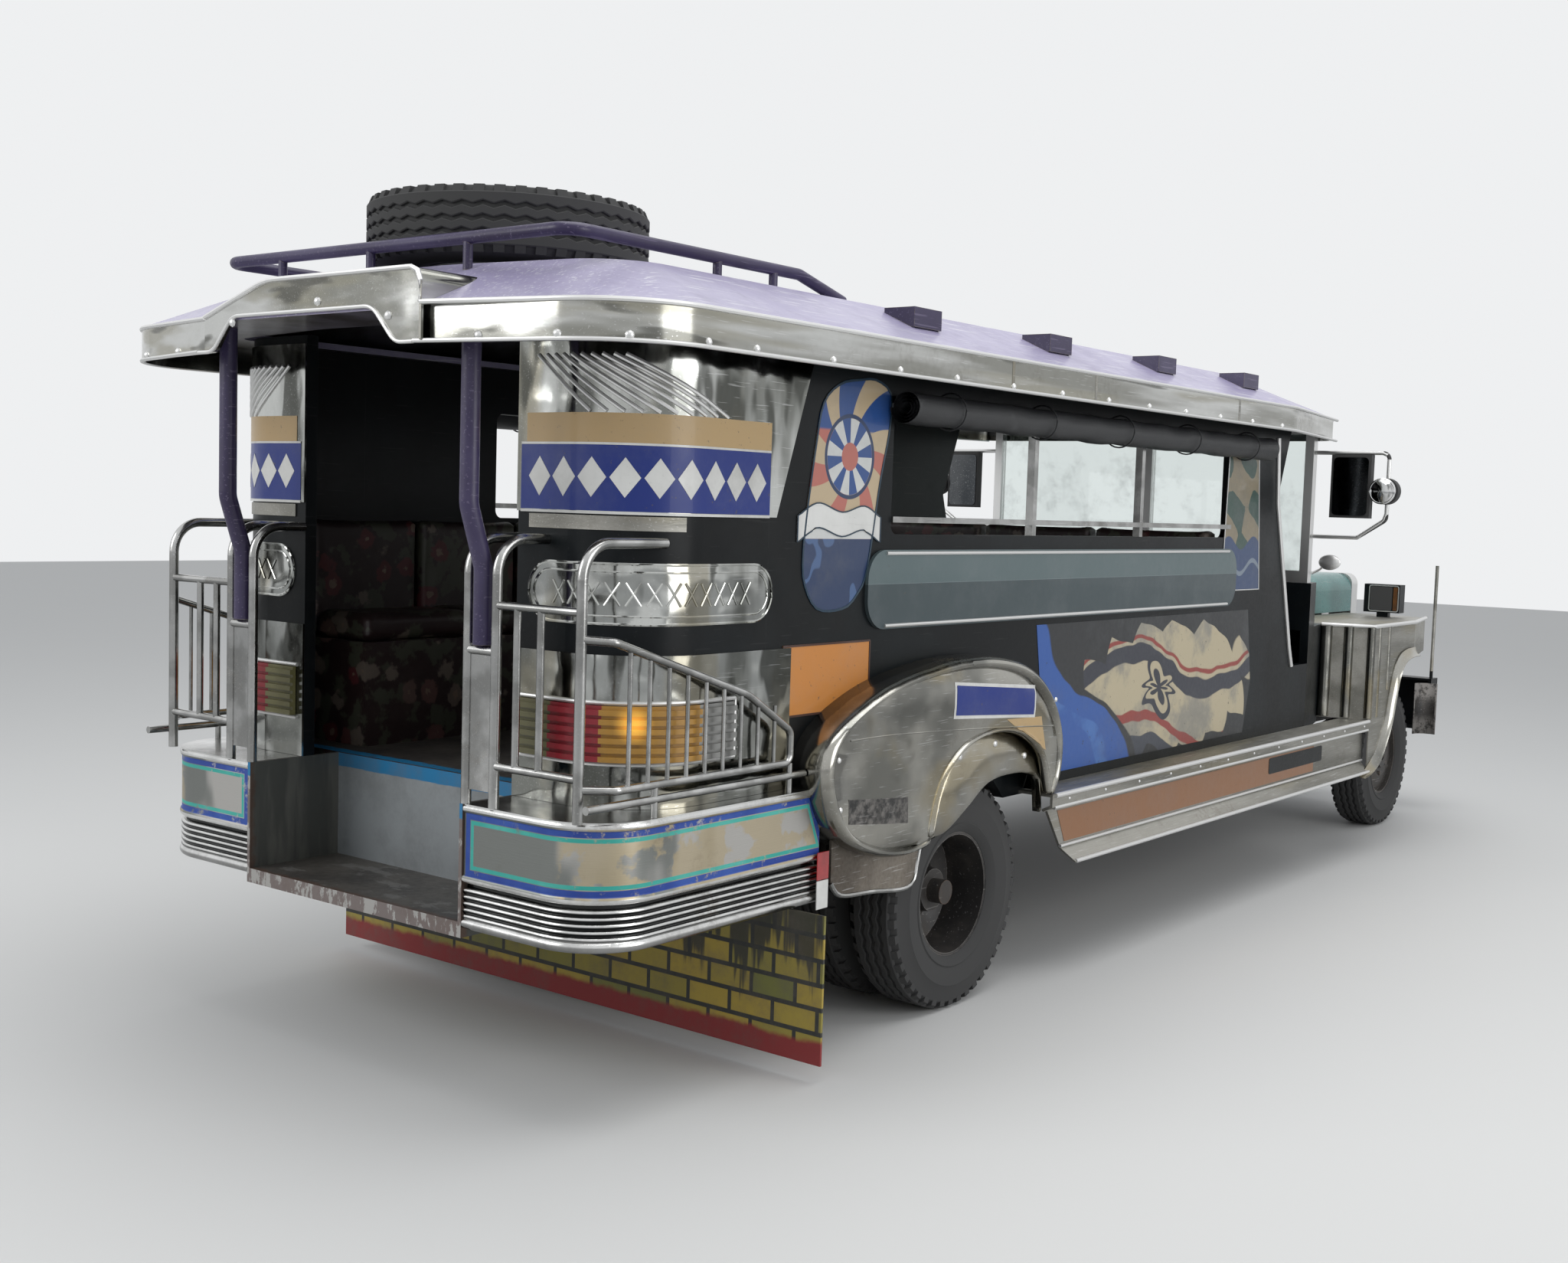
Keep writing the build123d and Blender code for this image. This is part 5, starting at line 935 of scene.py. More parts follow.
class Form:
    """Gathers the faces of one piece, then makes its object."""

    def __init__(self, name: str) -> None:
        """Start an empty form.

        Args:
            name: the piece's name.
        """
        self.name = name
        self.points: list[Vector] = []
        self.faces: list[tuple[int, ...]] = []

    def add(self, points: Sequence[Sequence[float]], faces: Sequence[Sequence[int]]) -> "Form":
        """Add points, and faces that count from the first of them."""
        base = len(self.points)
        self.points += [Vector(p) for p in points]
        self.faces += [tuple(base + i for i in face) for face in faces]
        return self

    def rings(self, rings: Sequence[Sequence[Vector]], closed: bool = True, capped: bool = True,
            loop: bool = False) -> "Form":
        """Join rings of equally many points into a skin.

        Args:
            rings: the rings, in order.
            closed: each ring's last point joins its first.
            capped: the end rings are filled.
            loop: the last ring joins the first.

        Returns:
            This form.
        """
        count = len(rings[0])
        faces: list[tuple[int, ...]] = []
        last = len(rings) if loop else len(rings) - 1
        for r in range(last):
            low, high = r * count, ((r + 1) % len(rings)) * count
            for i in range(count if closed else count - 1):
                j = (i + 1) % count
                faces.append((low + i, low + j, high + j, high + i))
        if capped and not loop and closed:
            faces.append(tuple(reversed(range(count))))
            faces.append(tuple((len(rings) - 1) * count + i for i in range(count)))
        return self.add([p for ring in rings for p in ring], faces)

    def tube(self, path: Sequence[Sequence[float]], radius: float, sides: int = 10, loop: bool = False) -> "Form":
        """A round bar along a path.

        Args:
            path: its points.
            radius: the bar's radius.
            sides: facets round it.
            loop: the path is closed.

        Returns:
            This form.
        """
        line = [Vector(p) for p in path]
        rings = []
        for i, point in enumerate(line):
            before = line[i - 1] if i or loop else point
            after = line[(i + 1) % len(line)] if i + 1 < len(line) or loop else point
            along = (after - before).normalized()
            side = along.cross(Vector((0, 0, 1)))
            if side.length < 0.05:
                side = along.cross(Vector((0, 1, 0)))
            side.normalize()
            up = side.cross(along).normalized()
            turns = (2 * math.pi * k / sides for k in range(sides))
            rings.append([point + radius * (math.cos(a) * side + math.sin(a) * up) for a in turns])
        return self.rings(rings, loop=loop)

    def dome(self, centre: Sequence[float], normal: Sequence[float], radius: float, height: float,
            sides: int = 8) -> "Form":
        """A rivet or bolt head standing on a surface.

        Args:
            centre: the foot's centre.
            normal: the way it stands.
            radius: the foot's radius.
            height: its height.
            sides: facets round it; 6 makes a hexagon head.

        Returns:
            This form.
        """
        up = Vector(normal).normalized()
        side = up.orthogonal().normalized()
        fore = up.cross(side)
        shape = ((1.0, 0.0), (1.0, 0.62), (0.86, 1.0)) if sides == 6 else ((1.0, 0.0), (0.86, 0.5), (0.5, 0.86),
            (0.16, 1.0))
        rings = []
        for wide, high in shape:
            turns = (2 * math.pi * k / sides for k in range(sides))
            foot = Vector(centre) + up * height * high
            rings.append([foot + radius * wide * (math.cos(a) * side + math.sin(a) * fore) for a in turns])
        return self.rings(rings)

    def block(self, low: Sequence[float], high: Sequence[float], chamfer: float = 0.002) -> "Form":
        """A box with chamfered edges."""
        x0, y0, z0 = low
        x1, y1, z1 = high
        rings = []
        for z, inset in ((z0, chamfer), (z0 + chamfer, 0.0), (z1 - chamfer, 0.0), (z1, chamfer)):
            a, b, c, d = x0 + inset, x1 - inset, y0 + inset, y1 - inset
            k = chamfer
            ring = ((a + k, c), (b - k, c), (b, c + k), (b, d - k), (b - k, d), (a + k, d), (a, d - k), (a, c + k))
            rings.append([Vector((x, y, z)) for x, y in ring])
        return self.rings(rings)

    def plate(self, outline: Sequence[Point2], place: Placer, lift: float, thick: float) -> "Form":
        """A flat plate cut to an outline.

        Args:
            outline: its corners in the surface's two directions.
            place: turns (u, v, height) into a point.
            lift: height of its underside over the surface.
            thick: its thickness.

        Returns:
            This form.
        """
        rings = [[place(u, v, lift + h) for u, v in outline] for h in (0.0, thick)]
        return self.rings(rings)

    def strip(self, columns: Sequence[tuple[float, float, float]], place: Placer, lift: float,
            thick: float) -> "Form":
        """A plate that follows a curved surface.

        Args:
            columns: (u, lowest v, highest v), in order of u.
            place: turns (u, v, height) into a point.
            lift: height of its underside over the surface.
            thick: its thickness.

        Returns:
            This form.
        """
        rings = []
        for u, low, high in columns:
            corners = ((low, 0.0), (high, 0.0), (high, thick), (low, thick))
            rings.append([place(u, v, lift + h) for v, h in corners])
        return self.rings(rings)

    def lathe(self, section: Sequence[Point2], centre: Sequence[float], axis: Matrix, steps: int = 72,
            loop: bool = True) -> "Form":
        """Turn a section about an axis.

        Args:
            section: (radius, distance along the axis) points.
            centre: a point of the axis.
            axis: turns the local Z axis to the real one.
            steps: facets round it.
            loop: the section is a closed outline.

        Returns:
            This form.
        """
        rings = []
        for k in range(steps):
            a = 2 * math.pi * k / steps
            ring = (axis @ Vector((r * math.cos(a), r * math.sin(a), h)) for r, h in section)
            rings.append([Vector(centre) + p for p in ring])
        return self.rings(rings, closed=loop, loop=True)

    def make(self, look: Look, slot: str, smooth: float = 35.0, stands_for: Sequence[str] = (),
            body: str = VEHICLE) -> bpy.types.Object:
        """Make the piece.

        Args:
            look: its finish.
            slot: not used.
            smooth: edges flatter than this many degrees are shaded smooth.
            stands_for: CAD nodes that it replaces.
            body: the CAD body that it rides on.

        Returns:
            The piece.
        """
        mesh = bpy.data.meshes.new(self.name)
        mesh.from_pydata([tuple(p) for p in self.points], [], self.faces)
        mesh.validate()
        mesh.update()
        mesh.shade_smooth()
        mesh.set_sharp_from_angle(angle=math.radians(smooth))
        made = bpy.data.objects.new(self.name, mesh)
        bpy.context.scene.collection.objects.link(made)
        mesh.materials.append(look.material)
        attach(made, body)
        if stands_for:
            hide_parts(*stands_for)
        log.info("%s: %d points", self.name, len(self.points))
        return made


def thicken(piece: bpy.types.Object, thickness: float, offset: float = -1.0) -> None:
    """Give an open skin the thickness of sheet metal."""
    skin = piece.modifiers.new("sheet", "SOLIDIFY")
    skin.thickness = thickness
    skin.offset = offset


def placed(points: Sequence[Point2]) -> list[Point2]:
    """Points given ahead of the rear axle and above the ground, as (X, Z)."""
    return [(at_rear_axle(x), z) for x, z in points]


@dataclass
class Sided:
    """A group of pieces on one side of the vehicle."""

    side: Side

    @property
    def sign(self) -> int:
        """The side's sign of Y."""
        return self.side.value

    @property
    def out(self) -> Vector:
        """The way that points outward."""
        return Vector((0, self.sign, 0))

    def form(self, name: str) -> Form:
        """A form whose name ends in the side's."""
        return Form(f"{name}_{self.side.name.lower()}")


def side_place(side: Side, surface: float) -> Placer:
    """A placer for a flat side: u is X, v is Z and the height goes outward from the surface's |Y|."""
    return lambda u, v, h: Vector((u, side.value * (surface + h), v))


@dataclass(frozen=True)
class RearCorner:
    """The body's rear outline in plan: straight across the rear, round the corner, then along the side."""

    side: Side
    rear_x: float = -3.189
    half_width: float = 0.895
    radius: float = 0.25
    inner_y: float = 0.46

    @property
    def straight(self) -> float:
        """Length of the stretch across the rear."""
        return self.half_width - self.radius - self.inner_y

    @property
    def turned(self) -> float:
        """Distance along the outline at the end of the corner."""
        return self.straight + self.radius * math.pi / 2

    def along_side(self, x: float) -> float:
        """Distance along the outline of a place on the side."""
        return self.turned + x - (self.rear_x + self.radius)

    def place(self, u: float, v: float, h: float) -> Vector:
        """The point at distance u along the outline, height v above ground and h outside the wall."""
        if u <= self.straight:
            x, y = self.rear_x - h, self.inner_y + u
        elif u <= self.turned:
            a = (u - self.straight) / self.radius
            out = self.radius + h
            x = self.rear_x + self.radius - out * math.cos(a)
            y = self.half_width - self.radius + out * math.sin(a)
        else:
            x, y = self.rear_x + self.radius + u - self.turned, self.half_width + h
        return Vector((x, self.side.value * y, v))


def spaced(start: float, end: float, count: int) -> list[float]:
    """Count values evenly from start to end, both included."""
    return [start + (end - start) * i / (count - 1) for i in range(count)]


def rounded(x0: float, z0: float, x1: float, z1: float, radius: float, steps: int = 5) -> list[Point2]:
    """The outline of a rectangle with round corners."""
    made = []
    corners = ((x1, z0, -90), (x1, z1, 0), (x0, z1, 90), (x0, z0, 180))
    for x, z, start in corners:
        cx = x - radius if x == x1 else x + radius
        cz = z - radius if z == z1 else z + radius
        for i in range(steps + 1):
            a = math.radians(start + 90 * i / steps)
            made.append((cx + radius * math.cos(a), cz + radius * math.sin(a)))
    return made


def frame_of(outline: Sequence[Point2], width: float) -> list[tuple[Point2, Point2]]:
    """Pairs of outer and inner points of a border that runs inside a convex outline."""
    centre = (sum(p[0] for p in outline) / len(outline), sum(p[1] for p in outline) / len(outline))
    made = []
    for i, point in enumerate(outline):
        before, after = outline[i - 1], outline[(i + 1) % len(outline)]
        tx, tz = after[0] - before[0], after[1] - before[1]
        size = math.hypot(tx, tz) or 1.0
        nx, nz = -tz / size, tx / size
        if (centre[0] - point[0]) * nx + (centre[1] - point[1]) * nz < 0:
            nx, nz = -nx, -nz
        made.append((point, (point[0] + nx * width, point[1] + nz * width)))
    return made


def border(form: Form, outline: Sequence[Point2], place: Placer, width: float, lift: float, thick: float) -> Form:
    """Add a raised border inside an outline."""
    rings = []
    for outer, inner in frame_of(outline, width):
        corners = ((outer, 0.0), (inner, 0.0), (inner, thick), (outer, thick))
        rings.append([place(p[0], p[1], lift + h) for p, h in corners])
    return form.rings(rings, loop=True)


ALONG_Y = Matrix.Rotation(math.radians(-90), 3, "X")
ALONG_X = Matrix.Rotation(math.radians(90), 3, "Y")
ALONG_Z = Matrix.Identity(3)


# ---------------------------------------------------------------- camera and studio


@dataclass
class PhotoCamera:
    """The camera that took the photograph, fitted to the vehicle's known points."""

    focal_px: float = 2222.4
    width_px: int = 2048
    sensor_mm: float = 36.0
    place: tuple[float, float, float] = (-6.351, -3.814, 1.621)
    yaw_deg: float = 37.722
    pitch_deg: float = 4.218
    roll_deg: float = -1.752

    def build(self) -> None:
        """Make the camera and give it to the scene."""
        yaw, pitch, roll = (math.radians(v) for v in (self.yaw_deg, self.pitch_deg, self.roll_deg))
        ahead = Vector((math.cos(yaw) * math.cos(pitch), math.sin(yaw) * math.cos(pitch), -math.sin(pitch)))
        level = Vector((math.sin(yaw), -math.cos(yaw), 0.0))
        down = ahead.cross(level)
        right = math.cos(roll) * level + math.sin(roll) * down
        below = -math.sin(roll) * level + math.cos(roll) * down
        turn = Matrix((right, -below, -ahead)).transposed()
        data = bpy.data.cameras.new("photo_camera")
        data.sensor_width = self.sensor_mm
        data.lens = self.focal_px / self.width_px * self.sensor_mm
        camera = bpy.data.objects.new("photo_camera", data)
        camera.matrix_world = Matrix.Translation(self.place) @ turn.to_4x4()
        bpy.context.scene.collection.objects.link(camera)
        bpy.context.scene.camera = camera


@dataclass
class Studio:
    """Pale floor, pale surround and soft lamps."""

    floor_size: float = 60.0
    floor_colour: Colour = (0.60, 0.60, 0.59)
    sky_light: float = 0.62

    def floor(self) -> None:
        """Make the floor."""
        half = self.floor_size / 2
        mesh = bpy.data.meshes.new("studio_floor")
        mesh.from_pydata([(-half, -half, 0), (half, -half, 0), (half, half, 0), (-half, half, 0)], [], [(0, 1, 2, 3)])
        made = bpy.data.objects.new("studio_floor", mesh)
        bpy.context.scene.collection.objects.link(made)
        s = Shader("studio_floor")
        colour = s.tint(self.floor_colour, (0.52, 0.52, 0.52), s.noise(0.8, 3), 0.1)
        mesh.materials.append(s.close(colour, 0.75))

    def world(self) -> None:
        """Make a soft sky that shows pale to the camera and in reflections."""
        world = bpy.data.worlds.new("studio_world")
        bpy.context.scene.world = world
        world.use_nodes = True
        tree = world.node_tree
        tree.nodes.clear()
        rays = tree.nodes.new("ShaderNodeLightPath")
        seen = rays.outputs["Is Camera Ray"]
        for kind in ("Is Glossy Ray", "Is Transmission Ray"):
            either = tree.nodes.new("ShaderNodeMath")
            either.operation = "MAXIMUM"
            tree.links.new(seen, either.inputs[0])
            tree.links.new(rays.outputs[kind], either.inputs[1])
            seen = either.outputs[0]
        light = tree.nodes.new("ShaderNodeBackground")
        light.inputs["Color"].default_value = (0.93, 0.96, 1.0, 1.0)
        light.inputs["Strength"].default_value = self.sky_light
        pale = tree.nodes.new("ShaderNodeBackground")
        pale.inputs["Color"].default_value = (0.86, 0.87, 0.88, 1.0)
        mix = tree.nodes.new("ShaderNodeMixShader")
        tree.links.new(seen, mix.inputs[0])
        tree.links.new(light.outputs[0], mix.inputs[1])
        tree.links.new(pale.outputs[0], mix.inputs[2])
        out = tree.nodes.new("ShaderNodeOutputWorld")
        tree.links.new(mix.outputs[0], out.inputs[0])

    def lamp(self, name: str, place: Sequence[float], aim: Sequence[float], size: float, power: float) -> None:
        """Hang one soft lamp.

        Args:
            name: its name.
            place: where it hangs.
            aim: the point it faces.
            size: its side.
            power: its power in watts.
        """
        data = bpy.data.lights.new(name, "AREA")
        data.size = size
        data.energy = power
        made = bpy.data.objects.new(name, data)
        made.location = place
        made.rotation_mode = "QUATERNION"
        made.rotation_quaternion = (Vector(place) - Vector(aim)).to_track_quat("Z", "Y")
        bpy.context.scene.collection.objects.link(made)

    def build(self) -> None:
        """Set the stage."""
        bpy.context.scene.view_settings.view_transform = "Standard"
        self.floor()
        self.world()
        self.lamp("overhead", (-1.0, -1.5, 8.5), (0, 0, 1), 7.0, 420)
        self.lamp("rear_left", (-9.0, 3.0, 4.5), (-2, 0, 1), 4.0, 210)
        self.lamp("right_side", (-1.0, -8.5, 3.2), (0, 0, 1), 5.0, 230)


# ---------------------------------------------------------------- carried-over nodes


@dataclass
class Dressing:
    """Gives each rigid CAD node its finish."""

    looks: dict[Look, tuple[str, ...]]

    def build(self) -> None:
        """Assign the finishes."""
        for look, names in self.looks.items():
            for name in names:
                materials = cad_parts[name].data.materials
                materials.clear()
                materials.append(look.material)
            log.info("%s on %d nodes", look.value.name, len(names))


NODE_LOOKS = {Look.CHASSIS: ("chassis_frame", "leaf_springs", "rear_axle", "front_axle", "drive_line", "fuel_tank"),
    Look.CAST: ("knuckle_right", "knuckle_left", "engine_block"), Look.WHEEL: ("wheel_front_right",
    "wheel_front_left", "wheel_rear_right", "wheel_rear_left"), Look.FLOOR: ("floor_pan",), Look.STEP: ("step_well",),
    Look.BLACK: ("corner_walls", "side_wall_right", "side_wall_left", "cowl", "signal_boxes", "bumper_front"),
    Look.MIRROR_STEEL: ("mirror_sheets", "lower_sheets"), Look.TUBE: ("window_bars", "rear_rails"),
    Look.SLATE: ("sign_boards",), Look.LAVENDER: ("roof_panel",), Look.GALVANISED: ("roof_fascia",),
    Look.VIOLET: ("roof_hoods", "roof_rack", "entrance_posts"), Look.BUMPER: ("rear_bumpers",),
    Look.TAIL_LAMP: ("tail_lamps",), Look.BRUSHED: ("running_boards", "front_fenders"),
    Look.SILVER: ("windscreen_frame", "grille_shell", "headlamps"), Look.CLEAR: ("windscreen_glass",),
    Look.TEAL: ("hood",), Look.DARK_PLASTIC: ("mirrors", "steering_wheel"), Look.MUD_FACE: ("mud_board",),
    Look.VINYL: ("bench_boxes",), Look.CHARCOAL: ("cab_seat_box", "steering_column")}


# ---------------------------------------------------------------- wheels


@dataclass
class RoadTyre:
    """A ribbed tyre with a zigzag tread that replaces a plain tyre solid."""

    node: str
    body: str
    radius: float
    width: float
    bead: float = 0.2034
    tread_depth: float = 0.010
    ribs: int = 4
    zigs: int = 44
    zig_size: float = 0.0045
    groove: float = 0.010
    flat: bool = False

    def centres(self) -> list[Vector]:
        """The centre of each tyre in the node."""
        lo, hi = (Vector(c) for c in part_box(self.node))
        middle = (lo + hi) / 2
        if self.flat:
            return [middle]
        if hi.y - lo.y < self.width * 1.5:
            return [middle]
        near = self.width / 2
        return [Vector((middle.x, lo.y + near, middle.z)), Vector((middle.x, hi.y - near, middle.z))]

    def section(self) -> list[Point2]:
        """The carcass in section, bead to bead, with the protective ribs of its side walls."""
        half, crown = self.width / 2, self.radius - self.tread_depth
        one = [(self.bead, half - 0.025), (self.bead + 0.012, half - 0.014), (self.bead + 0.030, half - 0.006),
            (self.bead + 0.034, half - 0.009), (self.bead + 0.060, half - 0.0035), (self.bead + 0.085, half - 0.001),
            (self.bead + 0.092, half), (self.bead + 0.098, half - 0.003), (self.radius - 0.045, half - 0.0085),
            (self.radius - 0.026, half - 0.012), (crown - 0.004, half - 0.026), (crown, half - 0.036)]
        return one + [(r, -h) for r, h in reversed(one)]

    def tread(self, form: Form, centre: Vector, axis: Matrix) -> None:
        """Add the zigzag ribs."""
        half = self.width / 2 - 0.030
        pitch = 2 * half / self.ribs
        steps = self.zigs * 2
        for rib in range(self.ribs):
            low, high = -half + rib * pitch, -half + (rib + 1) * pitch
            rings = []
            for k in range(steps):
                a = 2 * math.pi * k / steps
                shift = self.zig_size * (1 if k % 2 else -1)
                left = low if rib == 0 else low + self.groove / 2 + shift
                right = high if rib == self.ribs - 1 else high - self.groove / 2 + shift
                foot, top = self.radius - self.tread_depth - 0.002, self.radius
                edge = top - 0.0025
                corners = ((foot, left), (edge, left + 0.001), (top, left + 0.004), (top, right - 0.004),
                    (edge, right - 0.001), (foot, right))
                turned = (axis @ Vector((r * math.cos(a), r * math.sin(a), h)) for r, h in corners)
                rings.append([centre + p for p in turned])
            form.rings(rings, loop=True)

    def shoulder(self, form: Form, centre: Vector, axis: Matrix) -> None:
        """Add the blocks along both shoulders."""
        for k in range(self.zigs):
            a = 2 * math.pi * k / self.zigs
            for sign in (-1, 1):
                h0, h1 = sign * (self.width / 2 - 0.033), sign * (self.width / 2 - 0.0115)
                rings = []
                for b, pinch in ((a, 0.002), (a + 0.075, 0.002)):
                    corners = ((self.radius - self.tread_depth - 0.004, h0), (self.radius - pinch, h0),
                        (self.radius - 0.011, h1), (self.radius - 0.030, h1 + sign * 0.0005))
                    turned = (axis @ Vector((r * math.cos(b), r * math.sin(b), h)) for r, h in corners)
                    rings.append([centre + p for p in turned])
                form.rings(rings)

    def build(self) -> bpy.types.Object:
        """Make the tyre or tyres of the node."""
        form = Form(f"treaded_{self.node}")
        axis = ALONG_Z if self.flat else ALONG_Y
        for centre in self.centres():
            form.lathe(self.section(), centre, axis, 88)
            self.tread(form, centre, axis)
            self.shoulder(form, centre, axis)
        return form.make(Look.RUBBER, "tyre_rubber", 28, (self.node,), self.body)


@dataclass
class WheelTrim:
    """Wheel nuts, each on a thin round seat."""

    wheel: str
    side: Side
    face_y: float
    nut_circle: float = 0.098
    nuts: int = 6
    nut_radius: float = 0.0135
    nut_height: float = 0.022

    def build(self) -> None:
        """Make the wheel's small hardware."""
        lo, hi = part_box(self.wheel)
        x, z = (lo[0] + hi[0]) / 2, (lo[2] + hi[2]) / 2
        out = Vector((0, self.side.value, 0))
        form = Form(f"{self.wheel}_nuts")
        for k in range(self.nuts):
            a = 2 * math.pi * (k + 0.5) / self.nuts
            spot = (x + self.nut_circle * math.cos(a), self.side.value * self.face_y,
                z + self.nut_circle * math.sin(a))
            form.dome(spot, out, self.nut_radius, self.nut_height, 6)
            form.dome(spot, out, self.nut_radius * 1.35, 0.004, 12)
        form.make(Look.CAST, "cast_iron", body=self.wheel)


# ---------------------------------------------------------------- rear end


@dataclass
class RearQuarter(Sided):
    """Signs, ribs and plates on one rear corner of the body."""

    sheet_lift: float = 0.0064
    sign_low: float = 1.594
    sign_split: float = 1.768
    sign_high: float = 1.846
    sign_start: float = 0.036
    sign_end_x: float = -2.668
    stadium_low: float = 1.299
    stadium_high: float = 1.462

    def columns(self, start: float, end: float, low: float, high: float, corner: float = 0.0) -> list[tuple[float,
            float, float]]:
        """Columns of a wrapped plate, its ends rounded by the corner radius.

        Args:
            start: distance along the outline of the first end.
            end: distance of the other end.
            low: its lowest height.
            high: its highest height.
            corner: radius of its corners.

        Returns:
            (distance, low, high) of each column.
        """
        made = []
        for i in range(9 if corner else 1):
            a = math.pi / 2 * i / 8 if corner else math.pi / 2
            drop = corner * (1 - math.sin(a))
            made.append((start + corner * (1 - math.cos(a)), low + drop, high - drop))
        for u in spaced(start + corner, end - corner, 34)[1:-1]:
            made.append((u, low, high))
        for i in range(9 if corner else 1):
            a = math.pi / 2 * (8 - i) / 8 if corner else math.pi / 2
            drop = corner * (1 - math.sin(a))
            made.append((end - corner * (1 - math.cos(a)), low + drop, high - drop))
        return made

    def signs(self, path: RearCorner) -> None:
        """The tan band over the blue field, with bright edges, and the pale strip under it."""
        end = path.along_side(self.sign_end_x)
        form = self.form("blue_field")
        form.strip(self.columns(self.sign_start - 0.02, end, self.sign_low, self.sign_split), path.place,
            self.sheet_lift, 0.0012)
        form.make(Look.BLUE, "sign_paint")
        form = self.form("tan_band")
        form.strip(self.columns(self.sign_start, end, self.sign_split + 0.001, self.sign_high), path.place,
            self.sheet_lift, 0.0014)
        form.make(Look.TAN, "sign_paint")
        form = self.form("sign_lines")
        for low, high in ((self.sign_low - 0.008, self.sign_low - 0.001), (self.sign_split - 0.004,
                self.sign_split + 0.002)):
            form.strip(self.columns(self.sign_start - 0.02, end, low, high), path.place, self.sheet_lift, 0.0020)
        form.make(Look.WHITE_ENAMEL, "sign_paint")
        form = self.form("bright_strip")
        form.strip(self.columns(0.045, path.along_side(-3.0), 1.545, 1.582), path.place, 0.0005, 0.0035)
        form.make(Look.BRUSHED, "silver_trim")

    def diamonds(self, path: RearCorner) -> None:
        """A row of lozenges that fills the blue field."""
        form = self.form("field_lozenges")
        middle = (self.sign_low + self.sign_split) / 2
        tall, wide = 0.052, 0.040
        for u in spaced(self.sign_start + 0.05, path.along_side(self.sign_end_x) - 0.06, 9):
            columns = [(u + wide * k, middle - tall * (1 - abs(k)), middle + tall * (1 - abs(k)) + 1e-5) for k in (-1,
                -0.5, 0, 0.5, 1)]
            form.strip(columns, path.place, self.sheet_lift + 0.0010, 0.0012)
        form.make(Look.WHITE_ENAMEL, "sign_paint")

    def ribs(self, path: RearCorner) -> None:
        """Slanting pressed ribs in the mirror sheet above the sign."""
        form = self.form("slanting_ribs")
        low, high = self.sign_high + 0.004, 1.996
        for start, foot in zip(spaced(0.075, 0.345, 10), spaced(0.255, 0.660, 10)):
            line = []
            for k in range(11):
                share = k / 10
                line.append(path.place(start + (foot - start) * share, high - (high - low) * share,
                    self.sheet_lift - 0.0005))
            form.tube(line, 0.0062, 8)
        form.make(Look.SILVER, "stainless")

    def stadium(self, path: RearCorner) -> None:
        """The round-ended embossed plate on the black zone."""
        end = path.along_side(-2.640)
        high, low = self.stadium_high, self.stadium_low
        radius = (high - low) / 2
        form = self.form("stadium_plate")
        form.strip(self.columns(0.045, end, low, high, radius), path.place, 0.0004, 0.0030)
        form.make(Look.MIRROR_STEEL, "stainless")
        form = self.form("stadium_relief")
        for inset, thick in ((0.004, 0.006), (0.024, 0.0048)):
            outer = self.columns(0.045 + inset, end - inset, low + inset, high - inset, radius - inset)
            top = [path.place(u, v, 0.004) for u, _, v in outer]
            bottom = [path.place(u, v, 0.004) for u, v, _ in reversed(outer)]
            form.tube(top + bottom[1:-1], thick / 1.6, 6, loop=True)
        middle = (low + high) / 2
        for u in spaced(0.16, end - 0.12, 12):
            for lean in (-1, 1):
                line = [path.place(u + lean * 0.020 * k, middle + 0.030 * k, 0.0042) for k in (-1, 0, 1)]
                form.tube(line, 0.0032, 6)
        form.make(Look.MIRROR_STEEL, "stainless")

    def build(self) -> None:
        """Make the corner's pieces."""
        path = RearCorner(self.side)
        self.signs(path)
        self.diamonds(path)
        self.ribs(path)
        self.stadium(path)


# ---------------------------------------------------------------- sides


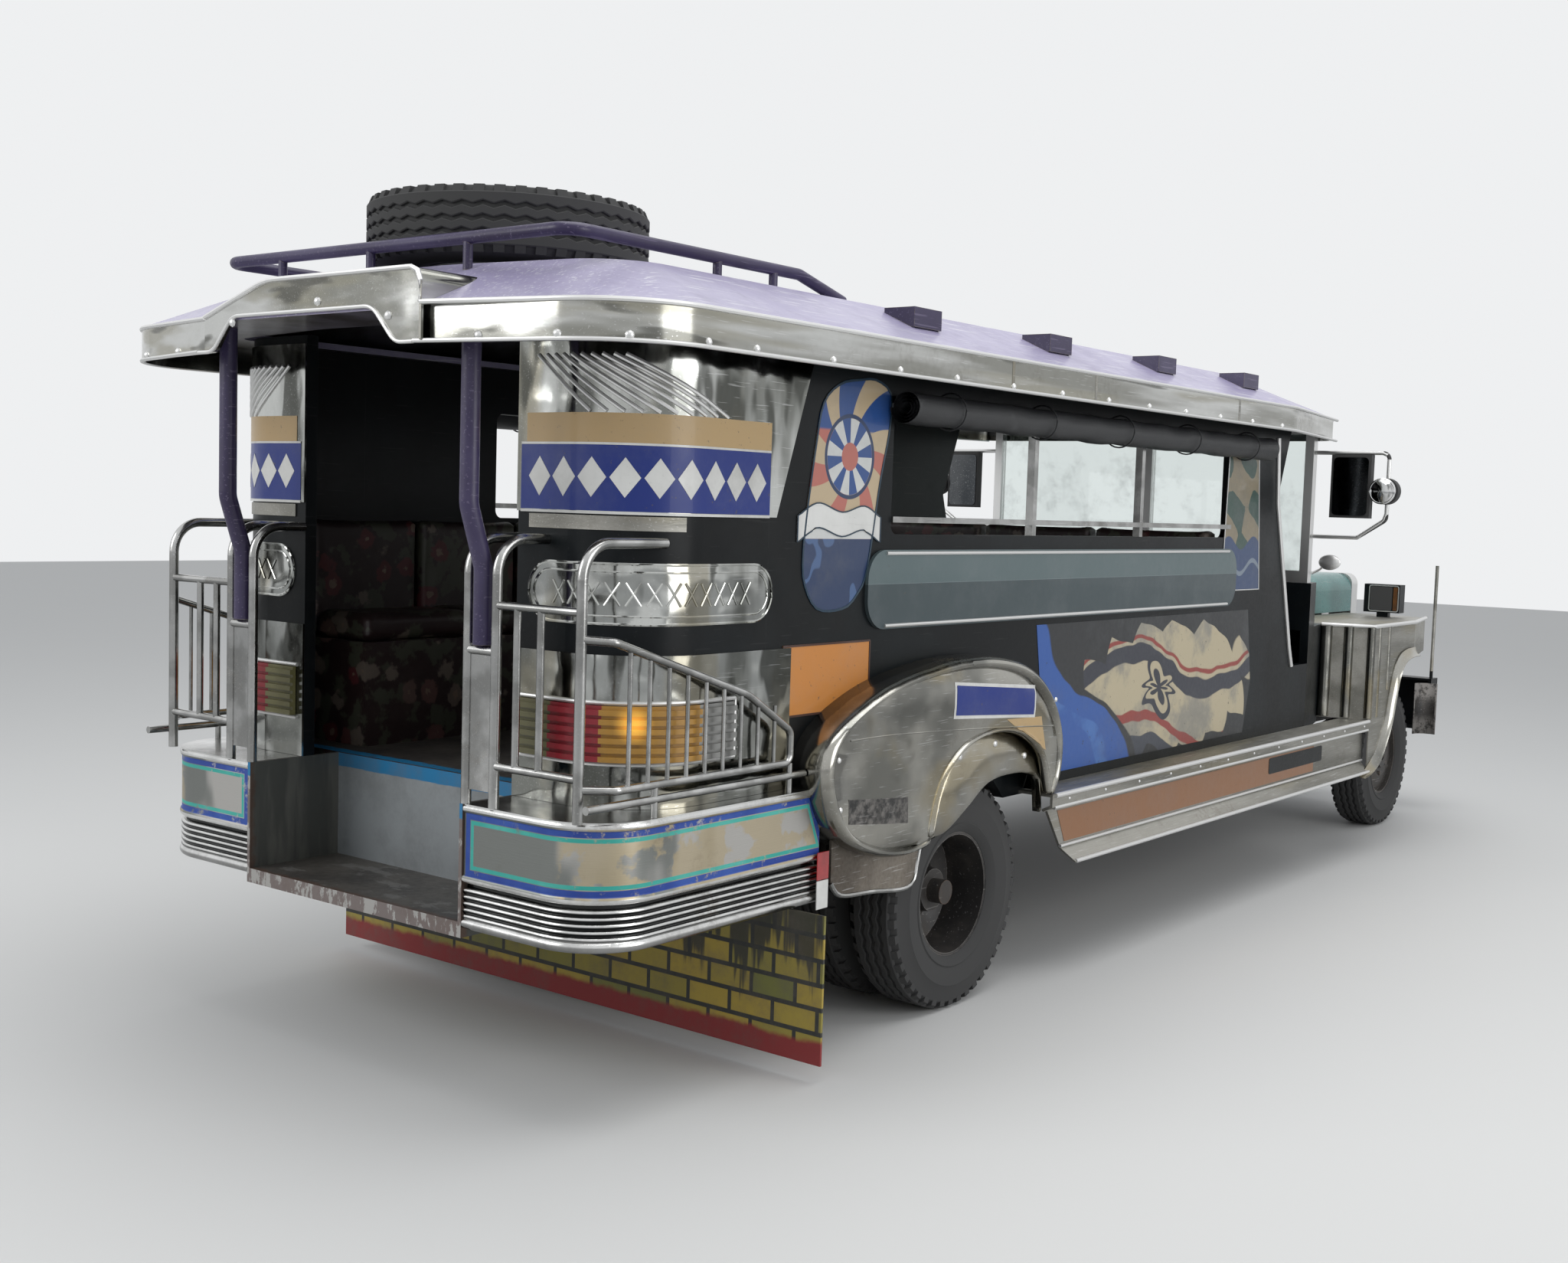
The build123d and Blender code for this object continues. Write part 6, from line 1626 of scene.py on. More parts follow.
@dataclass
class SideGraphics(Sided):
    """Painted panels, stickers and bright trims of one body side."""

    wall: float = 0.895

    def panel(self, name: str, outline: Sequence[Point2], look: Look, lift: float = 0.0003, thick: float = 0.0009,
            edge: Look = Look.SILVER, edge_width: float = 0.0) -> None:
        """One flat panel on the side.

        Args:
            name: the piece's name without its side.
            outline: its corners as (X, Z).
            look: its finish.
            lift: height of its underside over the wall.
            thick: its thickness.
            edge: finish of its border.
            edge_width: width of its border, or 0 for none.
        """
        place = side_place(self.side, self.wall)
        self.form(name).plate(outline, place, lift, thick).make(look, "sign_paint")
        if edge_width:
            rim = border(self.form(f"{name}_edge"), outline, place, edge_width, lift + thick * 0.5, thick + 0.0012)
            rim.make(edge, "silver_trim")

    def tag_outline(self) -> list[Point2]:
        """A leaning panel with an arched head and a rounded foot."""
        points = ((-0.833, 1.612), (-0.800, 1.800), (-0.769, 1.920), (-0.690, 1.980), (-0.590, 1.999),
            (-0.504, 2.004), (-0.425, 1.964), (-0.430, 1.850), (-0.469, 1.700), (-0.523, 1.437), (-0.575, 1.360),
            (-0.640, 1.323), (-0.769, 1.325), (-0.838, 1.405), (-0.846, 1.500))
        return placed(through(points + points[:1], 60)[:-1])

    def art_outline(self) -> list[Point2]:
        """The painted zone under the windows, with leaning ends."""
        corners = ((0.62, 0.70), (2.36, 0.70), (2.42, 0.92), (2.36, 1.235), (0.515, 1.235), (0.56, 1.0))
        return placed(corners)

    def window_trim(self) -> None:
        """A bright rail above the windows and the leaning door trim."""
        form = self.form("window_trim")
        y = self.sign * (self.wall + 0.004)
        rear, front = at_rear_axle(-0.42), at_rear_axle(2.135)
        form.tube([(rear, y, 1.932), (front, y, 1.932)], 0.008, 10)
        lean = ((2.880, 0.960), (2.840, 1.050), (2.626, 1.700), (2.600, 1.985))
        form.tube([(at_rear_axle(x), y, z) for x, z in lean], 0.010, 10)
        form.make(Look.SILVER, "silver_trim")

    def board_trim(self) -> None:
        """Bright trim along the sign board's upper and lower edges."""
        form = self.form("board_trim")
        lo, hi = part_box("sign_boards")
        y = self.sign * (hi[1] + 0.001)
        for z in (lo[2] + 0.010, hi[2] - 0.010):
            form.tube([(lo[0] + 0.09, y, z), (hi[0] - 0.09, y, z)], 0.006, 8)
        form.make(Look.SILVER, "silver_trim")

    def build(self) -> None:
        """Make the side's graphics and trims."""
        sticker = rounded(at_rear_axle(-0.924), 1.022, at_rear_axle(-0.494), 1.229, 0.006)
        self.panel("orange_sticker", sticker, Look.ORANGE, edge=Look.STICKER_EDGE, edge_width=0.006)
        self.panel("tag_panel", self.tag_outline(), Look.TAG, edge=Look.PANEL_EDGE, edge_width=0.007)
        ribbon = through(((-0.875, 1.520), (-0.78, 1.560), (-0.66, 1.535), (-0.55, 1.555), (-0.462, 1.520)), 24)
        wide = [(x, z + 0.075) for x, z in reversed(ribbon)]
        flag = placed(ribbon + wide)
        self.panel("ribbon", flag, Look.WHITE_ENAMEL, lift=0.0014, edge=Look.PANEL_EDGE, edge_width=0.004)
        front = placed(((2.06, 1.32), (2.465, 1.32), (2.400, 1.906), (2.085, 1.906)))
        self.panel("front_panel", front, Look.FRONT_ART, edge_width=0.008)
        self.panel("side_art", self.art_outline(), Look.SIDE_ART)
        self.window_trim()
        self.board_trim()


def through(points: Sequence[Point2], count: int) -> list[Point2]:
    """Points evenly spaced along a smooth curve through a few given ones.

    Args:
        points: the given points, in order.
        count: how many points come back.

    Returns:
        The spaced points.
    """
    fine: list[Point2] = []
    for i in range(len(points) - 1):
        a, b = points[max(i - 1, 0)], points[i]
        c, d = points[i + 1], points[min(i + 2, len(points) - 1)]
        for k in range(16):
            t = k / 16
            point = []
            for j in (0, 1):
                square = 2 * a[j] - 5 * b[j] + 4 * c[j] - d[j]
                cube = 3 * b[j] - a[j] - 3 * c[j] + d[j]
                point.append(0.5 * (2 * b[j] + (c[j] - a[j]) * t + square * t**2 + cube * t**3))
            fine.append(tuple(point))
    fine.append(tuple(points[-1]))
    run = [0.0]
    for p, q in zip(fine, fine[1:]):
        run.append(run[-1] + math.dist(p, q))
    made, k = [], 0
    for target in spaced(0.0, run[-1], count):
        while k < len(run) - 2 and run[k + 1] < target:
            k += 1
        share = (target - run[k]) / max(run[k + 1] - run[k], 1e-9)
        made.append(tuple(fine[k][j] + (fine[k + 1][j] - fine[k][j]) * share for j in (0, 1)))
    return made


@dataclass
class WheelCover(Sided):
    """The pressed steel cover over a rear wheel: a domed shell with a rolled rim, an inner plate and a lower skirt."""

    wall: float = 0.8956
    steps: int = 90
    outer: Sequence[Point2] = ((-0.340, 0.586), (-0.470, 0.580), (-0.610, 0.603), (-0.760, 0.668), (-0.846, 0.780),
        (-0.864, 0.905), (-0.778, 1.004), (-0.544, 1.098), (-0.240, 1.150), (0.043, 1.157), (0.269, 1.115), (0.424,
        1.018), (0.506, 0.890), (0.512, 0.760), (0.470, 0.668))
    arch: Sequence[Point2] = ((-0.293, 0.636), (-0.256, 0.742), (-0.196, 0.826), (-0.098, 0.883), (0.029, 0.908),
        (0.150, 0.904), (0.270, 0.870), (0.370, 0.800), (0.425, 0.668))
    opening: Sequence[Point2] = ((-0.262, 0.600), (-0.161, 0.616), (-0.039, 0.677), (0.075, 0.739), (0.197, 0.756),
        (0.330, 0.748), (0.412, 0.712), (0.436, 0.600))
    skirt: Sequence[Point2] = ((-0.752, 0.680), (-0.750, 0.536), (-0.700, 0.492), (-0.548, 0.478), (-0.338, 0.462),
        (-0.292, 0.540), (-0.270, 0.650))

    def spot(self, point: Point2, height: float) -> Vector:
        """The point on the cover at a height over the body wall."""
        return Vector((at_rear_axle(point[0]), self.sign * (self.wall + height), point[1]))

    def shell(self) -> None:
        """The domed shell from the wheel arch's lip to the rolled rim and back to the wall."""
        section = ((0, 0.004, 0.088), (0, 0.000, 0.112), (0, 0.004, 0.125), (0, 0.013, 0.129), (0, 0.022, 0.125),
            (0, 0.027, 0.117), (2, 0.35, 0.121), (2, 0.50, 0.123), (2, 0.70, 0.121), (1, 0.050, 0.112), (1, 0.044,
            0.118), (1, 0.034, 0.1285), (1, 0.022, 0.1295), (1, 0.009, 0.121), (1, 0.001, 0.104), (1, 0.000, 0.080),
            (1, 0.002, 0.0006))
        rings = []
        for inner, outer in zip(through(self.arch, self.steps), through(self.outer, self.steps)):
            wide = math.dist(inner, outer)
            ring = []
            for anchor, offset, height in section:
                share = offset / wide if anchor == 0 else 1 - offset / wide if anchor == 1 else offset
                at = tuple(inner[j] + (outer[j] - inner[j]) * share for j in (0, 1))
                ring.append(self.spot(at, height))
            rings.append(ring)
        form = self.form("wheel_cover_shell").rings(rings, closed=False)
        self.skin_tree = BVHTree.FromPolygons(form.points, form.faces)
        shell = form.make(Look.COVER, "brushed_steel", 50, ("wheel_covers",))
        thicken(shell, 0.0022, 0.0)

    def inner_plate(self) -> None:
        """The recessed plate round the wheel opening, with its lip and rivets."""
        rings = []
        for inner, outer in zip(through(self.opening, 50), through(self.arch, 50)):
            out = tuple(outer[j] + (outer[j] - inner[j]) * 0.35 for j in (0, 1))
            near = tuple(inner[j] + (outer[j] - inner[j]) * 0.10 for j in (0, 1))
            rings.append([self.spot(inner, 0.058), self.spot(inner, 0.086), self.spot(near, 0.092), self.spot(out,
                0.094)])
        form = self.form("wheel_cover_inner").rings(rings, closed=False)
        plate = form.make(Look.COVER, "brushed_steel", 40)
        thicken(plate, 0.002)
        rivets = self.form("wheel_cover_rivets")
        for spot in ((-0.110, 0.845), (-0.236, 0.690), (0.105, 0.868), (0.300, 0.810)):
            rivets.dome(self.spot(spot, 0.0945), self.out, 0.012, 0.006)
        for spot in ((-0.800, 0.905), (-0.785, 0.760), (0.455, 0.990)):
            rivets.dome(self.spot(spot, 0.120), self.out, 0.009, 0.005)
        rivets.make(Look.SILVER, "silver_trim")

    def lower_skirt(self) -> None:
        """The rusted skirt plate set back under the shell, behind the wheel."""
        outline = [self.skirt[0]] + through(self.skirt[1:], 24)
        place = lambda u, v, h: self.spot((u, v), h)
        form = self.form("wheel_cover_skirt").plate(outline, place, 0.060, 0.008)
        form.make(Look.SKIRT, "brushed_steel", 40)
        rim = self.form("wheel_cover_skirt_rim")
        rim.tube([self.spot(p, 0.066) for p in through(self.skirt[1:], 30)], 0.008, 8)
        rim.make(Look.TUBE, "bright_tube")

    def laid(self, name: str, corners: Sequence[Point2], look: Look, thick: float = 0.0022, cells: int = 10) -> None:
        """A thin plate that follows the shell between four corners.

        Args:
            name: the piece's name without its side.
            corners: its four corners, ahead of the rear axle and above the ground.
            look: its finish.
            thick: how far its face stands over the shell.
            cells: how many cells it is divided into each way.
        """
        a, b, c, d = corners
        rings = []
        for i in range(cells + 1):
            s = i / cells
            column = []
            for j in range(cells + 1):
                t = j / cells
                low = tuple(a[k] + (b[k] - a[k]) * s for k in (0, 1))
                high = tuple(d[k] + (c[k] - d[k]) * s for k in (0, 1))
                column.append(self.on_shell(tuple(low[k] + (high[k] - low[k]) * t for k in (0, 1))))
            out = self.out
            rings.append([p - out * 0.001 for p in column] + [p + out * thick for p in reversed(column)])
        self.form(name).rings(rings).make(look, "sign_paint", 50)

    def on_shell(self, point: Point2) -> Vector:
        """The point of the shell's outer face at a place seen from the side."""
        start = self.spot(point, 0.30)
        hit = self.skin_tree.ray_cast(start, Vector((0, -self.sign, 0)))[0]
        return hit or self.spot(point, 0.120)

    def dress(self) -> None:
        """The seam, the bare plates and patches on the shell."""
        out = Vector((0, self.sign * 0.001, 0))
        seam = [self.on_shell(p) + out for p in through(((-0.740, 0.955), (-0.51, 0.955), (0.0, 0.930),
            (0.44, 0.902)), 40)]
        self.form("cover_seam").tube(seam, 0.0026, 6).make(Look.COVER, "brushed_steel")
        self.laid("bare_blue_edge", ((-0.202, 0.976), (0.308, 0.941), (0.314, 1.049), (-0.198, 1.091)),
            Look.WHITE_ENAMEL)
        self.laid("bare_blue_plate", ((-0.190, 0.986), (0.298, 0.952), (0.303, 1.038), (-0.187, 1.080)), Look.BLUE,
            0.0034)
        self.laid("tan_patch", ((0.225, 0.902), (0.398, 0.822), (0.352, 0.941), (0.130, 0.948)), Look.TAN)
        self.laid("dark_plate", ((-0.735, 0.711), (-0.440, 0.680), (-0.444, 0.760), (-0.740, 0.785)), Look.EMBOSSED)

    def build(self) -> None:
        """Make the cover's pieces."""
        self.shell()
        self.inner_plate()
        self.lower_skirt()
        self.dress()


@dataclass
class RearShadeSheetsAndReflector(Sided):
    """Dark sheets behind the rear louvres and lamp slats, painted shade that shows between them, and the reflector
    posts.
    """

    rear_x: float = -3.350
    half_width: float = 0.932
    radius: float = 0.175
    inner_y: float = 0.474

    def outline(self, inset: float, front_x: float, count: int = 26) -> list[Point2]:
        """Plan points (X, |Y|) inside the bumper's outline, from the step round to the front end."""
        rear, half, radius = self.rear_x + inset, self.half_width - inset, self.radius - inset
        made = [(rear, self.inner_y), (rear, half - radius)]
        for i in range(1, count):
            a = math.pi / 2 * i / count
            made.append((rear + radius - radius * math.cos(a), half - radius + radius * math.sin(a)))
        return made + [(rear + radius, half), (front_x, half)]

    def louvre_shade_sheet(self) -> None:
        """A black sheet behind the louvre tubes: painted shade between them."""
        form = self.form("louvre_shade_sheet")
        rings = []
        for x, y in self.outline(0.0, at_rear_axle(-0.90)):
            rings.append([Vector((x, self.sign * y, z)) for z in (0.496, 0.622)])
        form.rings(rings, closed=False)
        # Black sheet: painted shade between the louvre tubes.
        sheet = form.make(Look.BLACK, "black_paint", 50)
        thicken(sheet, 0.003)

    def lamp_slat_shade(self) -> None:
        """A dark strip behind the tail lamp's slats, painted shade that shows between them, and the lamp's bright
        surround.
        """
        path = RearCorner(self.side)
        end = path.along_side(at_rear_axle(-1.150))
        columns = [(u, 0.946, 1.090) for u in spaced(0.030, end, 34)]
        # Dark strip: painted shade between the lamp slats.
        self.form("lamp_slat_shade").strip(columns, path.place, 0.0064, 0.0016).make(Look.BLACK, "black_paint")
        form = self.form("lamp_surround")
        for z in (0.938, 1.098):
            form.tube([path.place(u, z, 0.010) for u in spaced(0.020, end + 0.01, 34)], 0.006, 8)
        form.tube([path.place(end + 0.01, z, 0.010) for z in (0.938, 1.098)], 0.006, 8)
        form.make(Look.SILVER, "silver_trim")

    def reflector(self) -> None:
        """The red and white reflector strip at the bumper's front end."""
        x0, x1 = at_rear_axle(-0.825), at_rear_axle(-0.770)
        y = self.sign * 0.966
        for name, low, high, look in (("red_reflector", 0.555, 0.636, Look.RED_LENS), ("white_reflector", 0.470,
                0.553, Look.WHITE_ENAMEL)):
            form = self.form(name)
            form.block((x0, min(y, y + self.sign * 0.004), low), (x1, max(y, y + self.sign * 0.004), high), 0.001)
            form.make(look, "lamp_plastic")

    def build(self) -> None:
        """Make the shade sheets, the lamp surround and the reflector."""
        self.louvre_shade_sheet()
        self.lamp_slat_shade()
        self.reflector()


@dataclass
class MirrorSheetEnd(Sided):
    """The mirror sheet's leaning front end on the body side."""

    wall: float = 0.8953

    def build(self) -> None:
        """Make the sheet's end."""
        place = side_place(self.side, self.wall)
        start = at_rear_axle(-1.0002)
        outline = [(start, 1.588), (at_rear_axle(-0.975), 1.588), (at_rear_axle(-0.811), 2.060), (start, 2.060)]
        self.form("mirror_sheet_end").plate(outline, place, 0.0, 0.0058).make(Look.MIRROR_STEEL, "stainless")


@dataclass
class BoardTrim(Sided):
    """Bright edges, the coloured strip and a flat black plate painted as the shaded slot of a running board."""

    rear: float = 0.455
    front: float = 3.590

    def build(self) -> None:
        """Make the board's trims."""
        sign = self.sign
        x0, x1 = at_rear_axle(self.rear), at_rear_axle(self.front)
        slant = at_rear_axle(0.600)
        form = self.form("board_edges")
        form.tube([(x0, sign * 1.030, 0.660), (x1, sign * 1.030, 0.660)], 0.009, 10)
        form.tube([(x0, sign * 1.026, 0.618), (x1, sign * 1.026, 0.618)], 0.007, 10)
        form.tube([(slant, sign * 1.041, 0.414), (x1, sign * 1.041, 0.414)], 0.008, 10)
        form.tube([(slant - 0.05, sign * 1.004, 0.468), (x1, sign * 1.004, 0.468)], 0.006, 10)
        form.make(Look.SILVER, "silver_trim")
        place = side_place(self.side, 1.0003)
        strip = [(x0 + 0.07, 0.596), (x0 + 0.13, 0.480), (at_rear_axle(2.95), 0.480), (at_rear_axle(2.95), 0.596)]
        self.form("board_strip").plate(strip, place, 0.0, 0.001).make(Look.COPPER_STRIP, "sign_paint")
        # A flat black plate: painted shade of the slot's recess.
        slot = rounded(at_rear_axle(2.42), 0.520, at_rear_axle(3.05), 0.590, 0.012)
        self.form("board_slot_shade").plate(slot, place, 0.0012, 0.0012).make(Look.BLACK, "black_paint")
        rivets = self.form("board_rivets")
        for x in spaced(x0 + 0.10, x1 - 0.06, 12):
            rivets.dome((x, sign * 1.0305, 0.640), (0, sign, 0), 0.006, 0.004)
        rivets.make(Look.SILVER, "silver_trim")


@dataclass
class RoofEdge:
    """Rolled lips, dome rivets and seams along the roof's sheet-metal edge and its visor."""

    half: float = 1.0905
    front_half: float = 0.9405
    corner: float = 0.290
    middle: float = 0.349
    swept_x: float = -3.4245
    bow: float = 1.308
    low_z: float = 2.002
    high_z: float = 2.0965
    rivet_z: float = 2.0135
    rivet_x: Sequence[float] = (-1.505, -1.317, -0.990, -0.670, -0.369, -0.040, 0.275, 0.602, 0.914, 1.22, 1.53, 1.84,
        2.15)
    visor: Sequence[Point2] = ((-0.485, 2.0965), (-0.485, 2.150), (-0.474, 2.174), (-0.450, 2.184), (0.086, 2.184))

    @property
    def rear_x(self) -> float:
        """X of the fascia's rear face."""
        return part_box("roof_fascia")[0][0] - 0.0005

    def turned(self, first: Point2, middle: Point2, last: Point2, radius: float, steps: int = 10) -> list[Point2]:
        """Points of the round that a fillet puts on a corner."""
        before = Vector((first[0] - middle[0], first[1] - middle[1])).normalized()
        after = Vector((last[0] - middle[0], last[1] - middle[1])).normalized()
        half = before.angle(after) / 2
        reach = radius / math.tan(half)
        centre = Vector(middle) + (before + after).normalized() * (radius / math.sin(half))
        start, end = Vector(middle) + before * reach - centre, Vector(middle) + after * reach - centre
        first_angle, sweep = math.atan2(start.y, start.x), math.atan2(end.y, end.x) - math.atan2(start.y, start.x)
        sweep = (sweep + math.pi) % (2 * math.pi) - math.pi
        angles = (first_angle + sweep * k / steps for k in range(steps + 1))
        return [(centre.x + radius * math.cos(a), centre.y + radius * math.sin(a)) for a in angles]

    def outline(self) -> list[Point2]:
        """Plan points (X, |Y|) of the fascia's outer face, from the rear centre to the front."""
        centre, bend = (self.rear_x, 0.0), (self.rear_x, self.middle)
        corner, front = (self.swept_x, self.half), (at_rear_axle(2.30), self.half)
        made = [centre] + self.turned(centre, bend, corner, self.bow) + self.turned(bend, corner, front, self.corner,
            16)
        return made + [front, (at_rear_axle(3.19), self.front_half)]

    def visor_line(self) -> list[Point2]:
        """The visor's upper edge as (Y, Z), from its square right end to its long left shoulder."""
        shoulder = self.turned((0.0, 2.184), (0.150, 2.184), (0.430, 2.098), 0.300, 8)
        return list(self.visor[:-1]) + [p for p in shoulder if p[0] > -0.2] + [(0.430, 2.0965)]

    def notch_line(self) -> list[Point2]:
        """The entrance notch's edge as (Y, Z)."""
        half = [(-0.460, 2.0005)]
        half += self.turned((-0.460, 2.0005), (-0.390, 2.0005), (-0.300, 2.095), 0.060, 5)
        half += self.turned((-0.390, 2.0005), (-0.300, 2.095), (0.0, 2.095), 0.070, 5)
        return half + [(-y, z) for y, z in reversed(half)]

    def lips(self) -> None:
        """The rolled lips along the top and bottom edges."""
        form = Form("fascia_lips")
        rear = self.rear_x
        for side in Side:
            points = self.outline()
            start = 0.485 if side is Side.RIGHT else 0.430
            top = [(x, side.value * y, self.high_z) for x, y in points if y > start]
            form.tube([(rear, side.value * start, self.high_z)] + top, 0.0070, 8)
            bottom = [(x, side.value * y, self.low_z) for x, y in points if y > 0.47]
            form.tube([(rear, side.value * 0.460, self.low_z)] + bottom, 0.0060, 8)
        form.tube([(rear, y, z) for y, z in self.visor_line()], 0.0070, 8)
        form.tube([(rear, y, z) for y, z in self.notch_line()], 0.0055, 8)
        form.make(Look.SILVER, "silver_trim")

    def rivets(self) -> None:
        """Dome rivets round the edge and on the visor, and the seams between the sheets."""
        form, seams = Form("fascia_rivets"), Form("fascia_seams")
        back = Vector((-1, 0, 0))
        for y, z in ((-0.363, 2.068), (-0.077, 2.117), (0.298, 2.077)):
            form.dome((self.rear_x + 0.0006, y, z), back, 0.0125, 0.009)
        points = self.outline()
        for side in Side:
            for target in (0.640, 0.870, 1.020):
                spot, normal = self.at_width(points, target, side)
                form.dome(spot - normal * 0.0012, normal, 0.0125, 0.009)
            for x in self.rivet_x:
                form.dome((at_rear_axle(x), side.value * (self.half - 0.0009), self.rivet_z), (0, side.value, 0),
                    0.0115, 0.0085)
            for x in (-0.05, 0.50, 1.70):
                place = at_rear_axle(x)
                low, high = sorted((side.value * (self.half - 0.0008), side.value * (self.half + 0.0008)))
                seams.block((place, low, 2.006), (place + 0.016, high, 2.092), 0.0004)
        end = -0.487
        seams.block((self.rear_x - 0.002, end - 0.004, 2.004), (self.rear_x + 0.001, end + 0.004, 2.150), 0.0004)
        form.make(Look.SILVER, "silver_trim")
        seams.make(Look.COVER, "silver_trim")

    def at_width(self, points: Sequence[Point2], target: float, side: Side) -> tuple[Vector, Vector]:
        """The place on the rear outline at a distance from the centre plane, and the outward direction there."""
        for (x0, y0), (x1, y1) in zip(points, points[1:]):
            if y0 <= target <= y1 and y1 > y0:
                share = (target - y0) / (y1 - y0)
                normal = Vector((-(y1 - y0), side.value * (x1 - x0), 0)).normalized()
                return Vector((x0 + (x1 - x0) * share, side.value * target, self.rivet_z)), normal
        raise ValueError(f"no outline at {target}")

    def build(self) -> None:
        """Make the edge's trims."""
        self.lips()
        self.rivets()


@dataclass
class FrontTrim(Sided):
    """Fluted fender faces, the rolled fender lip, bumper cups, lamps and mirrors of one side."""


    def spot(self, x: float, y: float, z: float) -> Vector:
        """A point given by its distance ahead of the rear axle and from the centre plane."""
        return Vector((at_rear_axle(x), self.sign * y, z))

    def fender(self) -> None:
        """Half-round columns on the rear face and flank, and the rolled lip along the top edge."""
        form = self.form("fender_flutes")
        for share, radius in ((0.10, 0.030), (0.52, 0.024), (0.94, 0.020)):
            x, y = 3.535 + 0.075 * share, 0.790 + 0.240 * share
            form.tube([self.spot(x + 0.004, y, 0.672), self.spot(x + 0.004, y, 1.116)], radius, 16)
        for x in (3.70, 3.84):
            form.tube([self.spot(x, 1.020, 0.80 if x > 3.8 else 0.672), self.spot(x, 1.020, 1.116)], 0.015, 12)
        form.make(Look.COVER, "brushed_steel", 60)
        lip = self.form("fender_lip")
        top = [self.spot(3.535, 0.792, 1.122), self.spot(3.612, 1.030, 1.122), self.spot(4.250, 1.022, 1.122),
            self.spot(4.700, 0.932, 1.122)]
        lip.tube(top, 0.010, 10)
        lip.make(Look.SILVER, "silver_trim", 60)
        self.flare()

    def flare(self) -> None:
        """The flared lip round the wheel arch that sweeps down to the running board, and the plate behind it."""
        arch = through(((3.500, 0.392), (3.600, 0.410), (3.705, 0.455), (3.790, 0.540), (3.860, 0.640),
            (3.905, 0.760), (3.950, 0.860), (4.020, 0.925), (4.120, 0.950), (4.240, 0.955)), 46)
        rings = []
        for i, (x, z) in enumerate(arch):
            before, after = arch[max(i - 1, 0)], arch[min(i + 1, len(arch) - 1)]
            along = Vector((after[0] - before[0], after[1] - before[1])).normalized()
            back = Vector((-along.y, along.x))
            taper = min(1.0, 0.35 + i / 12)
            ring = []
            for step, out in ((0.040, 1.0312), (0.022, 1.0345), (0.008, 1.0420), (0.0, 1.0560), (-0.002, 1.0600),
                    (-0.005, 1.0590), (-0.003, 1.0520), (0.004, 1.0400), (0.014, 1.0300), (0.040, 1.0270)):
                ring.append(self.spot(x + back.x * step * taper, out, z + back.y * step * taper))
            rings.append(ring)
        form = self.form("fender_flare").rings(rings)
        form.make(Look.COVER, "brushed_steel", 60)
        outline = [(3.597, 0.667), (3.597, 0.420)] + [p for p in arch if 3.60 < p[0] < 3.872]
        place = lambda u, v, h: self.spot(u, 1.024 + h, v)
        outline = outline + [(3.868, 0.667)]
        plate = self.form("fender_skirt").plate(outline, place, 0.0, 0.005)
        plate.make(Look.BRUSHED, "brushed_steel", 40)

    def bumper_cup(self) -> None:
        """The open half-round cup at the front bumper's end, and the guide pole's sleeve."""
        form = self.form("bumper_cup")
        rings = []
        for a in spaced(0.10, math.pi * 0.62, 15):
            x, y = 4.80 + 0.085 * math.sin(a), 0.935 - 0.075 * math.cos(a)
            rings.append([self.spot(x, y, z) for z in (0.475, 0.755)])
        form.rings(rings, closed=False)
        cup = form.make(Look.WHEEL, "black_paint", 60)
        thicken(cup, 0.005)
        pole = self.form("guide_pole_sleeve")
        pole.tube([self.spot(5.159, 0.840, 0.800), self.spot(5.159, 0.840, 1.3965)], 0.0096, 12)
        pole.make(Look.BRUSHED, "bright_tube", 60)

    def mirrors(self) -> None:
        """Glass faces, rims and plated arms of the door mirrors and the oval mirror on the cowl."""
        glass = self.form("mirror_glass")
        lo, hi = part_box("mirrors")
        face = lo[0] - 0.0004
        plate = rounded(0.9645, 1.657, 1.1255, 1.923, 0.020)
        place = lambda u, v, h: Vector((face - h, self.sign * u, v))
        glass.plate(plate, place, 0.0, 0.0015)
        glass.make(Look.MIRROR_GLASS, "silver_trim")
        dome = self.form("round_mirror")
        centre = Vector((hi[0] - 0.0875, self.sign * 1.205, 1.770))
        back = Matrix.Rotation(math.radians(-90), 3, "Y")
        dome.lathe(((0.0005, 0.020), (0.022, 0.0175), (0.040, 0.011), (0.052, 0.003), (0.0545, 0.004),
            (0.0598, 0.001), (0.0598, -0.006), (0.0005, -0.004)), centre, back, 40)
        dome.make(Look.CHROME, "silver_trim", 40)
        arms = self.form("mirror_arms")
        x = hi[0] - 0.0095
        loop = [(0.862, 1.945), (1.175, 1.945), (1.196, 1.936), (1.205, 1.915), (1.205, 1.668), (1.196, 1.640),
            (1.185, 1.630), (1.075, 1.555), (0.862, 1.555)]
        arms.tube([Vector((x, self.sign * y, z)) for y, z in loop], 0.0098, 10)
        arms.make(Look.SILVER, "silver_trim")
        oval = self.form("oval_mirror")
        rings = []
        for along, size in ((0.0, 0.30), (0.004, 0.86), (0.010, 1.0), (0.020, 0.97), (0.034, 0.75), (0.044, 0.35)):
            turns = spaced(0, 2 * math.pi * 23 / 24, 24)
            rings.append([self.spot(3.128 + along, 0.958 + 0.052 * size * math.cos(a),
                1.436 + 0.036 * size * math.sin(a)) for a in turns])
        oval.rings(rings)
        oval.tube([self.spot(3.165, 0.935, 1.430), self.spot(3.175, 0.900, 1.400), self.spot(3.180, 0.862, 1.380)],
            0.006, 8)
        oval.make(Look.SILVER, "silver_trim", 50)

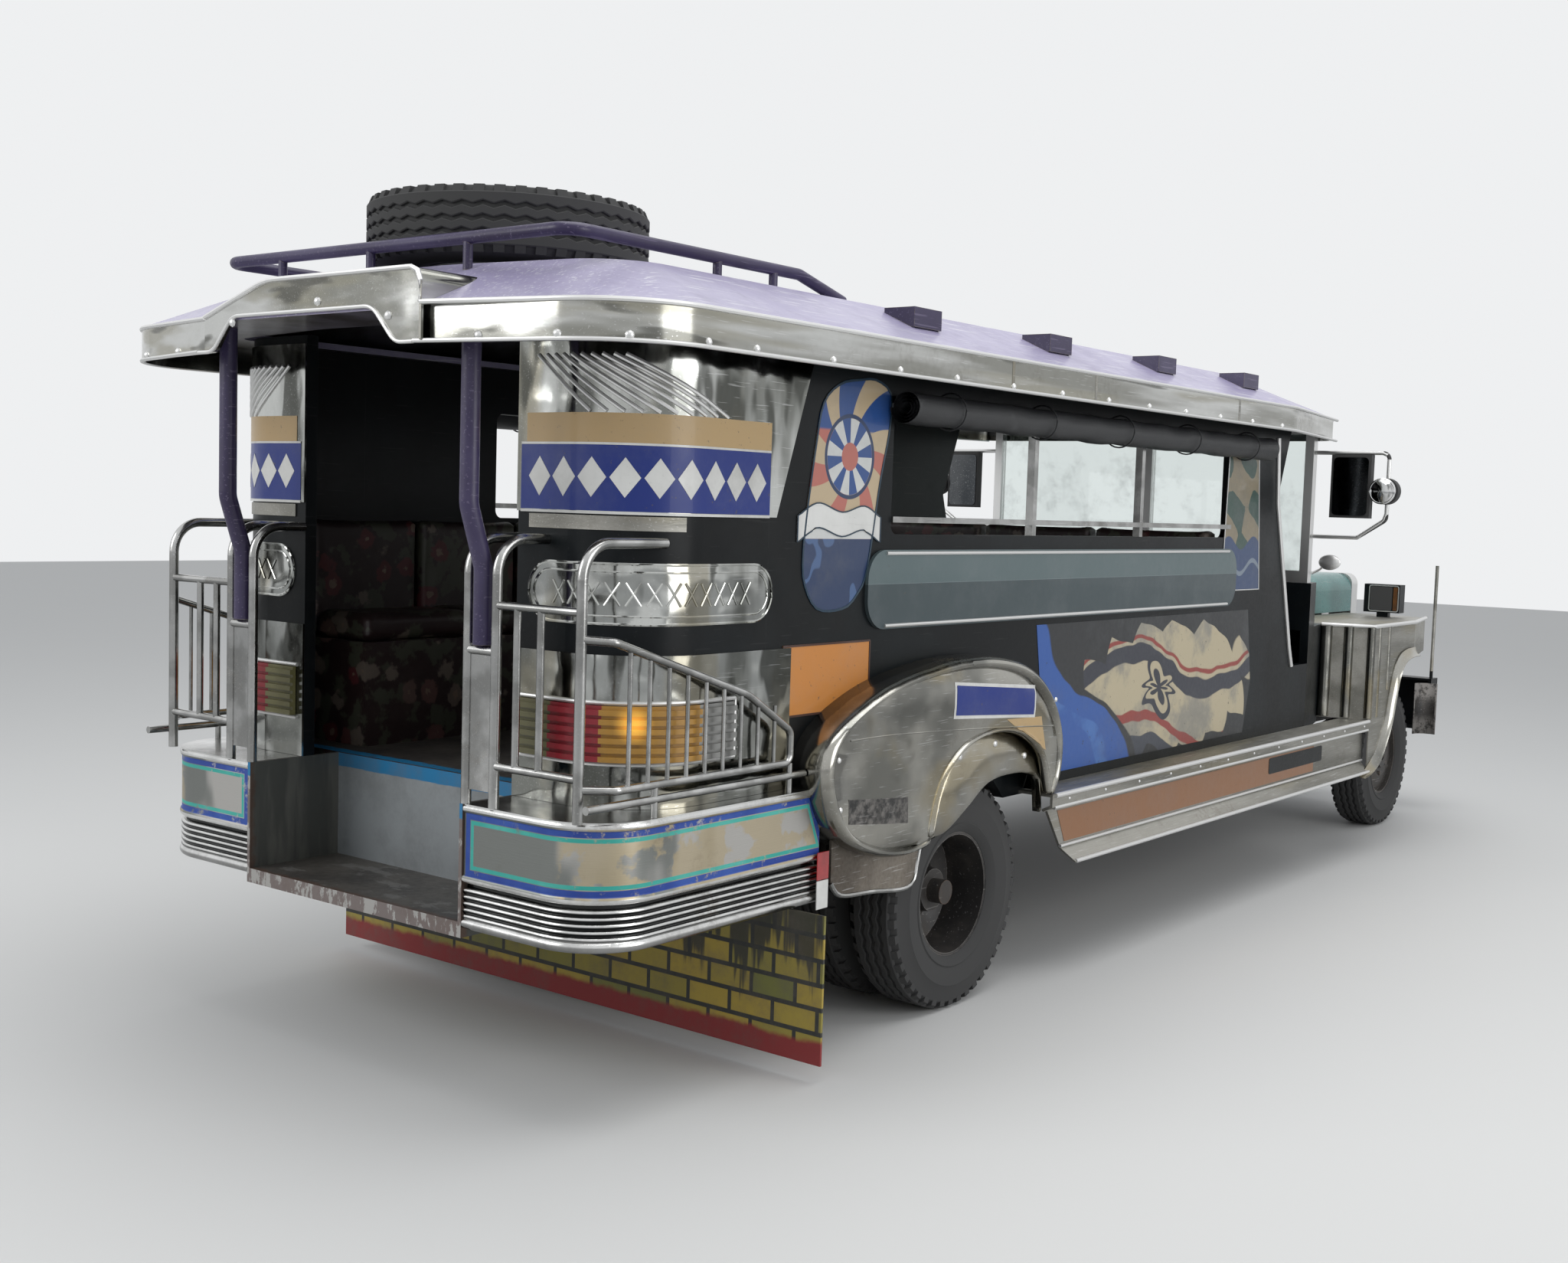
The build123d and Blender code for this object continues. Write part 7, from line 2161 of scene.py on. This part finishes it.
    def lamps(self) -> None:
        """Headlamp lens and rim, and the signal box's lenses."""
        _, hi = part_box("headlamps")
        centre = Vector((hi[0] - 0.004, self.sign * 0.690, 1.010))
        rim = self.form("headlamp_rim")
        rim.lathe(((0.097, -0.030), (0.100, -0.006), (0.094, 0.006), (0.082, 0.004), (0.080, -0.010)), centre,
            ALONG_X, 48)
        rim.make(Look.SILVER, "silver_trim", 50)
        lens = self.form("headlamp_lens")
        lens.lathe(((0.0005, 0.020), (0.030, 0.018), (0.056, 0.012), (0.080, 0.002), (0.080, -0.006),
            (0.0005, -0.004)), centre, ALONG_X, 48)
        lens.make(Look.LENS_GLASS, "glass", 50)
        lo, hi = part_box("signal_boxes")
        inner, outer = hi[1] - 0.170, hi[1]
        form, rim, smoked = self.form("signal_lens"), self.form("signal_rim"), self.form("signal_back")
        for face, way in ((lo[0], -1), (hi[0], 1)):
            place = lambda u, v, h: Vector((face + way * h, self.sign * u, v))
            shape = rounded(inner + 0.006, lo[2] + 0.030, outer - 0.004, hi[2] - 0.004, 0.014)
            border(rim, shape, place, 0.005, 0.0002, 0.003)
            (form if way > 0 else smoked).plate(rounded(inner + 0.014, lo[2] + 0.038, outer - 0.040, hi[2] - 0.012,
                0.008), place, 0.0002, 0.002)
            form.plate(rounded(outer - 0.034, lo[2] + 0.038, outer - 0.012, hi[2] - 0.012, 0.006), place, 0.0002,
                0.003)
        rim.make(Look.SILVER, "silver_trim", 40)
        smoked.make(Look.DARK_PLASTIC, "lamp_plastic", 40)
        form.make(Look.SMOKED_LENS, "lamp_plastic", 40)

    def build(self) -> None:
        """Make the side's front trims."""
        self.fender()
        self.bumper_cup()
        self.mirrors()
        self.lamps()


# ---------------------------------------------------------------- soft goods


@dataclass
class SeatPads:
    """Stuffed seat sections, blown up once by a cloth run and repeated along the seat."""

    name: str
    node: str
    runs: Sequence[tuple[Vector, Vector]]
    sections: int
    fill: float = 0.75
    voxel: float = 0.013
    pressure: float = 4.0
    cap: float = 0.010
    inset: float = 0.007

    def module(self, size: Vector) -> tuple[list[Vector], list[tuple[int, ...]]]:
        """One padded section about its own centre.

        Args:
            size: the section's length, width and height.

        Returns:
            Its points and faces.
        """
        half = size / 2 - Vector((self.inset * 0.4, self.inset, self.inset))
        form = Form(f"{self.name}_blank").block(-half, half, 0.014)
        mesh = bpy.data.meshes.new(form.name)
        mesh.from_pydata([tuple(p) for p in form.points], [], form.faces)
        blank = bpy.data.objects.new(form.name, mesh)
        bpy.context.scene.collection.objects.link(blank)
        mesh.remesh_voxel_size = self.voxel
        bpy.context.view_layer.objects.active = blank
        blank.select_set(True)
        bpy.ops.object.voxel_remesh()
        rest = [v.co.copy() for v in blank.data.vertices]
        cloth = blank.modifiers.new("swell", "CLOTH")
        cloth.settings.use_pressure = True
        cloth.settings.uniform_pressure_force = self.pressure
        cloth.settings.effector_weights.gravity = 0.0
        cloth.point_cache.frame_end = 20
        for number in range(1, 21):
            bpy.context.scene.frame_set(number)
        graph = bpy.context.evaluated_depsgraph_get()
        swollen = blank.evaluated_get(graph).to_mesh()
        moved = [v.co.copy() for v in swollen.vertices]
        blank.modifiers.clear()
        bpy.context.scene.frame_set(1)
        points = []
        for a, b in zip(rest, moved):
            step = b - a
            points.append(a + step * min(1.0, self.cap / max(step.length, 1e-9)))
        faces = [tuple(p.vertices) for p in blank.data.polygons]
        limit = size / 2
        points = [Vector(max(-limit[i], min(limit[i], p[i])) for i in range(3)) for p in points]
        bpy.data.objects.remove(blank)
        return points, faces

    def build(self) -> None:
        """Make the pads."""
        low, high = self.runs[0]
        size = Vector(((high.x - low.x) / self.sections, high.y - low.y, high.z - low.z))
        crosswise = size.x < 0.02 or (high.y - low.y) > (high.x - low.x)
        if crosswise:
            size = Vector((high.x - low.x, (high.y - low.y) / self.sections, high.z - low.z))
        points, faces = self.module(size)
        form = Form(self.name)
        for low, high in self.runs:
            for i in range(self.sections):
                shift = Vector((0, size.y * (i + 0.5), 0)) if crosswise else Vector((size.x * (i + 0.5), 0, 0))
                middle = (low + high) / 2
                middle = Vector((middle.x, low.y, middle.z)) if crosswise else Vector((low.x, middle.y, middle.z))
                form.add([middle + shift + p for p in points], faces)
        made = form.make(Look.VINYL, "upholstery", 60, (self.node,))


@dataclass
class CurtainRolls:
    """Weather curtains rolled up under the roof's edge, tied with straps."""

    turns: float = 4.0
    inner: float = 0.014
    outer: float = 0.055
    limit: float = 0.0595
    centre_y: float = 0.959
    centre_z: float = 1.926
    around: int = 96
    along: int = 70
    seed: int = 7

    def spiral(self, form: Form, side: Side, low: Vector, high: Vector) -> float:
        """Add one rolled sheet.

        Args:
            form: the form to add to.
            side: the roll's side.
            low: the node's lowest corner.
            high: the node's highest corner.

        Returns:
            The length of cloth round the roll.
        """
        rng = random.Random(self.seed + side.value)
        waves = [(rng.uniform(2, 9), rng.uniform(0, 6), rng.uniform(0.001, 0.0028)) for _ in range(6)]
        y, z = side.value * self.centre_y, self.centre_z
        rings, length = [], 0.0
        for i in range(self.along):
            share = i / (self.along - 1)
            x = low.x + 0.004 + (high.x - low.x - 0.008) * share
            ring = []
            for k in range(self.around):
                t = k / (self.around - 1)
                a = 2 * math.pi * self.turns * t
                r = self.inner + (self.outer - self.inner) * t
                for count, phase, size in waves:
                    r += size * 0.5 * t * math.sin(count * share * 9 + phase + a * (1 + int(count) % 3))
                r = min(r, self.limit)
                ring.append(Vector((x, y + r * math.cos(a), z + r * 0.95 * math.sin(a))))
            if i == self.along // 2:
                length = sum((ring[k + 1] - ring[k]).length for k in range(self.around - 1))
            rings.append(ring)
        form.rings(rings, closed=False, capped=False)
        return length

    def straps(self, side: Side, low: Vector, high: Vector) -> bpy.types.Object:
        """The ties round a roll."""
        form = Form(f"curtain_straps_{side.name.lower()}")
        y, z = side.value * self.centre_y, self.centre_z
        for x in spaced(low.x + 0.25, high.x - 0.25, 5):
            reach = self.limit + 0.0004
            line = [(x, y + reach * math.cos(a), z + reach * 0.955 * math.sin(a)) for a in spaced(0,
                2 * math.pi * 23 / 24, 24)]
            form.tube(line, 0.003, 6, loop=True)
        return form.make(Look.TARP, "curtain")

    def build(self) -> None:
        """Make both rolls."""
        low, high = (Vector(c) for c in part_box("curtain_rolls"))
        for side in Side:
            form = Form(f"curtain_roll_{side.name.lower()}")
            length = self.spiral(form, side, low, high)
            made = form.make(Look.TARP, "curtain", 60, ("curtain_rolls",))
            ties = self.straps(side, low, high)


# ---------------------------------------------------------------- main


def main() -> None:
    """Dress the vehicle, set the camera and the stage."""
    logging.basicConfig(level=logging.INFO, format="%(name)s %(message)s")
    PhotoCamera().build()
    Studio().build()
    Dressing(NODE_LOOKS).build()
    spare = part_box("spare_tyre")
    RoadTyre("spare_tyre", VEHICLE, (spare[1][0] - spare[0][0]) / 2, spare[1][2] - spare[0][2], bead=0.205, flat=True,
        ribs=4).build()
    for side in Side:
        tag = side.name.lower()
        RoadTyre(f"tyre_front_{tag}", f"wheel_front_{tag}", 0.375, 0.190).build()
        RoadTyre(f"tyres_rear_{tag}", f"wheel_rear_{tag}", 0.375, 0.190).build()
        WheelTrim(f"wheel_front_{tag}", side, 0.771).build()
        RearQuarter(side).build()
        SideGraphics(side).build()
        WheelCover(side).build()
        RearShadeSheetsAndReflector(side).build()
        MirrorSheetEnd(side).build()
        BoardTrim(side).build()
        FrontTrim(side).build()
    RoofEdge().build()
    cushions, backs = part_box("bench_cushions"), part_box("bench_backs")
    x0, x1 = cushions[0][0], cushions[1][0]
    seat_in, seat_out, back_out = 0.500, cushions[1][1], backs[1][1]
    seat_runs = [(Vector((x0, -seat_out, 1.150)), Vector((x1, -seat_in, 1.240))), (Vector((x0, seat_in, 1.150)),
        Vector((x1, seat_out, 1.240)))]
    SeatPads("bench_pads", "bench_cushions", seat_runs, 7).build()
    back_runs = [(Vector((x0, -back_out, backs[0][2])), Vector((x1, -seat_out, backs[1][2]))),
        (Vector((x0, seat_out, backs[0][2])), Vector((x1, back_out, backs[1][2])))]
    SeatPads("bench_back_pads", "bench_backs", back_runs, 7).build()
    for name, node in (("cab_seat_pads", "cab_seat_cushion"), ("cab_back_pads", "cab_seat_back")):
        low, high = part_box(node)
        SeatPads(name, node, [(Vector(low), Vector(high))], 3).build()
    CurtainRolls().build()


if __name__ == "__main__":
    main()
